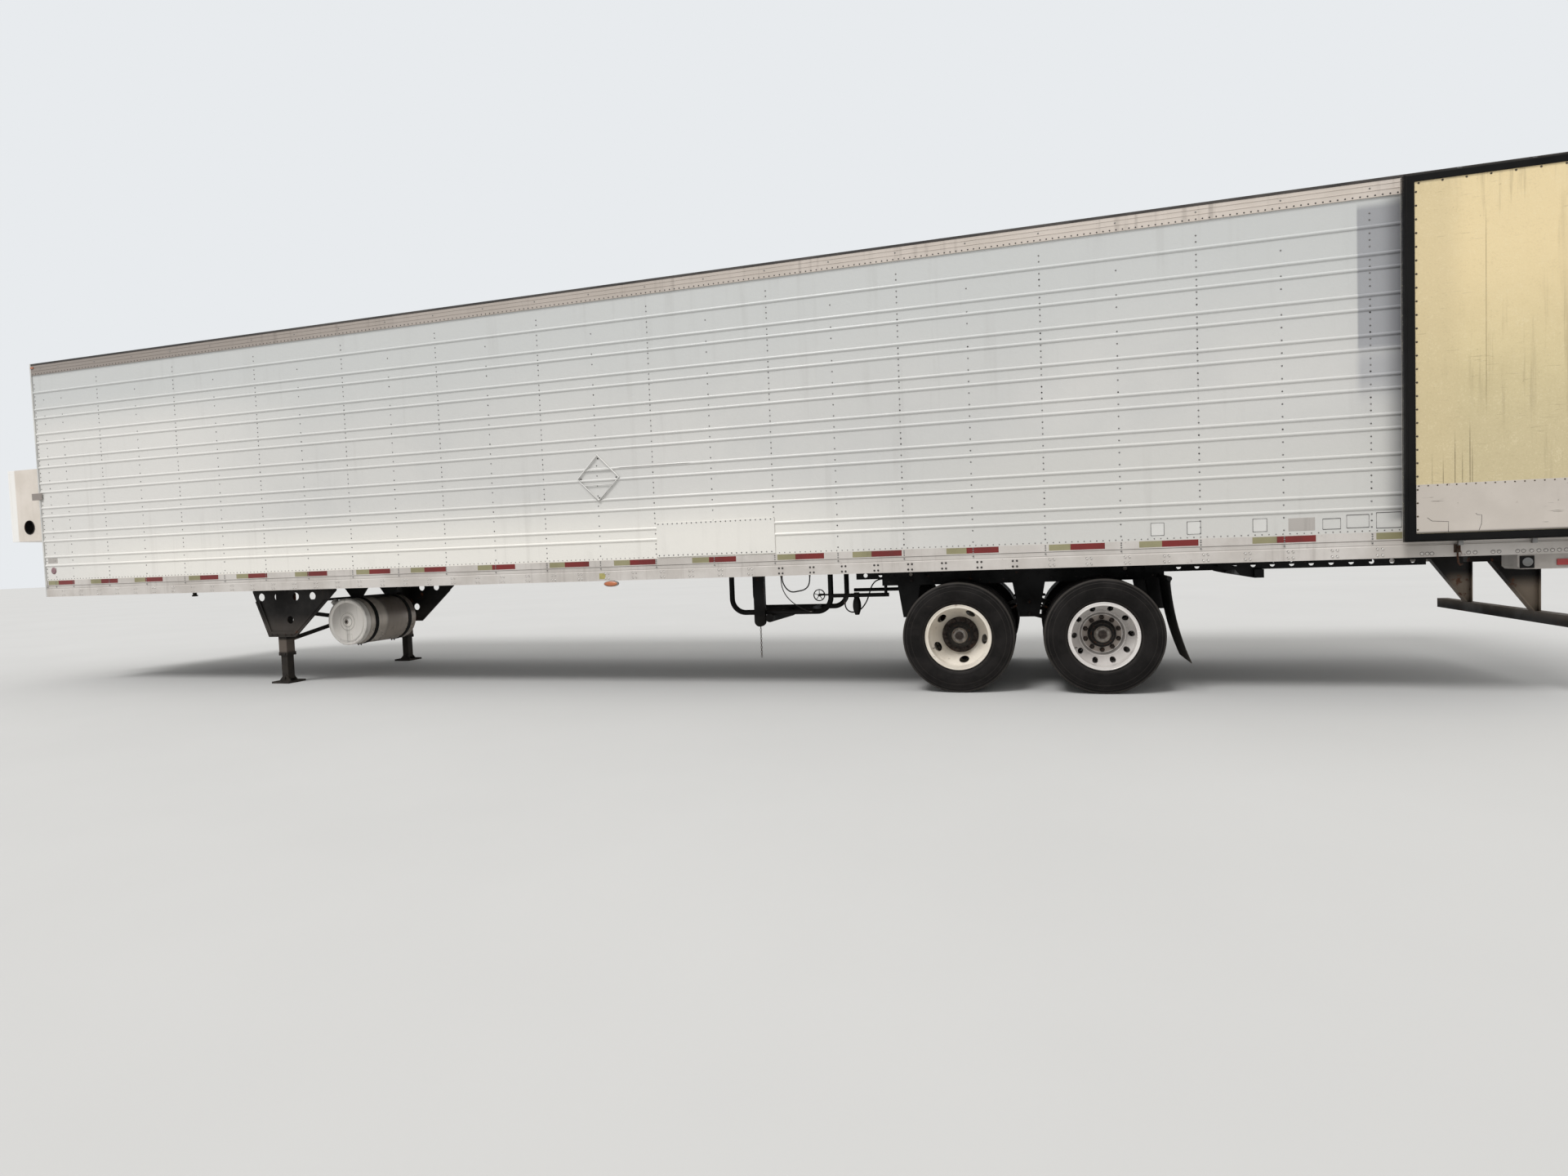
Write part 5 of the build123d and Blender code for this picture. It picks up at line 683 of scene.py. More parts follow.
# painted sky reflection lightens the door's inner skin towards the top; painted shade darkens it towards the
# bottom
DOOR_SKY_SHEEN = Zone((heights(2.85, 6.0, 0.65), INNER_SKIN), (236, 215, 168), 0.95)
DOOR_LOW_SHADE = Zone((heights(0.0, 2.2, 0.5), INNER_SKIN), (199, 185, 147), 0.9)
DOOR_INNER = Zone((stations(14.9, 15.24, 0.1), INNER_SKIN), (208, 191, 150), 0.55)
DOOR_EDGE = Zone((spread(1.3665, 1.4365, 0.0004),), (24, 23, 22))
DOOR_BACK = Zone((spread(1.3, 1.3665, 0.0004),), (208, 206, 200))
# station, highest place, strength of each run of dirt
DOOR_RUNS = tuple(
    Zone((stations(s - 0.0028, s + 0.0028, 0.0016), heights(1.55, top, 0.12), INNER_SKIN), (122, 108, 80),
         strength)
    for s, top, strength in ((15.146, 1.8, 0.8), (15.222, 1.98, 0.85), (15.269, 1.86, 0.75),
                             (15.317, 2.05, 0.85), (15.332, 1.9, 0.75), (15.075, 1.84, 0.4)))

# rails, nose, guard and wheels
# darker towards the nose
TOP_RAIL_DARKER_FORWARD = Zone((Limit(Measure.X, 0.5, 20.0, 7.3),), (147, 138, 131))
# painted shade of the long grooves in the bottom rail's face
RAIL_GROOVE_SHADE = tuple(
    Zone((heights(low, high, 0.0008), spread(1.29, 1.4, 0.001)), (96, 90, 86), strength)
    for low, high, strength in ((1.211, 1.2165, 0.8), (1.247, 1.2515, 0.75), (1.23, 1.2325, 0.35)))
# painted highlight along the rounded front corner of the unit's sides
UNIT_CORNER_HIGHLIGHT = Zone((stations(-0.8, -0.47, 0.012), spread(1.1, 1.4, 0.001)), (244, 243, 240), 0.9)
EXHAUST_HOLE = Zone((radii(EXHAUST_CENTRE, -1.0, 0.086, 0.001), spread(1.0, 1.2395, 0.0002)), (22, 20, 19))
NOSE_BRACKET = Zone((spread(1.2955, 1.5, 0.0002), heights(2.3, 2.5, 0.001)), (142, 134, 128))
# painted sunlight on the lower part of the rear struts
GUARD_LIT = Zone((heights(0.619, 0.86, 0.07), stations(15.95, 16.3, 0.06)), (148, 134, 119), 0.8)
# painted shade in the groove inside the raised ring of the round-holed disc
DISC_GROOVE_SHADE = Zone((radii(REAR_CENTRE, 0.1745, 0.19, 0.002),), (150, 145, 141), 0.75)

SKIN = Finish(
    "aged_white_sheet", "skin_white", (210, 209, 206), (201, 201, 199), (122, 116, 108), 0.42, 0.08,
    coat=0.12, cloud_scale=0.55, streaks=0.1, lines=(COLUMN_START, COLUMN_PITCH), grain_scale=40.0,
    grain=0.0012, zones=SKIN_ZONES)
RAIL = Finish(
    "aged_white_rail", "rail_white", (206, 201, 196), (188, 182, 176), (104, 92, 84), 0.45, 0.1,
    streaks=0.22, streak_scale=16.0, rust=0.08, rust_scale=22.0, grain=0.0006, zones=RAIL_GROOVE_SHADE)
TOP_RAIL = Finish(
    "taupe_rail", "rail_taupe", (216, 206, 197), (202, 192, 182), (110, 101, 94), 0.5, 0.1, streaks=0.35,
    streak_scale=14.0, cloud_scale=0.8, zones=(TOP_RAIL_DARKER_FORWARD,))
ROOF = Finish(
    "dull_roof_sheet", "roof_aluminium", (186, 186, 184), (174, 174, 172), (96, 92, 88), 0.5, 0.08,
    metallic=0.2, cloud_scale=0.6, lines=(COLUMN_START, COLUMN_PITCH), streaks=0.15, scuffs=0.2, dust=0.12,
    dust_level=0.1, grain=0.0008)
DECK = Finish(
    "scuffed_deck", "floor_aluminium", (158, 158, 158), (126, 126, 126), (62, 58, 54), 0.42, 0.12,
    metallic=0.8, scuffs=0.5, dust=0.4, dust_level=0.1)
NOSE = Finish(
    "aged_white_nose", "nose_white", (212, 211, 206), (192, 192, 190), (112, 106, 98), 0.45, 0.1,
    streaks=0.35, rust=0.05, grain=0.0008, zones=(NOSE_BRACKET,))
BULKHEAD = Finish(
    "scuffed_white_panel", "bulkhead_white", (208, 207, 202), (188, 187, 182), (92, 86, 80), 0.4, 0.1,
    scuffs=0.6)
COUPLING = Finish(
    "cast_coupling", "coupling_metal", (112, 112, 114), (84, 84, 86), (48, 44, 42), 0.5, 0.12, metallic=0.7,
    rust=0.15, grain=0.001)
UNIT = Finish(
    "weathered_unit_panel", "unit_white", (224, 215, 205), (212, 203, 192), (116, 106, 92), 0.4, 0.1,
    coat=0.15, streaks=0.15, scuffs=0.15, grain=0.0008, zones=(UNIT_CORNER_HIGHLIGHT, EXHAUST_HOLE))
GRILLE = Finish(
    "dull_black_louvre", "grille_black", (30, 30, 31), (19, 19, 20), (80, 74, 66), 0.6, 0.12, dust=0.4,
    dust_level=0.1, gloss=0.25)
CHASSIS = Finish(
    "dusty_black_frame", "chassis_black", (18, 17, 17), (11, 11, 11), (44, 39, 34), 0.6, 0.15, gloss=0.2,
    dust=0.22, dust_level=1.0, rust=0.2, grain=0.001)
KINGPIN = Finish(
    "greased_steel", "kingpin_steel", (70, 66, 62), (42, 39, 36), (22, 18, 14), 0.35, 0.12, metallic=0.9,
    scuffs=0.5)
LEG = Finish(
    "dirty_leg_grey", "leg_grey", (30, 27, 25), (19, 17, 16), (66, 56, 46), 0.62, 0.12, gloss=0.2,
    dust=0.22, dust_level=0.9, rust=0.18, rust_scale=9.0, streaks=0.3, grain=0.0014,
    zones=(LEG_PALE, WING_PALE))
TANK = Finish(
    "weathered_tank", "tank_metal", (176, 166, 157), (146, 136, 127), (78, 70, 62), 0.36, 0.1,
    metallic=0.35, streaks=0.35, streak_scale=22.0, dust=0.2, dust_level=0.5,
    zones=(TANK_NEAR_LIGHT, TANK_LOW_LIGHT, TANK_TOP_SHADE, TANK_END, *TANK_PLUG_AND_RING_SHADE))
STRAP = Finish(
    "black_strap", "strap_black", (26, 25, 24), (17, 16, 15), (70, 62, 54), 0.6, 0.1, rust=0.2, gloss=0.2)
REAR_FRAME = Finish(
    "galvanised_frame", "rear_frame_steel", (150, 148, 146), (124, 122, 120), (72, 60, 52), 0.45, 0.12,
    metallic=0.55, streaks=0.5, rust=0.2, scuffs=0.4)
LAMP_BOX = Finish(
    "dull_grey_box", "lamp_box_grey", (176, 170, 164), (148, 142, 136), (84, 72, 62), 0.5, 0.1,
    metallic=0.2, rust=0.15, scuffs=0.4)
RED_LENS = Finish(
    "red_lens", "lamp_red", (168, 22, 18), (126, 12, 12), (60, 20, 16), 0.18, 0.05, coat=0.6,
    grain_scale=700.0, grain=0.0008)
AMBER_LENS = Finish(
    "amber_lens", "lamp_amber", (196, 118, 72), (168, 88, 48), (90, 50, 26), 0.2, 0.05, coat=0.6,
    grain_scale=700.0, grain=0.0008)
RUBBER = Finish(
    "dull_rubber", "rubber_black", (24, 23, 23), (15, 15, 15), (84, 76, 66), 0.75, 0.1, dust=0.35,
    dust_level=0.9, grain=0.0012, gloss=0.2)
# the dark base colour is painted shadow of the body on the guard's pale metal; its lit zone is painted
# sunlight
GUARD = Finish(
    "rusty_guard_painted_shadow", "guard_black", (24, 21, 19), (15, 13, 12), (72, 60, 48), 0.6, 0.12, rust=0.22,
    gloss=0.2, dust=0.3, dust_level=0.9, zones=(GUARD_LIT,))
SPRING = Finish(
    "rusty_spring", "spring_steel", (40, 34, 30), (25, 22, 20), (70, 54, 40), 0.65, 0.12, rust=0.5,
    gloss=0.25, rust_scale=18.0, dust=0.35)
CREAM = Finish(
    "cream_inner_skin", "door_cream", (212, 197, 153), (202, 187, 144), (118, 102, 74), 0.34, 0.1,
    coat=0.25, cloud_scale=1.3, mottle=0.2, mottle_scale=90.0, streaks=0.3, streak_scale=24.0,
    scuffs=0.25, grain_scale=34.0, grain=0.0018,
    zones=(DOOR_SKY_SHEEN, DOOR_LOW_SHADE, DOOR_INNER, DOOR_LINE, *DOOR_RUNS, DOOR_EDGE, DOOR_BACK))
KICK = Finish(
    "scuffed_kick_plate", "door_cream", (201, 193, 184), (192, 184, 175), (74, 64, 56), 0.42, 0.1,
    scuffs=0.7, streaks=0.25, rust=0.1, rust_scale=26.0, zones=(KICK_FOOT,))
GASKET = Finish(
    "black_bulb_seal", "gasket_black", (17, 16, 15), (10, 10, 10), (58, 53, 47), 0.66, 0.1, scuffs=0.2,
    dust=0.08, dust_level=0.2, gloss=0.15)
HARDWARE = Finish(
    "galvanised_hardware", "hardware_steel", (146, 145, 143), (116, 115, 113), (70, 56, 46), 0.42, 0.12,
    metallic=0.75, rust=0.22)
TYRE_FRONT = tyre_finish("worn_front_tyre", FRONT_AXLE)
TYRE_REAR = tyre_finish("worn_rear_tyre", REAR_AXLE)
WHEEL_WHITE = Finish(
    "dull_white_wheel", "wheel_white", (232, 225, 213), (212, 203, 189), (104, 78, 56), 0.42, 0.1,
    cloud_scale=3.0, rust=0.14, rust_scale=11.0, grain=0.0006, zones=hub_zones(FRONT_AXLE, (62, 48, 39)))
WHEEL_SILVER = Finish(
    "silver_wheel", "wheel_silver", (230, 226, 222), (212, 207, 203), (92, 82, 74), 0.3, 0.08,
    metallic=0.25, cloud_scale=3.0, rust=0.02, grain=0.0004,
    zones=(DISC_GROOVE_SHADE, *hub_zones(REAR_AXLE, (176, 166, 158))))
TAPE_PALE = Finish(
    "olive_tape", "rail_white", (150, 145, 112), (136, 131, 98), (84, 80, 66), 0.4, 0.08, streaks=0.3,
    grain_scale=900.0, grain=0.0005)
TAPE_RED = Finish(
    "red_tape", "rail_white", (120, 27, 24), (102, 22, 20), (78, 40, 34), 0.4, 0.08, streaks=0.3,
    grain_scale=900.0, grain=0.0005)
# darker than the skin, for dirt and for painted shade round the heads
RIVET = Finish(
    "dirty_shaded_rivet", "skin_white", (132, 131, 129), (104, 103, 101), (92, 86, 80), 0.45, 0.1,
    cloud_scale=30.0)
RAIL_RIVET = Finish(
    "bare_rail_rivet", "rail_white", (216, 212, 207), (190, 185, 179), (84, 76, 70), 0.35, 0.1,
    cloud_scale=40.0, metallic=0.3)
OLIVE_PLATE = Finish(
    "olive_plate", "rail_white", (176, 166, 96), (158, 152, 100), (96, 90, 66), 0.45, 0.1, cloud_scale=24.0)
# dark rivets: stains on the skin, and the painted shadow discs behind the rail rivets
RIVET_DARK = Finish(
    "stained_rivet", "skin_white", (66, 62, 59), (46, 43, 41), (50, 42, 36), 0.6, 0.1, cloud_scale=30.0)
DOOR_RIVET = Finish(
    "brown_rivet", "door_cream", (84, 72, 52), (60, 50, 36), (40, 34, 26), 0.5, 0.1, cloud_scale=30.0)
NUT = Finish(
    "rusty_nut", "wheel_silver", (54, 44, 38), (37, 30, 26), (40, 31, 25), 0.62, 0.12, metallic=0.4,
    cloud_scale=40.0, rust=0.3, rust_scale=60.0)
BOLT = Finish(
    "dark_bolt", "chassis_black", (48, 44, 40), (34, 31, 28), (70, 58, 46), 0.6, 0.12, metallic=0.4,
    cloud_scale=40.0, rust=0.4, rust_scale=60.0)
BLANK_PLATE = Finish(
    "blank_plate", "skin_white", (176, 171, 166), (166, 161, 156), (100, 96, 90), 0.4, 0.08, streaks=0.15,
    streak_scale=26.0)
FRAME_LINE = Finish("plate_outline", "skin_white", (64, 62, 60), (48, 46, 45), (60, 58, 54), 0.5, 0.1)
WHITE_PATCH = Finish(
    "white_patch", "skin_white", (216, 215, 212), (208, 207, 203), (104, 100, 94), 0.38, 0.08, scuffs=0.3)
ROOF_EDGE = Finish("dark_roof_edge", "rail_taupe", (66, 60, 56), (46, 42, 40), (34, 30, 28), 0.6, 0.1)
HOSE = Finish(
    "worn_hose", "rubber_black", (34, 33, 32), (24, 23, 22), (84, 76, 66), 0.55, 0.1, dust=0.3,
    dust_level=0.9, grain_scale=500.0)
CHAIN = Finish(
    "rusty_chain", "chassis_black", (72, 56, 44), (48, 38, 30), (40, 30, 22), 0.65, 0.1, metallic=0.5,
    cloud_scale=60.0, rust=0.6, rust_scale=80.0)
CLEAR_LENS = Finish(
    "clear_lens", "lamp_box_grey", (112, 112, 110), (84, 84, 83), (50, 48, 46), 0.12, 0.05, coat=0.8,
    grain_scale=600.0, grain=0.0008)
FADED_DISC = Finish(
    "faded_disc", "skin_white", (150, 118, 122), (132, 102, 108), (92, 76, 76), 0.5, 0.1, cloud_scale=30.0)
CAP = Finish(
    "worn_hub_cap", "wheel_silver", (132, 126, 120), (98, 92, 86), (60, 46, 36), 0.42, 0.12, metallic=0.6,
    cloud_scale=30.0, rust=0.3, rust_scale=40.0)


def circle(sides: int) -> list[Flat]:
    """Cosine and sine of equal turns all round."""
    return [(math.cos(2.0 * math.pi * k / sides), math.sin(2.0 * math.pi * k / sides)) for k in range(sides)]


def span(middle: float, half: float) -> Flat:
    """Both ends of a length given by its middle and half of it."""
    return (middle - half, middle + half)


def corners(first: Flat, last: Flat) -> list[Flat]:
    """Corners of an upright oblong, all round from its first corner."""
    return [first, (last[0], first[1]), last, (first[0], last[1])]


def about(middle: Flat, half: Flat) -> list[Flat]:
    """Corners of an upright oblong given by its middle and half its width and height."""
    return corners((middle[0] - half[0], middle[1] - half[1]), (middle[0] + half[0], middle[1] + half[1]))


def band_faces(rings: int, sides: int, closed: bool = False, loops: bool = True) -> list[tuple[int, ...]]:
    """Four-cornered faces between rings of points.

    Args:
        rings: how many rings there are, one after another.
        sides: how many points each has.
        closed: whether the last ring joins the first.
        loops: whether each ring comes back to its start.

    Returns:
        The faces, by corner number.
    """
    return [(k * sides + i, k * sides + (i + 1) % sides,
             (k + 1) % rings * sides + (i + 1) % sides, (k + 1) % rings * sides + i)
            for k in range(rings if closed else rings - 1) for i in range(sides if loops else sides - 1)]


class MeshMaker:
    """Collects closed forms in the row frame and turns them into one mesh."""

    def __init__(self) -> None:
        """Starts with nothing."""
        self.points: list[Point] = []
        self.faces: list[tuple[int, ...]] = []
        self.smooth: list[bool] = []

    def add(self, points: Iterable[Point], faces: Iterable[Sequence[int]], smooth: bool = False) -> None:
        """Adds a form.

        Args:
            points: its corners in the row frame.
            faces: its faces, by corner number within the form.
            smooth: whether its faces are shaded as one round surface.
        """
        base = len(self.points)
        self.points.extend(points)
        for face in faces:
            self.faces.append(tuple(base + corner for corner in face))
            self.smooth.append(smooth)

    def rings(self, points: Sequence[Point], count: int, smooth: bool = False) -> None:
        """Adds rings of points joined to one form with both ends shut.

        Args:
            points: the points of every ring, in the same order round each.
            count: how many rings there are.
            smooth: whether its faces are shaded as one round surface.
        """
        sides = len(points) // count
        ends = (tuple(range(sides)), tuple(range(len(points) - sides, len(points))))
        self.add(points, [*band_faces(count, sides), *ends], smooth)

    def prism(self, outline: Sequence[Flat], axis: Axis, low: float, high: float) -> None:
        """Adds a straight form with the same outline all along.

        Args:
            outline: its corners across the axis.
            axis: the axis that it runs along.
            low: where it starts.
            high: where it ends.
        """
        self.rings([axis.place(end, u, v) for end in (low, high) for u, v in outline], 2)

    def plate(self, side: Side, x: Flat, depth: Flat, z: Flat, edge: float = 0.0) -> None:
        """Adds an upright plate, with its outer edges taken off towards both Y faces.

        Args:
            side: the side of the trailer that it is on.
            x: its lowest and highest X.
            depth: distance of its two faces from the middle of the trailer.
            z: its lowest and highest place.
            edge: how much is taken off.
        """
        near, far = sorted(side.value * y for y in depth)
        rings = ((near, edge), (near + edge, 0.0), (far - edge, 0.0), (far, edge))
        if edge <= 0.0:
            rings = ((near, 0.0), (far, 0.0))
        points = [(u, y, v) for y, cut in rings
                  for u, v in corners((x[0] + cut, z[0] + cut), (x[1] - cut, z[1] - cut))]
        self.rings(points, len(rings))

    def rim(self, outline: Iterable[Flat], y: float, radius: float, sides: int = 4) -> None:
        """Adds a thin upright frame of round bar, given by the X and height of its corners."""
        self.tube([(x, y, z) for x, z in outline], radius, sides, True)

    def lathe(self, profile: Sequence[Flat], axis: Axis, centre: Flat, sides: int,
              ring: bool = False) -> None:
        """Adds a turned form.

        Args:
            profile: its section as distance from the centre line and place along the axis.
            axis: the axis that it turns about.
            centre: where the centre line crosses the other two axes.
            sides: how many flats stand for the round.
            ring: whether the section closes on itself, as on a tyre.
        """
        count = len(profile)
        points = [axis.place(along, centre[0] + radius * c, centre[1] + radius * s)
                  for c, s in circle(sides) for radius, along in profile]
        faces = band_faces(sides, count, True, ring)
        if not ring:
            faces += [tuple(range(end, sides * count, count)) for end in (0, count - 1)]
        self.add(points, faces, True)

    def turned(self, profile: Iterable[Flat], side: Side, centre: Flat, sides: int,
               ring: bool = False) -> None:
        """Adds a form turned about a crosswise line, on one side of the trailer.

        Args:
            profile: its section as radius and distance from the middle of the trailer.
            side: the side that it is on.
            centre: X and height of the line.
            sides: how many flats stand for the round.
            ring: whether the section closes on itself.
        """
        self.lathe([(r, side.value * y) for r, y in profile], Axis.Y, centre, sides, ring)

    def rivet(self, x: float, z: float, face: float, side: Side, radius: float = 0.0075) -> None:
        """Adds a rivet head on a face that looks to the side.

        Args:
            x: row X of its middle.
            z: height of its middle.
            face: distance of the face from the middle of the trailer.
            side: the side that it looks to.
            radius: half its width.
        """
        steps = ((radius, 0.0), (radius * 0.86, radius * 0.3), (radius * 0.48, radius * 0.5))
        points = [(x + r * c, side.value * (face + h), z + r * s) for r, h in steps for c, s in circle(6)]
        self.add(points, [*band_faces(3, 6), tuple(range(12, 18))], True)

    def nut(self, place: Point, axis: Axis, sign: float, radius: float, height: float) -> None:
        """Adds a hexagon nut with the end of its stud.

        Args:
            place: the middle of its seat.
            axis: the axis that it stands along.
            sign: which way it stands.
            radius: half its width over the corners.
            height: its height without the stud.
        """
        along = place[axis.value]
        across, up = (place[k] for k in range(3) if k != axis.value)
        # radius, height
        hexagon = ((radius, 0.0), (radius, height * 0.82), (radius * 0.86, height))
        stud = ((radius * 0.52, height * 0.9), (radius * 0.52, height * 1.42), (radius * 0.4, height * 1.55))
        for steps, sides in ((hexagon, 6), (stud, 8)):
            self.rings([axis.place(along + sign * h, across + r * c, up + r * s)
                        for r, h in steps for c, s in circle(sides)], len(steps))

    def side_nut(self, side: Side, place: Point, radius: float, height: float, inward: bool = False) -> None:
        """Adds a nut on a face that looks to the side.

        Args:
            side: the side of the trailer that it is on.
            place: the middle of its seat, with Y as the distance from the middle of the trailer.
            radius: half its width over the corners.
            height: its height without the stud.
            inward: whether it stands towards the middle.
        """
        seat = (place[0], side.value * place[1], place[2])
        self.nut(seat, Axis.Y, -side.value if inward else side.value, radius, height)

    def tube(self, path: Sequence[Point], radius: float, sides: int = 8, closed: bool = False) -> None:
        """Adds a round tube along a path.

        Args:
            path: the points of its centre line.
            radius: half its thickness.
            sides: how many flats stand for the round.
            closed: whether the path comes back to its start.
        """
        line = [Vector(point) for point in path]
        count = len(line)
        side = Vector((0.0, 0.0, 1.0))
        points: list[Point] = []
        for k, here in enumerate(line):
            before = line[k - 1] if k > 0 or closed else here
            after = line[(k + 1) % count] if k < count - 1 or closed else here
            ahead = (after - before).normalized()
            side = side - ahead * side.dot(ahead)
            if side.length < 1e-4:
                side = Vector((0.0, 1.0, 0.0)) - ahead * ahead.y
            side.normalize()
            other = ahead.cross(side)
            points += [tuple(here + radius * (c * side + s * other)) for c, s in circle(sides)]
        if closed:
            self.add(points, band_faces(count, sides, True), True)
        else:
            self.rings(points, count, True)

    def mesh(self, name: str) -> bpy.types.Object:
        """Makes the object.

        Args:
            name: its name.

        Returns:
            The new object, in the scene.
        """
        data = bpy.data.meshes.new(name)
        data.from_pydata(self.points, [], self.faces)
        data.polygons.foreach_set("use_smooth", self.smooth)
        shape = bmesh.new()
        shape.from_mesh(data)
        bmesh.ops.recalc_face_normals(shape, faces=shape.faces)
        shape.to_mesh(data)
        shape.free()
        made = bpy.data.objects.new(name, data)
        bpy.context.scene.collection.objects.link(made)
        return made


class Workshop:
    """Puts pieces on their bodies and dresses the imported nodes."""

    def __init__(self, nodes: Mapping[str, bpy.types.Object]) -> None:
        """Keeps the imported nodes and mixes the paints."""
        self.nodes = nodes
        self.painter = Painter()

    def place(self, name: str, maker: MeshMaker, finish: Finish, body: str = "trailer",
              stands_for: Sequence[str] = (), round_angle: float = 0.0) -> None:
        """Makes a piece from what a maker has collected.

        Args:
            name: the piece's name.
            maker: its forms.
            finish: its surface.
            body: the body that it rides on.
            stands_for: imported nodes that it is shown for.
            round_angle: where above zero, edges sharper than this many degrees stay sharp.
        """
        piece = maker.mesh(name)
        if round_angle > 0.0:
            piece.data.set_sharp_from_angle(angle=math.radians(round_angle))
        piece.data.materials.append(self.painter.material(finish))
        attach(piece, body)
        if stands_for:
            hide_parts(*stands_for)
        log.info("%s on %s: %d faces", name, body, len(piece.data.polygons))

    def dress(self, finish: Finish, *names: str) -> None:
        """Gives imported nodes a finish.

        Args:
            finish: the look of their surface.
            names: the nodes.
        """
        for name in names:
            data = self.nodes[name].data
            data.materials.clear()
            data.materials.append(self.painter.material(finish))
            log.info("%s has %s", name, finish.name)


@dataclass
class SideSheets:
    """Riveted skins with their patches and blank plates."""

    shop: Workshop
    dense_pitch: float = 0.0508
    sparse_pitch: float = 0.1016
    columns_seen: int = 12
    row_rise: float = 0.014
    rail_row_rise: float = 0.013
    row_start: float = 0.08
    row_spare: float = 0.18
    row_radii: Flat = (0.0068, 0.006)
    first_rise: float = 0.045
    seed: int = 7
    top_rib: float = 2.586
    first_pair: float = 0.451
    pair_pitch: float = 0.3112
    pair_half: float = 0.055
    pairs: int = 7
    rib_gap: float = 0.02
    stain_height: float = 2.45
    stain_reach: float = 1.4
    # least share of stained rivets, and its growth to the stain's middle
    stain_share: Flat = (0.03, 0.16)
    rail_rows: tuple[float, ...] = (TOP_RAIL_LOW + 0.07, 1.305, 1.287, 1.267, 1.234)
    bedding: float = 0.001
    plate_depth: float = 0.0012
    patches: tuple[Flat, ...] = ((13.11, 13.212), (13.39, 13.492), (13.882, 13.984))
    patch_rise: Flat = (1.358, 1.462)
    repair: Flat = (8.57, 9.795)
    repair_rise: Flat = (1.327, 1.668)
    repair_depth: float = 0.0105
    repair_rivets: int = 24
    repair_start: float = 8.59
    repair_rows: Flat = (1.655, 1.345)
    holder: Flat = (7.952, 2.15)
    holder_half: float = 0.232
    holder_depth: float = 0.012
    holder_bar: float = 0.0085
    cross_bar: float = 0.0045
    cross_rises: Flat = (-0.3, 0.34)
    screw_inset: float = 0.034

    def ribs(self) -> list[float]:
        """Heights of the pressed ribs."""
        middles = [self.first_pair + self.pair_pitch * pair for pair in range(self.pairs)]
        edges = [middle + rise for middle in middles for rise in (-self.pair_half, self.pair_half)]
        return [RAIL_BOTTOM + rise for rise in (self.top_rib, *edges)]

    def columns(self) -> list[Flat]:
        """Station and rivet pitch of every column."""
        listed = [(LAST_COLUMN - COLUMN_PITCH * k, self.dense_pitch) for k in range(self.columns_seen)]
        listed += [(station - COLUMN_PITCH / 2.0, self.sparse_pitch) for station, _ in listed]
        listed += [(15.342, self.sparse_pitch), (0.225, self.sparse_pitch), (0.072, self.dense_pitch)]
        return [(station, pitch) for station, pitch in listed if station > 0.03]

    def rivets(self, side: Side) -> None:
        """Rivets of one skin: columns, and rows under the top rail and over the bottom rail.

        Args:
            side: the skin's side.
        """
        dice = random.Random(self.seed + side.value)
        clean, stained = MeshMaker(), MeshMaker()
        ribs = self.ribs()
        least, more = self.stain_share
        for station, pitch in self.columns():
            for k in range(int((TOP_RAIL_LOW - RAIL_TOP - 0.06) / pitch)):
                z = RAIL_TOP + self.first_rise + k * pitch
                if min(abs(z - rib) for rib in ribs) < self.rib_gap:
                    continue
                middle = 1.0 - abs(z - self.stain_height) / self.stain_reach
                target = stained if dice.random() < least + more * max(middle, 0.0) else clean
                target.rivet(at(station), z, SKIN_Y, side)
            for z in self.rail_rows:
                clean.rivet(at(station), z, HALF_WIDTH, side)
        for k in range(int((BODY_LENGTH - self.row_spare) / self.dense_pitch)):
            x = at(self.row_start + k * self.dense_pitch)
            stained.rivet(x, TOP_RAIL_LOW + self.rail_row_rise, HALF_WIDTH, side, self.row_radii[0])
            clean.rivet(x, RAIL_TOP + self.row_rise, SKIN_Y, side, self.row_radii[1])
        self.shop.place("skin_rivets_" + side.word, clean, RIVET)
        self.shop.place("stained_rivets_" + side.word, stained, RIVET_DARK)

    def sheet(self, maker: MeshMaker, ends: Flat, rise: Flat, depth: float, edge: float) -> None:
        """Adds a plate that lies on the left skin.

        Args:
            maker: where the plate goes.
            ends: its first and last station.
            rise: its lowest and highest place.
            depth: how far it stands off the skin.
            edge: how much is taken off its edges.
        """
        first, last = ends
        maker.plate(Side.LEFT, (at(last), at(first)), (SKIN_Y - self.bedding, SKIN_Y + depth), rise, edge)

    def plates(self) -> None:
        """Blank patches and plates low on the left skin."""
        white, edges, grey, lines = MeshMaker(), MeshMaker(), MeshMaker(), MeshMaker()
        low, high = self.patch_rise
        for s0, s1 in self.patches:
            self.sheet(white, (s0, s1), self.patch_rise, self.plate_depth, 0.001)
            edges.rim(corners((at(s0), low), (at(s1), high)), SKIN_Y + 0.0008, 0.0027)
        # first and last station, low and high height
        for s0, s1, z0, z1 in ((14.14, 14.33, 1.352, 1.456), (0.095, 0.262, 1.535, 1.605)):
            self.sheet(grey, (s0, s1), (z0, z1), self.plate_depth, 0.001)
        for s0, s1, z0, z1 in ((14.385, 14.51, 1.356, 1.44), (14.552, 14.706, 1.36, 1.462),
                               (14.757, 14.927, 1.35, 1.472)):
            lines.rim(corners((at(s0), z0), (at(s1), z1)), SKIN_Y, 0.0029)
        self.shop.place("white_patches", white, WHITE_PATCH)
        self.shop.place("patch_edges", edges, FRAME_LINE)
        self.shop.place("blank_plates", grey, BLANK_PLATE)
        self.shop.place("plate_outlines", lines, FRAME_LINE)

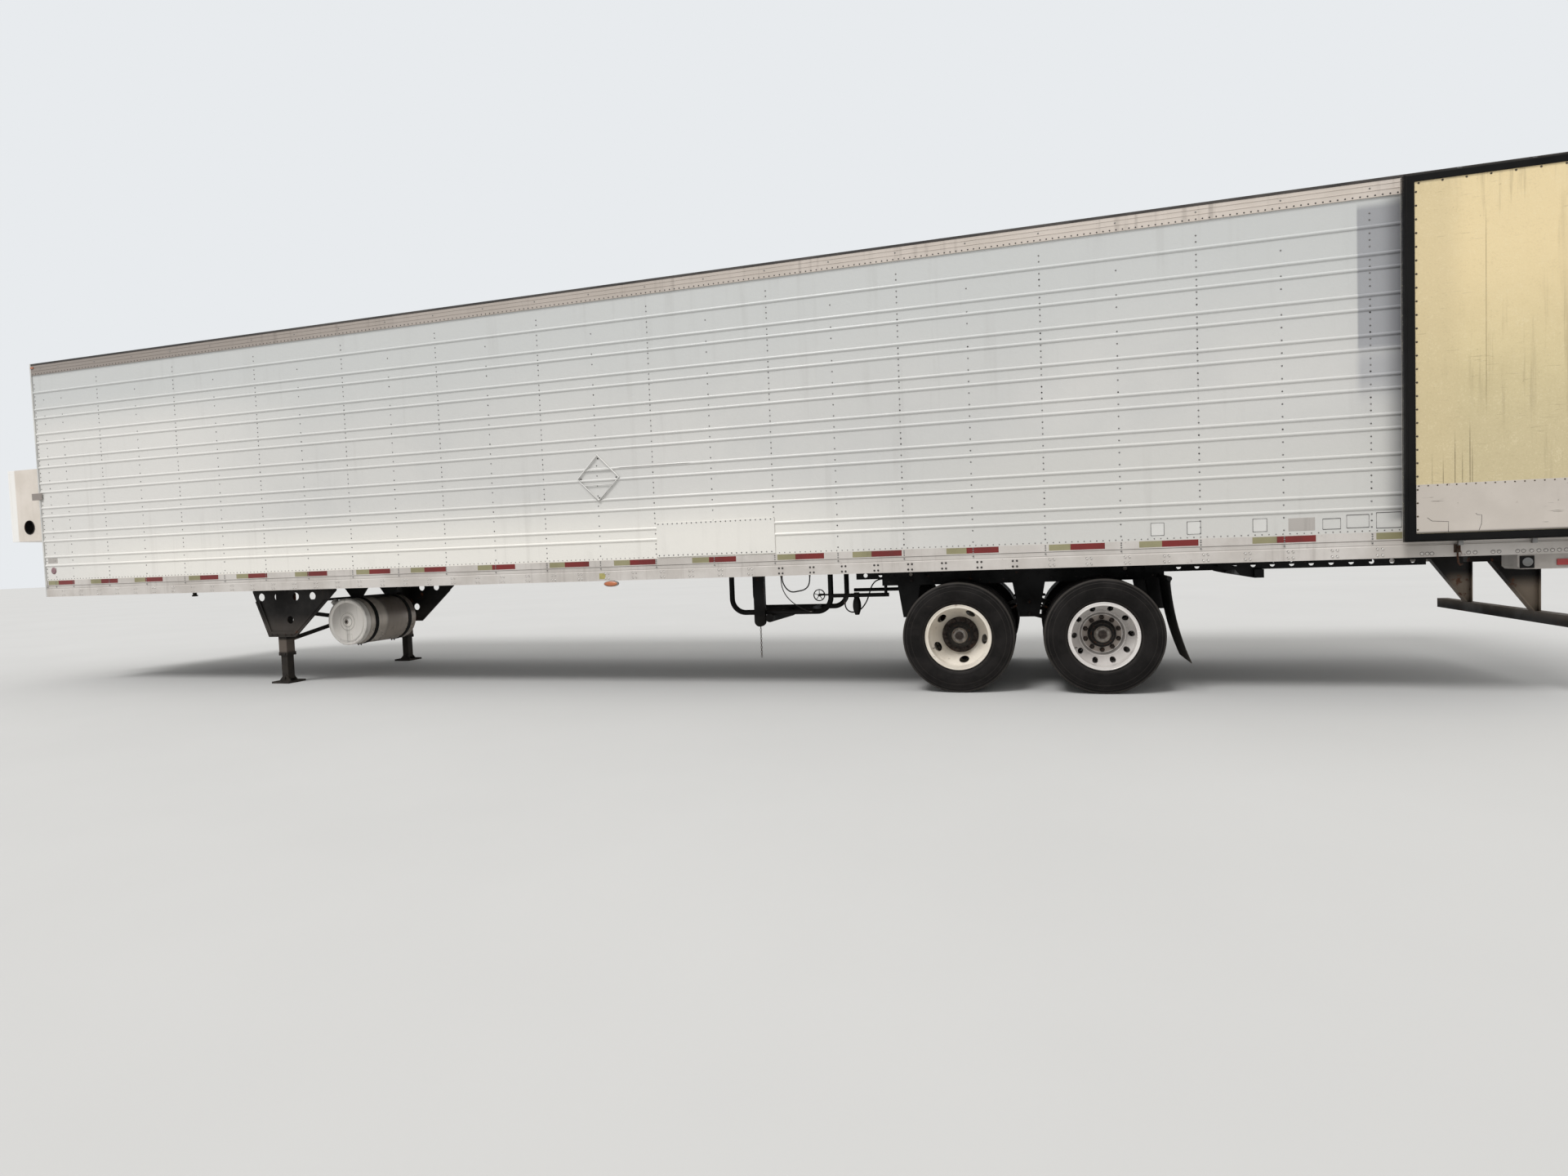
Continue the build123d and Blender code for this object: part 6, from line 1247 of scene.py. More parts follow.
    def repair_sheet(self) -> None:
        """Riveted repair sheet low on the left skin."""
        sheet, dots = MeshMaker(), MeshMaker()
        self.sheet(sheet, self.repair, self.repair_rise, self.repair_depth, 0.002)
        for k in range(self.repair_rivets):
            x = at(self.repair_start + k * self.dense_pitch)
            for z in self.repair_rows:
                dots.rivet(x, z, SKIN_Y + self.repair_depth, Side.LEFT)
        self.shop.place("repair_sheet", sheet, SKIN)
        self.shop.place("repair_rivets", dots, RIVET)

    def placard_holder(self, side: Side) -> None:
        """Open diamond-shaped frame for a placard, with two bars across and the screws that hold it.

        Args:
            side: the skin's side.
        """
        x, z, half = at(self.holder[0]), self.holder[1], self.holder_half
        y = side.value * (SKIN_Y + self.holder_depth)
        bars, screws = MeshMaker(), MeshMaker()
        bars.rim([(x, z - half), (x + half, z), (x, z + half), (x - half, z)], y, self.holder_bar, 6)
        for rise in self.cross_rises:
            reach = half * (1.0 - abs(rise))
            bars.tube([(end, y, z + half * rise) for end in span(x, reach)], self.cross_bar, 6)
        inset = half - self.screw_inset
        for dx, dz in ((0.0, inset), (0.0, -inset), (inset, 0.0), (-inset, 0.0)):
            screws.rivet(x + dx, z + dz, SKIN_Y + 0.0015, side, 0.0085)
        self.shop.place("placard_rim_" + side.word, bars, WHITE_PATCH)
        self.shop.place("placard_screws_" + side.word, screws, RIVET_DARK)

    def build(self) -> None:
        """Builds every piece of the skins."""
        for side in Side:
            self.rivets(side)
            self.placard_holder(side)
        self.plates()
        self.repair_sheet()
        self.shop.dress(SKIN, "side_wall_left", "side_wall_right")
        self.shop.dress(ROOF, "roof_panel")
        self.shop.dress(DECK, "floor_deck")
        self.shop.dress(CHASSIS, "crossmembers", "coupler_plate")


@dataclass
class RailTrim:
    """Rivet groups and reflective tape of the bottom rails, and the edge of the roof."""

    shop: Workshop
    pale_length: float = 0.1778
    red_length: float = 0.2794
    tape_rise: Flat = (1.261, 1.313)
    tape_depth: Flat = (HALF_WIDTH - 0.001, HALF_WIDTH + 0.0008)
    tape_starts: tuple[float, ...] = (
        0.093, 0.831, 1.568, 2.443, 3.177, 4.039, 4.899, 5.627, 6.481, 7.349, 8.087, 8.938, 9.813, 10.543,
        11.403, 12.285, 13.015, 13.875, 14.752, 15.49)
    pitch: float = 0.3064
    group_half: Flat = (0.0175, 0.0245)
    group_rise: float = 0.048
    runway: Flat = (9.6, 12.1)
    seen_groups: tuple[float, ...] = (
        10.7605, 11.0728, 11.3782, 11.6903, 11.9954, 12.3078, 12.6136, 12.9201, 13.2283, 13.527, 13.84,
        14.152, 14.465, 14.777)
    bolt_height: float = 1.1375
    flush_bolts: tuple[float, ...] = (
        15.0592, 15.0945, 15.1253, 15.3646, 15.4075, 15.5227, 15.5609, 15.6788, 15.7164, 15.7664, 15.8121,
        15.855, 15.897, 15.9397, 15.982, 16.024)
    square_plate: Flat = (7.95, 1.158)
    square_half: Flat = (0.034, 0.029)
    edge_ends: Flat = (0.055, 16.035)
    ridges: tuple[Flat, ...] = ((3.966, 0.0045), (4.006, 0.0035))

    def tape(self, side: Side) -> None:
        """Strips of tape, each pale and then red.

        Args:
            side: the rail's side.
        """
        pale, red = MeshMaker(), MeshMaker()
        for start in self.tape_starts:
            middle, end = start + self.pale_length, start + self.pale_length + self.red_length
            for maker, s0, s1 in ((pale, start, middle), (red, middle, end)):
                maker.plate(side, (at(s1), at(s0)), self.tape_depth, self.tape_rise)
        self.shop.place("pale_tape_" + side.word, pale, TAPE_PALE)
        self.shop.place("red_tape_" + side.word, red, TAPE_RED)

    def rivets(self, side: Side) -> None:
        """Groups of four on the lower band, dark over the bogie's runway, and the flush bolts near the rear.

        Args:
            side: the rail's side.
        """
        pale, dark, rings = MeshMaker(), MeshMaker(), MeshMaker()
        first = self.seen_groups[0]
        ahead = [first - self.pitch * k for k in range(1, int(first / self.pitch))]
        for group in (*ahead, *self.seen_groups):
            heads = dark if self.runway[0] < group < self.runway[1] else pale
            for ds, dz in ((ds, dz) for ds in (-1.0, 1.0) for dz in (-1.0, 1.0)):
                x = at(group + ds * self.group_half[0])
                z = RAIL_BOTTOM + self.group_rise + dz * self.group_half[1]
                heads.rivet(x, z, HALF_WIDTH, side, 0.0105)
                # a larger dark disc set a little up and behind each pale head is its painted shadow
                if heads is pale:
                    rings.rivet(x + 0.0022, z + 0.0026, HALF_WIDTH - 0.0042, side, 0.0125)
        # radius and distance from the middle of the trailer
        washer = ((0.0125, HALF_WIDTH), (0.0148, HALF_WIDTH), (0.0145, HALF_WIDTH + 0.001),
                  (0.0128, HALF_WIDTH + 0.001))
        for station in self.flush_bolts:
            rings.turned(washer, side, (at(station), self.bolt_height), 16, True)
            pale.rivet(at(station), self.bolt_height, HALF_WIDTH - 0.003, side, 0.0125)
        self.shop.place("rail_rivets_" + side.word, pale, RAIL_RIVET, round_angle=40.0)
        self.shop.place("runway_bolts_" + side.word, dark, RIVET_DARK)
        self.shop.place("flush_bolt_rings_" + side.word, rings, RIVET_DARK)

    def small_plate(self) -> None:
        """Small blank square plate on the left rail above the marker lamp."""
        plate = MeshMaker()
        plate.plate(Side.LEFT, span(at(self.square_plate[0]), self.square_half[0]),
                    (HALF_WIDTH - 0.001, HALF_WIDTH + 0.0015),
                    span(self.square_plate[1], self.square_half[1]), 0.0008)
        self.shop.place("small_square_plate", plate, OLIVE_PLATE)

    def roof_edge(self, side: Side) -> None:
        """Dark drip edge, and the ridges pressed along the top rail.

        Args:
            side: the rail's side.
        """
        dark, ridge = MeshMaker(), MeshMaker()
        far, near = (at(station) for station in self.edge_ends)
        dark.plate(side, (near, far), (HALF_WIDTH - 0.01, HALF_WIDTH + 0.0035),
                   (BODY_TOP - 0.026, BODY_TOP - 0.003), 0.002)
        inner, outer = side.value * (HALF_WIDTH - 0.001), side.value * (HALF_WIDTH + 0.003)
        for z, half in self.ridges:
            loop = [(inner, z - half), (outer, z - half * 0.4), (outer, z + half * 0.4), (inner, z + half)]
            ridge.prism(loop, Axis.X, near, far)
        self.shop.place("drip_edge_" + side.word, dark, ROOF_EDGE)
        self.shop.place("top_rail_ridges_" + side.word, ridge, TOP_RAIL)

    def build(self) -> None:
        """Builds every piece of the rails."""
        for side in Side:
            self.tape(side)
            self.rivets(side)
            self.roof_edge(side)
        self.small_plate()
        self.shop.dress(RAIL, "bottom_rails")
        self.shop.dress(TOP_RAIL, "top_rails")


@dataclass
class DoorLeaf:
    """One rear door as it lies back against the side."""

    shop: Workshop
    side: Side
    face: float = 1.438
    back: float = 1.3545
    hinge: float = 16.087
    free: float = 14.967
    low: float = 1.295
    high: float = 3.94
    kick_top: float = 1.668
    kick_face: float = 0.0016
    inset: float = 0.012
    bulb: float = 0.0055
    hinges: int = 5
    hinge_rise: Flat = (1.433, 3.802)
    strap_bolts: tuple[float, ...] = (15.925, 15.98, 16.035)
    strap_nut: Flat = (0.01, 0.006)
    large_rivet: float = 0.0085
    small_rivet: float = 0.006
    # count and pitch of the rivets up both edges, along the top and along the kick plate
    edge_row: tuple[int, float] = (26, 0.1016)
    top_row: tuple[int, float] = (8, 0.1524)
    kick_row: tuple[int, float] = (19, 0.061)

    @property
    def body(self) -> str:
        """The body that this door swings as."""
        return "door_" + self.side.word

    def rivets(self) -> None:
        """Brown rivets round the inner skin and along the kick plate."""
        heads = MeshMaker()
        count, pitch = self.edge_row
        for k in range(count):
            z = self.low + 0.03 + k * pitch
            for station in (self.free + self.inset, self.hinge - self.inset):
                heads.rivet(at(station), z, self.face, self.side, self.large_rivet)
        count, pitch = self.top_row
        for k in range(count):
            station = self.free + 0.03 + k * pitch
            heads.rivet(at(station), self.high - self.inset, self.face, self.side, self.large_rivet)
        count, pitch = self.kick_row
        z, face = self.kick_top - 0.01, self.face + self.kick_face
        for k in range(count):
            heads.rivet(at(self.free + 0.02 + k * pitch), z, face, self.side, self.small_rivet)
        self.shop.place("door_rivets_" + self.side.word, heads, DOOR_RIVET, self.body)

    def kick_plate(self) -> None:
        """Scuffed white plate along the bottom of the inner skin."""
        plate = MeshMaker()
        plate.plate(self.side, (at(self.hinge - 0.003), at(self.free + 0.003)),
                    (self.face - 0.001, self.face + self.kick_face), (self.low + 0.002, self.kick_top),
                    0.0008)
        self.shop.place("kick_plate_" + self.side.word, plate, KICK, self.body)

    def dents(self) -> None:
        """Two bent dark creases low on the left kick plate."""
        crease = MeshMaker()
        y = self.face + 0.0014
        # stations and heights along each crease
        for path in (((15.041, 1.415), (15.072, 1.388), (15.178, 1.38), (15.176, 1.303)),
                     ((15.352, 1.435), (15.361, 1.424), (15.39, 1.421), (15.388, 1.354), (15.373, 1.309))):
            crease.tube([(at(s), y, z) for s, z in path], 0.0017, 5)
        self.shop.place("kick_plate_creases", crease, FRAME_LINE, self.body)

    def seal(self) -> None:
        """Round bulbs along both edges of the seal."""
        bulb = MeshMaker()
        for grow in (0.004, 0.046):
            first = (at(self.free - grow), self.low - grow)
            last = (at(self.hinge + grow), self.high + grow)
            bulb.rim(corners(first, last), self.side.value * (self.face + 0.0022), self.bulb, 8)
        self.shop.place("seal_bulbs_" + self.side.word, bulb, GASKET, self.body)

    def bolts(self) -> None:
        """Bolts of the hinge straps."""
        heads = MeshMaker()
        first, last = self.hinge_rise
        for k in range(self.hinges):
            z = first + k * (last - first) / (self.hinges - 1)
            for station in self.strap_bolts:
                for rise in (0.025, -0.025):
                    place = (at(station), self.back, z + rise)
                    heads.side_nut(self.side, place, *self.strap_nut, inward=True)
        self.shop.place("hinge_bolts_" + self.side.word, heads, BOLT, self.body)

    def build(self) -> None:
        """Builds every piece of the door."""
        self.rivets()
        self.kick_plate()
        if self.side is Side.LEFT:
            self.dents()
        self.seal()
        self.bolts()
        self.shop.dress(CREAM, self.body)
        self.shop.dress(GASKET, "door_gasket_" + self.side.word)
        self.shop.dress(HARDWARE, "door_hardware_" + self.side.word)


class WheelStyle(Enum):
    """The two kinds of disc that the trailer stands on."""

    OVAL_HOLES = "front"
    ROUND_HOLES = "rear"


@dataclass
class WheelPair:
    """Twin tyres, studs and hub of one end of an axle."""

    shop: Workshop
    style: WheelStyle
    side: Side
    station: float
    seat: float = 0.9705
    centres: Flat = (1.13, 0.787)
    # radius and distance from the middle plane of a tyre
    wall: tuple[Flat, ...] = (
        (0.287, 0.107), (0.299, 0.1085), (0.303, 0.116), (0.309, 0.119), (0.311, 0.1175), (0.319, 0.1245),
        (0.335, 0.1315), (0.338, 0.1308), (0.356, 0.1375), (0.38, 0.1405), (0.404, 0.1412), (0.424, 0.1405),
        (0.427, 0.1392), (0.431, 0.14), (0.444, 0.1378), (0.447, 0.1362), (0.451, 0.1368), (0.464, 0.1335),
        (0.467, 0.1315), (0.471, 0.1318), (0.484, 0.1265), (0.496, 0.119), (0.5015, 0.111))
    grooves: Flat = (0.078, 0.027)
    groove_radii: Flat = (0.503, 0.49)
    groove_half: Flat = (0.0065, 0.0045)
    # radius and distance from the middle of the trailer
    hub_ring: tuple[Flat, ...] = ((0.098, 1.008), (0.1, 1.03), (0.094, 1.038), (0.078, 1.04), (0.076, 1.02))
    hub_cap: tuple[Flat, ...] = ((0.064, 1.07), (0.066, 1.082), (0.058, 1.09), (0.04, 1.092), (0.038, 1.086))
    hub_plug: tuple[Flat, ...] = ((0.036, 1.08), (0.034, 1.096), (0.02, 1.1))
    wheel_nut: Flat = (0.0225, 0.024)
    hub_nut: Flat = (0.008, 0.006)
    stud_plate: tuple[Flat, ...] = (
        (0.166, 0.9695), (0.166, 0.982), (0.162, 0.985), (0.116, 0.985), (0.116, 0.9695))

    @property
    def body(self) -> str:
        """The body that this pair turns as."""
        return "wheels_%s_%s" % (self.style.value, self.side.word)

    @property
    def centre(self) -> Flat:
        """Row X and height of the axle."""
        return (at(self.station), AXLE_HEIGHT)

    @property
    def oval(self) -> bool:
        """Whether this is the kind with oval holes."""
        return self.style is WheelStyle.OVAL_HOLES

    @property
    def finish(self) -> Finish:
        """The disc's and the rims' paint."""
        return WHEEL_WHITE if self.oval else WHEEL_SILVER

    def section(self, centre: float) -> list[Flat]:
        """Section of one tyre.

        Args:
            centre: distance of its middle plane from the middle of the trailer.

        Returns:
            Radius and distance from the middle of the trailer, all round.
        """
        top, bottom = self.groove_radii
        wide, narrow = self.groove_half
        half = list(self.wall)
        for middle in self.grooves:
            half += [(top, middle + wide), (bottom, middle + narrow), (bottom, middle - narrow),
                     (top, middle - wide)]
        other = [(r, -y) for r, y in reversed(half)]
        return [(r, centre + y) for r, y in half + other]

    def tyres(self) -> None:
        """Both tyres, grooved along the tread and ringed on the walls."""
        maker = MeshMaker()
        for centre in self.centres:
            maker.turned(self.section(centre), self.side, self.centre, 104, True)
        name = "tyres_%s_%s" % (self.style.value, self.side.word)
        finish = TYRE_FRONT if self.oval else TYRE_REAR
        self.shop.place("grooved_" + name, maker, finish, self.body, [name], TYRE_ANGLE)

    def around(self, radius: float, degrees: float) -> Flat:
        """Row X and height of a place round the axle, turned up from straight rearward."""
        turn = math.radians(degrees)
        return (at(self.station) - radius * math.cos(turn), AXLE_HEIGHT + radius * math.sin(turn))

    def studs(self) -> None:
        """Ten wheel nuts with their studs."""
        radius, first = (0.138, 77.0) if self.oval else (0.146, 90.0)
        seat = self.seat + (0.014 if self.oval else 0.0)
        nuts = MeshMaker()
        for k in range(10):
            x, z = self.around(radius, first + 36.0 * k)
            nuts.side_nut(self.side, (x, seat, z), *self.wheel_nut)
        self.shop.place("wheel_nuts_" + self.body, nuts, NUT, self.body)

    def hub(self) -> None:
        """Hub ring, cap and its plug, with the flange plate of the oval-holed kind."""
        # word, section, finish, flats, whether the section closes
        parts = [("hub_ring_", self.hub_ring, BOLT, 40, False), ("hub_cap_", self.hub_cap, CAP, 40, False),
                 ("hub_plug_", self.hub_plug, NUT, 24, False)]
        if self.oval:
            parts.append(("stud_plate_", self.stud_plate, NUT, 48, True))
        for word, section, finish, flats, closes in parts:
            maker = MeshMaker()
            maker.turned(section, self.side, self.centre, flats, closes)
            for k in range(6 if section is self.hub_ring else 0):
                x, z = self.around(0.087, 60.0 * k + 20.0)
                maker.side_nut(self.side, (x, 1.039, z), *self.hub_nut)
            self.shop.place(word + self.body, maker, finish, self.body, round_angle=TURNED_ANGLE)

    def beads(self) -> None:
        """Rounded lip of the outer rim and the raised ring of the round-holed disc."""
        rings = MeshMaker()
        # radius, distance from the middle of the trailer, half the thickness
        lip, raised = (0.2935, 1.2455, 0.0042), (0.1975, 1.005, 0.0038)
        for radius, y, half in ((lip,) if self.oval else (lip, raised)):
            section = [(radius + half * c, y + half * s) for c, s in circle(8)]
            rings.turned(section, self.side, self.centre, 72, True)
        self.shop.place("rim_rings_" + self.body, rings, self.finish, self.body)

    def valve(self) -> None:
        """Valve stem on the outer rim."""
        stem = MeshMaker()
        sign = self.side.value
        x0, z0 = self.around(0.262, 205.0)
        x1, z1 = self.around(0.246, 205.0)
        stem.tube([(x0, sign * 1.14, z0), (x1, sign * 1.165, z1), (x1, sign * 1.2, z1)], 0.0045, 8)
        self.shop.place("valve_stem_" + self.body, stem, CAP, self.body)

    def build(self) -> None:
        """Builds every piece of the pair."""
        self.tyres()
        self.studs()
        self.hub()
        self.beads()
        self.valve()
        self.shop.dress(self.finish, self.body)


@dataclass
class LandingGear:
    """Bolts and marks of the landing legs and the tank beside them."""

    shop: Workshop
    station: float = 3.56
    face: float = 1.081
    top_bolts: tuple[float, ...] = (-0.36, -0.19, 0.1, 0.37, 0.62, 0.8)
    low_bolts: tuple[float, ...] = (-0.12, -0.04, 0.08, 0.17)
    top_height: float = 1.098
    low_height: float = 0.578
    gearbox_face: float = 0.897
    gearbox_heights: Flat = (0.915, 1.045)
    # distance from the middle of the trailer and height of the bolts over the feet
    foot_bolts: Flat = (1.073, 0.345)
    # offset from the leg's station, and height
    bead: tuple[Flat, ...] = (
        (-0.319, 0.97), (-0.16, 0.589), (-0.15, 0.581), (0.2, 0.581), (0.218, 0.588), (0.668, 0.97))
    band_depth: float = 0.014
    large_nut: Flat = (0.011, 0.009)
    small_nut: Flat = (0.009, 0.007)
    tank_end: float = 0.795
    tank_recess: float = 0.012
    label: Flat = (4.275, 0.5)
    label_half: Flat = (0.035, 0.042)
    straps: Flat = (0.61, 0.05)
    strap_foot: float = 0.408

    def bolts(self) -> None:
        """Bolts along the wing plates' bands, on the gearboxes and at the legs' collars."""
        heads = MeshMaker()
        for side in Side:
            for offset in self.top_bolts:
                place = (at(self.station + offset), self.face, self.top_height)
                heads.side_nut(side, place, *self.large_nut)
            for offset in self.low_bolts:
                place = (at(self.station + offset), self.face + self.band_depth, self.low_height)
                heads.side_nut(side, place, *self.large_nut)
            for dx in (-0.042, 0.042):
                for z in self.gearbox_heights:
                    place = (at(self.station + dx), self.gearbox_face, z)
                    heads.side_nut(side, place, *self.small_nut, inward=True)
            for dx in (-0.03, 0.03):
                heads.side_nut(side, (at(self.station + dx), *self.foot_bolts), *self.small_nut)
        self.shop.place("leg_bolts", heads, BOLT)

    def wing_beads(self) -> None:
        """Raised bead along both slants and the foot of each wing plate."""
        beads = MeshMaker()
        for side in Side:
            y = side.value * (self.face + 0.0145)
            beads.tube([(at(self.station + s), y, z) for s, z in self.bead], 0.0065, 8)
        self.shop.place("wing_beads", beads, LEG)

    def tank_fittings(self) -> None:
        """Embossed ring, blank label frame and plug on the tank's end, and the strap bolts."""
        ring, plug, bolts = MeshMaker(), MeshMaker(), MeshMaker()
        y = self.tank_end - self.tank_recess
        bead = [(0.106, y - 0.002), (0.1096, y + 0.003), (0.1144, y + 0.003), (0.118, y - 0.002)]
        ring.turned(bead, Side.LEFT, TANK_CENTRE, 56, True)
        ring.rim(about((at(self.label[0]), self.label[1]), self.label_half), y + 0.001, 0.0022)
        plug.side_nut(Side.LEFT, (TANK_CENTRE[0], self.tank_end, TANK_CENTRE[1]), 0.017, 0.008)
        for strap in self.straps:
            for dx in (-0.02, 0.02):
                bolts.nut((TANK_CENTRE[0] + dx, strap, self.strap_foot), Axis.Z, -1.0, 0.01, 0.01)
        self.shop.place("tank_end_ring", ring, TANK, round_angle=TURNED_ANGLE)
        self.shop.place("tank_plug", plug, BOLT)
        self.shop.place("strap_bolts", bolts, BOLT)

    def build(self) -> None:
        """Builds every piece of the legs and the tank."""
        self.bolts()
        self.wing_beads()
        self.tank_fittings()
        self.shop.dress(LEG, "leg_tubes", "leg_feet", "leg_wings", "leg_braces")
        self.shop.dress(TANK, "fuel_tank")
        self.shop.dress(STRAP, "tank_straps")
        self.shop.dress(KINGPIN, "kingpin")


@dataclass
class BogieGear:
    """Nuts and locking pins of the sliding bogie, and the chain under the spare wheel carrier."""

    shop: Workshop
    beam: float = 0.588
    spring: float = 0.544
    clamp_nut: Flat = (0.015, 0.014)
    pin_nut: Flat = (0.018, 0.014)
    beam_nut: Flat = (0.011, 0.008)
    clamp_half: Flat = (0.0765, 0.045)
    clamp_foot: float = 0.4275
    # station and height
    pins: tuple[Flat, ...] = ((10.955, 0.67), (12.1023, 0.66), (12.1023, 0.7715))
    beam_nuts: int = 12
    first_nut: float = 10.76
    nut_pitch: float = 0.222
    beam_nut_height: float = 1.0
    links: int = 15
    link_pitch: float = 0.0235
    link_half: Flat = (0.0085, 0.0145)
    chain_top: Point = (9.34, 0.436, 0.562)
    lock_stations: Flat = (10.9822, 12.9634)
    lock_height: float = 1.068
    # radius and distance from the middle of the trailer
    lock_pin: tuple[Flat, ...] = ((0.019, 0.56), (0.019, 0.612), (0.015, 0.616))

    def nuts(self) -> None:
        """Nuts under the spring clamps, on the hangers' pins and along the beams."""
        heads = MeshMaker()
        half_x, half_y = self.clamp_half
        for axle in (FRONT_AXLE, REAR_AXLE):
            for side in Side:
                for ds, dy in ((-half_x, -half_y), (-half_x, half_y), (half_x, -half_y), (half_x, half_y)):
                    place = (at(axle + ds), side.value * (self.spring + dy), self.clamp_foot)
                    heads.nut(place, Axis.Z, -1.0, *self.clamp_nut)
        for station, z in self.pins:
            for side in Side:
                heads.side_nut(side, (at(station), self.beam, z), *self.pin_nut)
        for k in range(self.beam_nuts):
            for side in Side:
                place = (at(self.first_nut + k * self.nut_pitch), self.beam, self.beam_nut_height)
                heads.side_nut(side, place, *self.beam_nut)
        self.shop.place("bogie_nuts", heads, BOLT, "tandem")

    def post_chain(self) -> None:
        """Short chain that hangs from the foot of the winch post, as joined links."""
        links = MeshMaker()
        station, y, top = self.chain_top
        x = at(station)
        wide, tall = self.link_half
        for k in range(self.links):
            z = top - self.link_pitch * k
            ring = [(wide * c, z + tall * s) for c, s in circle(12)]
            loop = [(x + across, y, up) if k % 2 == 0 else (x, y + across, up) for across, up in ring]
            links.tube(loop, 0.0026, 6, True)
        self.shop.place("winch_chain", links, CHAIN)

    def lock_pins(self) -> None:
        """Ends of the four locking pins that hold the bogie in the runway."""
        pins = MeshMaker()
        for station in self.lock_stations:
            for side in Side:
                pins.turned(self.lock_pin, side, (at(station), self.lock_height), 20)
        self.shop.place("slide_lock_pins", pins, CAP, "tandem", round_angle=TURNED_ANGLE)

    def build(self) -> None:
        """Builds every piece of the bogie and dresses what hangs near it."""
        self.nuts()
        self.post_chain()
        self.lock_pins()
        self.shop.dress(CHASSIS, "bogie_frame", "spring_hangers", "suspension_links", "axles",
                        "brake_chambers", "air_tank", "slider_rails", "spare_carrier", "relay_valve")
        self.shop.dress(SPRING, "leaf_springs", "spring_clamps")
        self.shop.dress(RUBBER, "mud_flaps")


@dataclass
class MarkerLamps:
    """Oval marker lamps that hang under the bottom rails."""

    shop: Workshop
    station: float = 8.041
    height: float = 1.079
    half_length: float = 0.08
    half_height: float = 0.03
    sides: int = 32
    # share of the lamp's size and distance from the middle of the trailer
    rim: tuple[Flat, ...] = ((1.0, 1.268), (1.0, 1.292), (0.95, 1.296), (0.8, 1.296), (0.78, 1.29))
    lens: tuple[Flat, ...] = ((0.8, 1.284), (0.79, 1.297), (0.66, 1.3015), (0.4, 1.3035), (0.12, 1.304))
    bracket_half: Flat = (0.03, 0.024)

    def ring(self, share: float, y: float) -> list[Point]:
        """Points of one oval of the lamp.

        Args:
            share: its size as a share of the whole lamp.
            y: its distance from the middle of the trailer, with its sign.

        Returns:
            The points in order.
        """
        inset = (1.0 - share) * self.half_height
        wide, tall = self.half_length - inset, self.half_height - inset
        return [(at(self.station) + wide * c, y, self.height + tall * s) for c, s in circle(self.sides)]

    def shell(self, steps: Sequence[Flat]) -> MeshMaker:
        """Ovals joined to one closed form on both sides of the trailer.

        Args:
            steps: share of the lamp's size and distance from the middle for each oval.

        Returns:
            A maker with both forms.
        """
        maker = MeshMaker()
        for side in Side:
            points = [point for share, y in steps for point in self.ring(share, side.value * y)]
            maker.rings(points, len(steps), True)
        return maker

    def build(self) -> None:
        """Builds the lamps' rims, lenses and brackets."""
        bracket = MeshMaker()
        wide, drop = self.bracket_half
        for side in Side:
            bracket.plate(side, span(at(self.station), wide), (1.262, 1.268),
                          (self.height - drop, RAIL_BOTTOM + 0.004), 0.001)
        self.shop.place("marker_lamp_rims", self.shell(self.rim), LAMP_BOX, round_angle=TURNED_ANGLE)
        self.shop.place("marker_lamp_lenses", self.shell(self.lens), AMBER_LENS, "trailer", ["lamps_amber"],
                        LENS_ANGLE)
        self.shop.place("marker_lamp_brackets", bracket, CHASSIS)


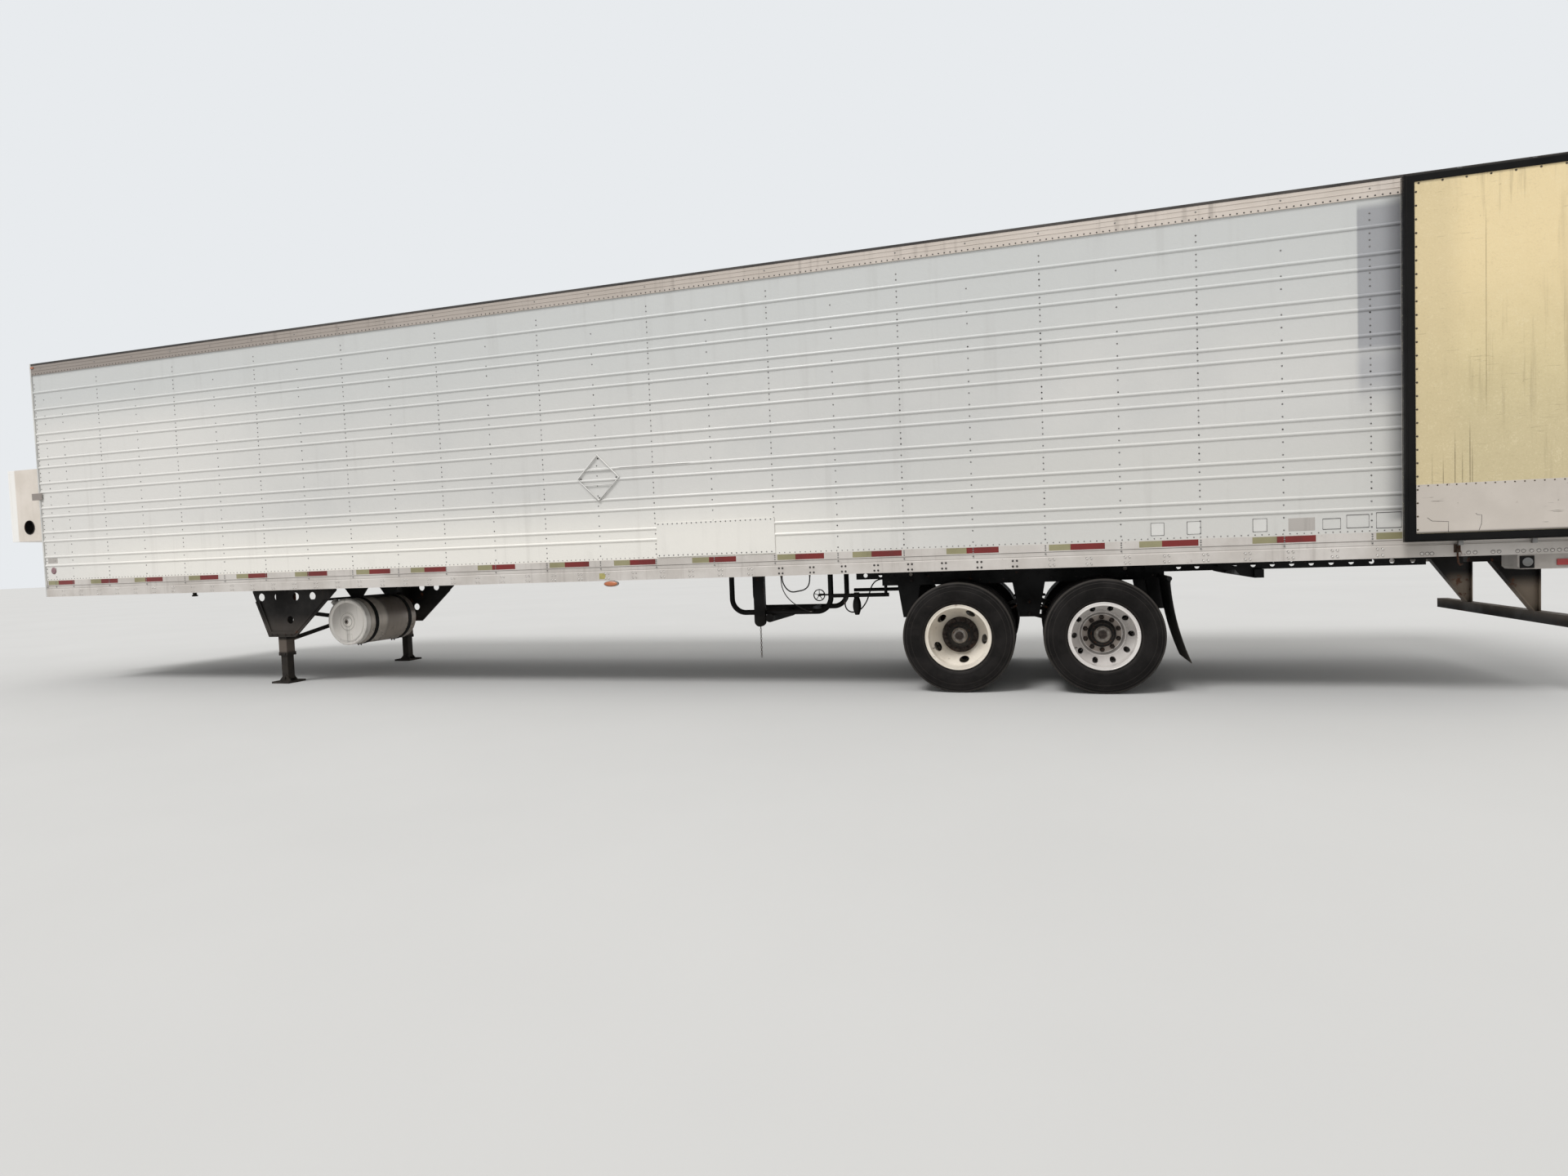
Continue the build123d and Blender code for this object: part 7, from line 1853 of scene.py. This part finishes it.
@dataclass
class RearEnd:
    """Lamps, hooks and small plates at the back of the body."""

    shop: Workshop
    square_lamp: Flat = (15.737, 1.053)
    square_half: Flat = (0.045, 0.047)
    round_lamps: tuple[float, ...] = (0.7, 0.98, 1.095)
    lamp_height: float = 1.1675
    hook_station: float = 15.29
    # offsets from the hook's station and from the rail's face, and height
    hook_path: tuple[Point, ...] = (
        (0.0, 0.004, 1.185), (0.004, 0.018, 1.15), (0.002, 0.016, 1.11), (-0.004, 0.014, 1.06),
        (-0.016, 0.014, 1.042), (-0.03, 0.014, 1.052))

    def lamps(self) -> None:
        """Square lamp on each lamp box, and the rims of the round lamps."""
        dark, lens = MeshMaker(), MeshMaker()
        back = at(BODY_LENGTH)
        x, z = at(self.square_lamp[0]), self.square_lamp[1]
        # radius and X
        rim = [(0.048, back - 0.001), (0.056, back - 0.001), (0.056, back - 0.008), (0.05, back - 0.011),
               (0.048, back - 0.009)]
        for side in Side:
            dark.plate(side, span(x, self.square_half[0]), (1.29, 1.304), span(z, self.square_half[1]),
                       0.004)
            lens.turned([(0.034, 1.303), (0.033, 1.309), (0.02, 1.314), (0.004, 1.315)], side, (x, z), 28)
            for y in self.round_lamps:
                dark.lathe(rim, Axis.X, (side.value * y, self.lamp_height), 28, True)
        self.shop.place("lamp_frames", dark, RUBBER, round_angle=TURNED_ANGLE)
        self.shop.place("clear_lenses", lens, CLEAR_LENS, round_angle=LENS_ANGLE)

    def plate(self) -> None:
        """Blank plate on the rear sill."""
        plate = MeshMaker()
        back = at(BODY_LENGTH)
        plate.prism(corners((-0.42, 1.125), (-0.115, 1.205)), Axis.X, back + 0.001, back - 0.003)
        self.shop.place("blank_rear_plate", plate, BLANK_PLATE)

    def hook(self) -> None:
        """Rusty bracket with its hanging hook on the left rail."""
        hook = MeshMaker()
        x, y = at(self.hook_station), HALF_WIDTH
        hook.plate(Side.LEFT, span(x, 0.022), (y - 0.001, y + 0.006), (1.14, 1.205), 0.002)
        hook.tube([(x + dx, y + dy, z) for dx, dy, z in self.hook_path], 0.007, 8)
        self.shop.place("hanging_hook", hook, CHAIN)

    def build(self) -> None:
        """Builds every piece of the rear."""
        self.lamps()
        self.plate()
        self.hook()
        self.shop.dress(REAR_FRAME, "rear_frame")
        self.shop.dress(LAMP_BOX, "rear_lamp_boxes")
        self.shop.dress(RED_LENS, "lamps_red")
        self.shop.dress(RUBBER, "dock_bumpers")
        self.shop.dress(GUARD, "underride_guard")


@dataclass
class NoseEnd:
    """Marker lamps and round plates at the nose, and the cooling unit's latches and exhaust rim."""

    shop: Workshop
    unit_front: float = -0.633
    latch_places: tuple[Flat, ...] = ((-0.8, 2.02), (0.8, 2.02), (-0.8, 2.58), (0.8, 2.58))
    latch_half: Flat = (0.016, 0.035)
    front_lamps: tuple[float, ...] = (-0.6, -0.15, 0.15, 0.6)

    def markers(self) -> None:
        """Marker lamps at the top corners and a plain round plate low on each side."""
        lens, disc = MeshMaker(), MeshMaker()
        for side in Side:
            lens.plate(side, (at(0.103), at(0.055)), (1.29, 1.306), (3.994, 4.016), 0.004)
            disc.turned([(0.044, SKIN_Y), (0.043, SKIN_Y + 0.003), (0.02, SKIN_Y + 0.004)], side,
                        (at(0.185), 1.44), 28)
        for y in self.front_lamps:
            lens.prism(corners((y - 0.03, 3.995), (y + 0.03, 4.018)), Axis.X, at(0.002), at(-0.012))
        self.shop.place("nose_markers", lens, AMBER_LENS)
        self.shop.place("round_plates", disc, FADED_DISC)

    def unit_trim(self) -> None:
        """Latches and exhaust rim of the cooling unit."""
        dark, ring = MeshMaker(), MeshMaker()
        front = at(self.unit_front)
        for place in self.latch_places:
            dark.prism(about(place, self.latch_half), Axis.X, front - 0.012, front - 0.0005)
        rim = [(0.084, 1.238), (0.092, 1.238), (0.091, 1.246), (0.085, 1.246)]
        ring.turned(rim, Side.LEFT, EXHAUST_CENTRE, 32, True)
        self.shop.place("unit_latches", dark, HARDWARE)
        self.shop.place("exhaust_rim", ring, BOLT, round_angle=TURNED_ANGLE)

    def build(self) -> None:
        """Builds every piece of the nose."""
        self.markers()
        self.unit_trim()
        self.shop.dress(NOSE, "nose_frame", "nose_wall")
        self.shop.dress(BULKHEAD, "bulkhead")
        self.shop.dress(COUPLING, "nose_couplings")
        self.shop.dress(UNIT, "unit_lower", "unit_upper")
        self.shop.dress(GRILLE, "unit_grilles")


@dataclass(frozen=True)
class AirHose:
    """One rubber air hose: what it stands for, its body, its size and the points that steer it."""

    node: str
    body: str
    diameter: float
    length: float
    route: tuple[Point, ...]

    def points(self) -> list[Point]:
        """The route's points in the row frame, from station, Y and height in millimetres."""
        return [(at(s / MM), y / MM, z / MM) for s, y, z in self.route]


@dataclass
class AirLines:
    """Air hoses that hang under the body and on the bogie, with their end fittings."""

    shop: Workshop
    crimp: Flat = (0.001, 0.026)
    crimp_share: float = 0.66
    hoses: tuple[AirHose, ...] = (
        AirHose("supply_hose", "trailer", 0.014, 0.554, (
            (9903, 450, 1096), (9903, 450, 1033), (9886, 450, 968), (9838, 450, 930), (9768, 449, 918),
            (9700, 447, 908), (9645, 446, 942), (9610, 445, 1000), (9598, 445, 1048), (9598, 445, 1096))),
        AirHose("control_hose", "trailer", 0.01, 0.56, (
            (9598, 485, 1096), (9598, 485, 1022), (9612, 484, 942), (9650, 480, 868), (9712, 472, 802),
            (9785, 459, 750), (9846, 447, 718), (9884, 441, 703), (9915, 441, 703))),
        AirHose("bogie_hose", "tandem", 0.014, 0.694, (
            (10670, 335, 1020), (10600, 335, 1020), (10540, 346, 965), (10515, 370, 880), (10490, 405, 790),
            (10435, 450, 712), (10365, 500, 688), (10320, 535, 708), (10293, 556, 755), (10293, 556, 805))),
        AirHose("chamber_hose", "tandem", 0.012, 0.672, (
            (12075, 430, 950), (12075, 430, 892), (12062, 431, 830), (12050, 432, 765), (12048, 433, 700),
            (12088, 435, 660), (12145, 437, 658), (12186, 438, 698), (12186, 437, 762), (12168, 434, 826),
            (12140, 430, 892), (12140, 430, 950))))

    def hose(self, hose: AirHose) -> None:
        """Makes one hose as a smooth curve that runs through both ends of its route.

        Args:
            hose: which one.
        """
        points = hose.points()
        data = bpy.data.curves.new("hung_" + hose.node, "CURVE")
        data.dimensions = "3D"
        data.bevel_depth = hose.diameter / 2.0
        data.bevel_resolution = 3
        data.resolution_u = 10
        data.use_fill_caps = True
        spline = data.splines.new("NURBS")
        spline.points.add(len(points) - 1)
        for knot, point in zip(spline.points, points):
            knot.co = (*point, 1.0)
        spline.order_u = 3
        spline.use_endpoint_u = True
        data.materials.append(self.shop.painter.material(HOSE))
        piece = bpy.data.objects.new("hung_" + hose.node, data)
        bpy.context.scene.collection.objects.link(piece)
        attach(piece, hose.body)
        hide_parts(hose.node)
        log.info("%s on %s", piece.name, hose.body)

    def fittings(self) -> None:
        """Crimped ends of the hoses, on each body."""
        for body in ("trailer", "tandem"):
            ends = MeshMaker()
            for hose in self.hoses:
                if hose.body != body:
                    continue
                points = [Vector(point) for point in hose.points()]
                for end, nxt in ((points[0], points[1]), (points[-1], points[-2])):
                    ahead = (nxt - end).normalized()
                    ends.tube([tuple(end + ahead * reach) for reach in self.crimp],
                              hose.diameter * self.crimp_share, 12)
            self.shop.place("hose_ends_" + body, ends, CAP, body, round_angle=TURNED_ANGLE)

    def build(self) -> None:
        """Builds every hose and its fittings."""
        for hose in self.hoses:
            self.hose(hose)
        self.fittings()


@dataclass(frozen=True)
class PhotoCamera:
    """The photograph's viewpoint, found from the rivet columns and the rails."""

    place: Point = (-4.3734, 9.0673, 1.333)
    heading: float = 196.457
    tilt: float = -2.401
    roll: float = -2.118
    lens: float = 19.549
    sensor: float = 36.0
    reach: float = 500.0

    def build(self) -> None:
        """Makes the camera and the scene's use of it."""
        data = bpy.data.cameras.new("photo_camera")
        data.lens = self.lens
        data.sensor_width = self.sensor
        data.clip_end = self.reach
        camera = bpy.data.objects.new("photo_camera", data)
        turn = (Matrix.Rotation(math.radians(self.heading), 4, "Z")
                @ Matrix.Rotation(math.radians(90.0 + self.tilt), 4, "X")
                @ Matrix.Rotation(math.radians(self.roll), 4, "Z"))
        camera.matrix_world = Matrix.Translation(self.place) @ turn
        bpy.context.scene.collection.objects.link(camera)
        bpy.context.scene.camera = camera


@dataclass(frozen=True)
class Studio:
    """Plain pale floor and soft light."""

    floor_half: float = 160.0
    floor_dark: Colour = (186, 186, 185)
    floor_pale: Colour = (194, 194, 193)
    light: Colour = (255, 254, 252)
    background: Colour = (232, 235, 238)
    horizon: float = 0.385
    zenith: float = 1.04
    sun: float = 1.72
    sun_angle: float = 20.0
    sun_tint: Point = (1.0, 0.992, 0.985)
    sun_way: Point = (-0.32, -0.6, -1.0)

    def floor(self) -> None:
        """A plain pale floor that is not part of the trailer."""
        data = bpy.data.meshes.new("studio_floor")
        h = self.floor_half
        data.from_pydata([(x, y, 0.0) for x, y in about((0.0, 0.0), (h, h))], [], [(0, 1, 2, 3)])
        ground = bpy.data.objects.new("studio_floor", data)
        bpy.context.scene.collection.objects.link(ground)
        material = bpy.data.materials.new("pale_floor")
        material.use_nodes = True
        w = Wiring(material.node_tree)
        shader = w.shader()
        vector = w.add("ShaderNodeTexCoord").outputs["Object"]
        tone = w.tint(w.noise(vector, 0.4, 3.0), linear(self.floor_dark), linear(self.floor_pale))
        w.join(tone, shader["Base Color"])
        shader["Roughness"].default_value = 0.9
        data.materials.append(material)

    def world(self) -> None:
        """Even light from all round, with a pale background for the camera and for gloss."""
        world = bpy.data.worlds.new("studio_world")
        world.use_nodes = True
        bpy.context.scene.world = world
        w = Wiring(world.node_tree)
        w.tree.nodes.clear()
        path = w.add("ShaderNodeLightPath")
        seen = w.calc("MAXIMUM", path.outputs["Is Camera Ray"], path.outputs["Is Glossy Ray"])
        seen = w.calc("MAXIMUM", seen, path.outputs["Is Transmission Ray"])
        up = w.parts(w.add("ShaderNodeTexCoord").outputs["Generated"])[2]
        strength = w.ramp(up, -0.1, 0.9, self.horizon, self.zenith)
        light = w.add("ShaderNodeBackground", {0: linear(self.light), 1: strength})
        shown = w.add("ShaderNodeBackground", {0: linear(self.background), 1: 1.0})
        both = w.add("ShaderNodeMixShader", {0: seen, 1: light.outputs[0], 2: shown.outputs[0]})
        w.add("ShaderNodeOutputWorld", {0: both.outputs[0]})

    def lamps(self) -> None:
        """One broad soft lamp from above and before the left side."""
        data = bpy.data.lights.new("soft_sun", "SUN")
        data.energy = self.sun
        data.angle = math.radians(self.sun_angle)
        data.color = self.sun_tint
        lamp = bpy.data.objects.new("soft_sun", data)
        lamp.rotation_euler = Vector(self.sun_way).to_track_quat("-Z", "Y").to_euler()
        bpy.context.scene.collection.objects.link(lamp)

    def build(self) -> None:
        """Builds the floor and the light."""
        self.floor()
        self.world()
        self.lamps()
        bpy.context.scene.view_settings.view_transform = "Standard"


def main() -> None:
    """Builds the camera, the studio and every sub-assembly in order."""
    logging.basicConfig(level=logging.INFO, format="%(message)s")
    PhotoCamera().build()
    Studio().build()
    shop = Workshop(frame["nodes"])
    AirLines(shop).build()
    SideSheets(shop).build()
    RailTrim(shop).build()
    for side in Side:
        DoorLeaf(shop, side).build()
        WheelPair(shop, WheelStyle.OVAL_HOLES, side, FRONT_AXLE).build()
        WheelPair(shop, WheelStyle.ROUND_HOLES, side, REAR_AXLE).build()
    LandingGear(shop).build()
    BogieGear(shop).build()
    MarkerLamps(shop).build()
    RearEnd(shop).build()
    NoseEnd(shop).build()


if __name__ == "__main__":
    main()
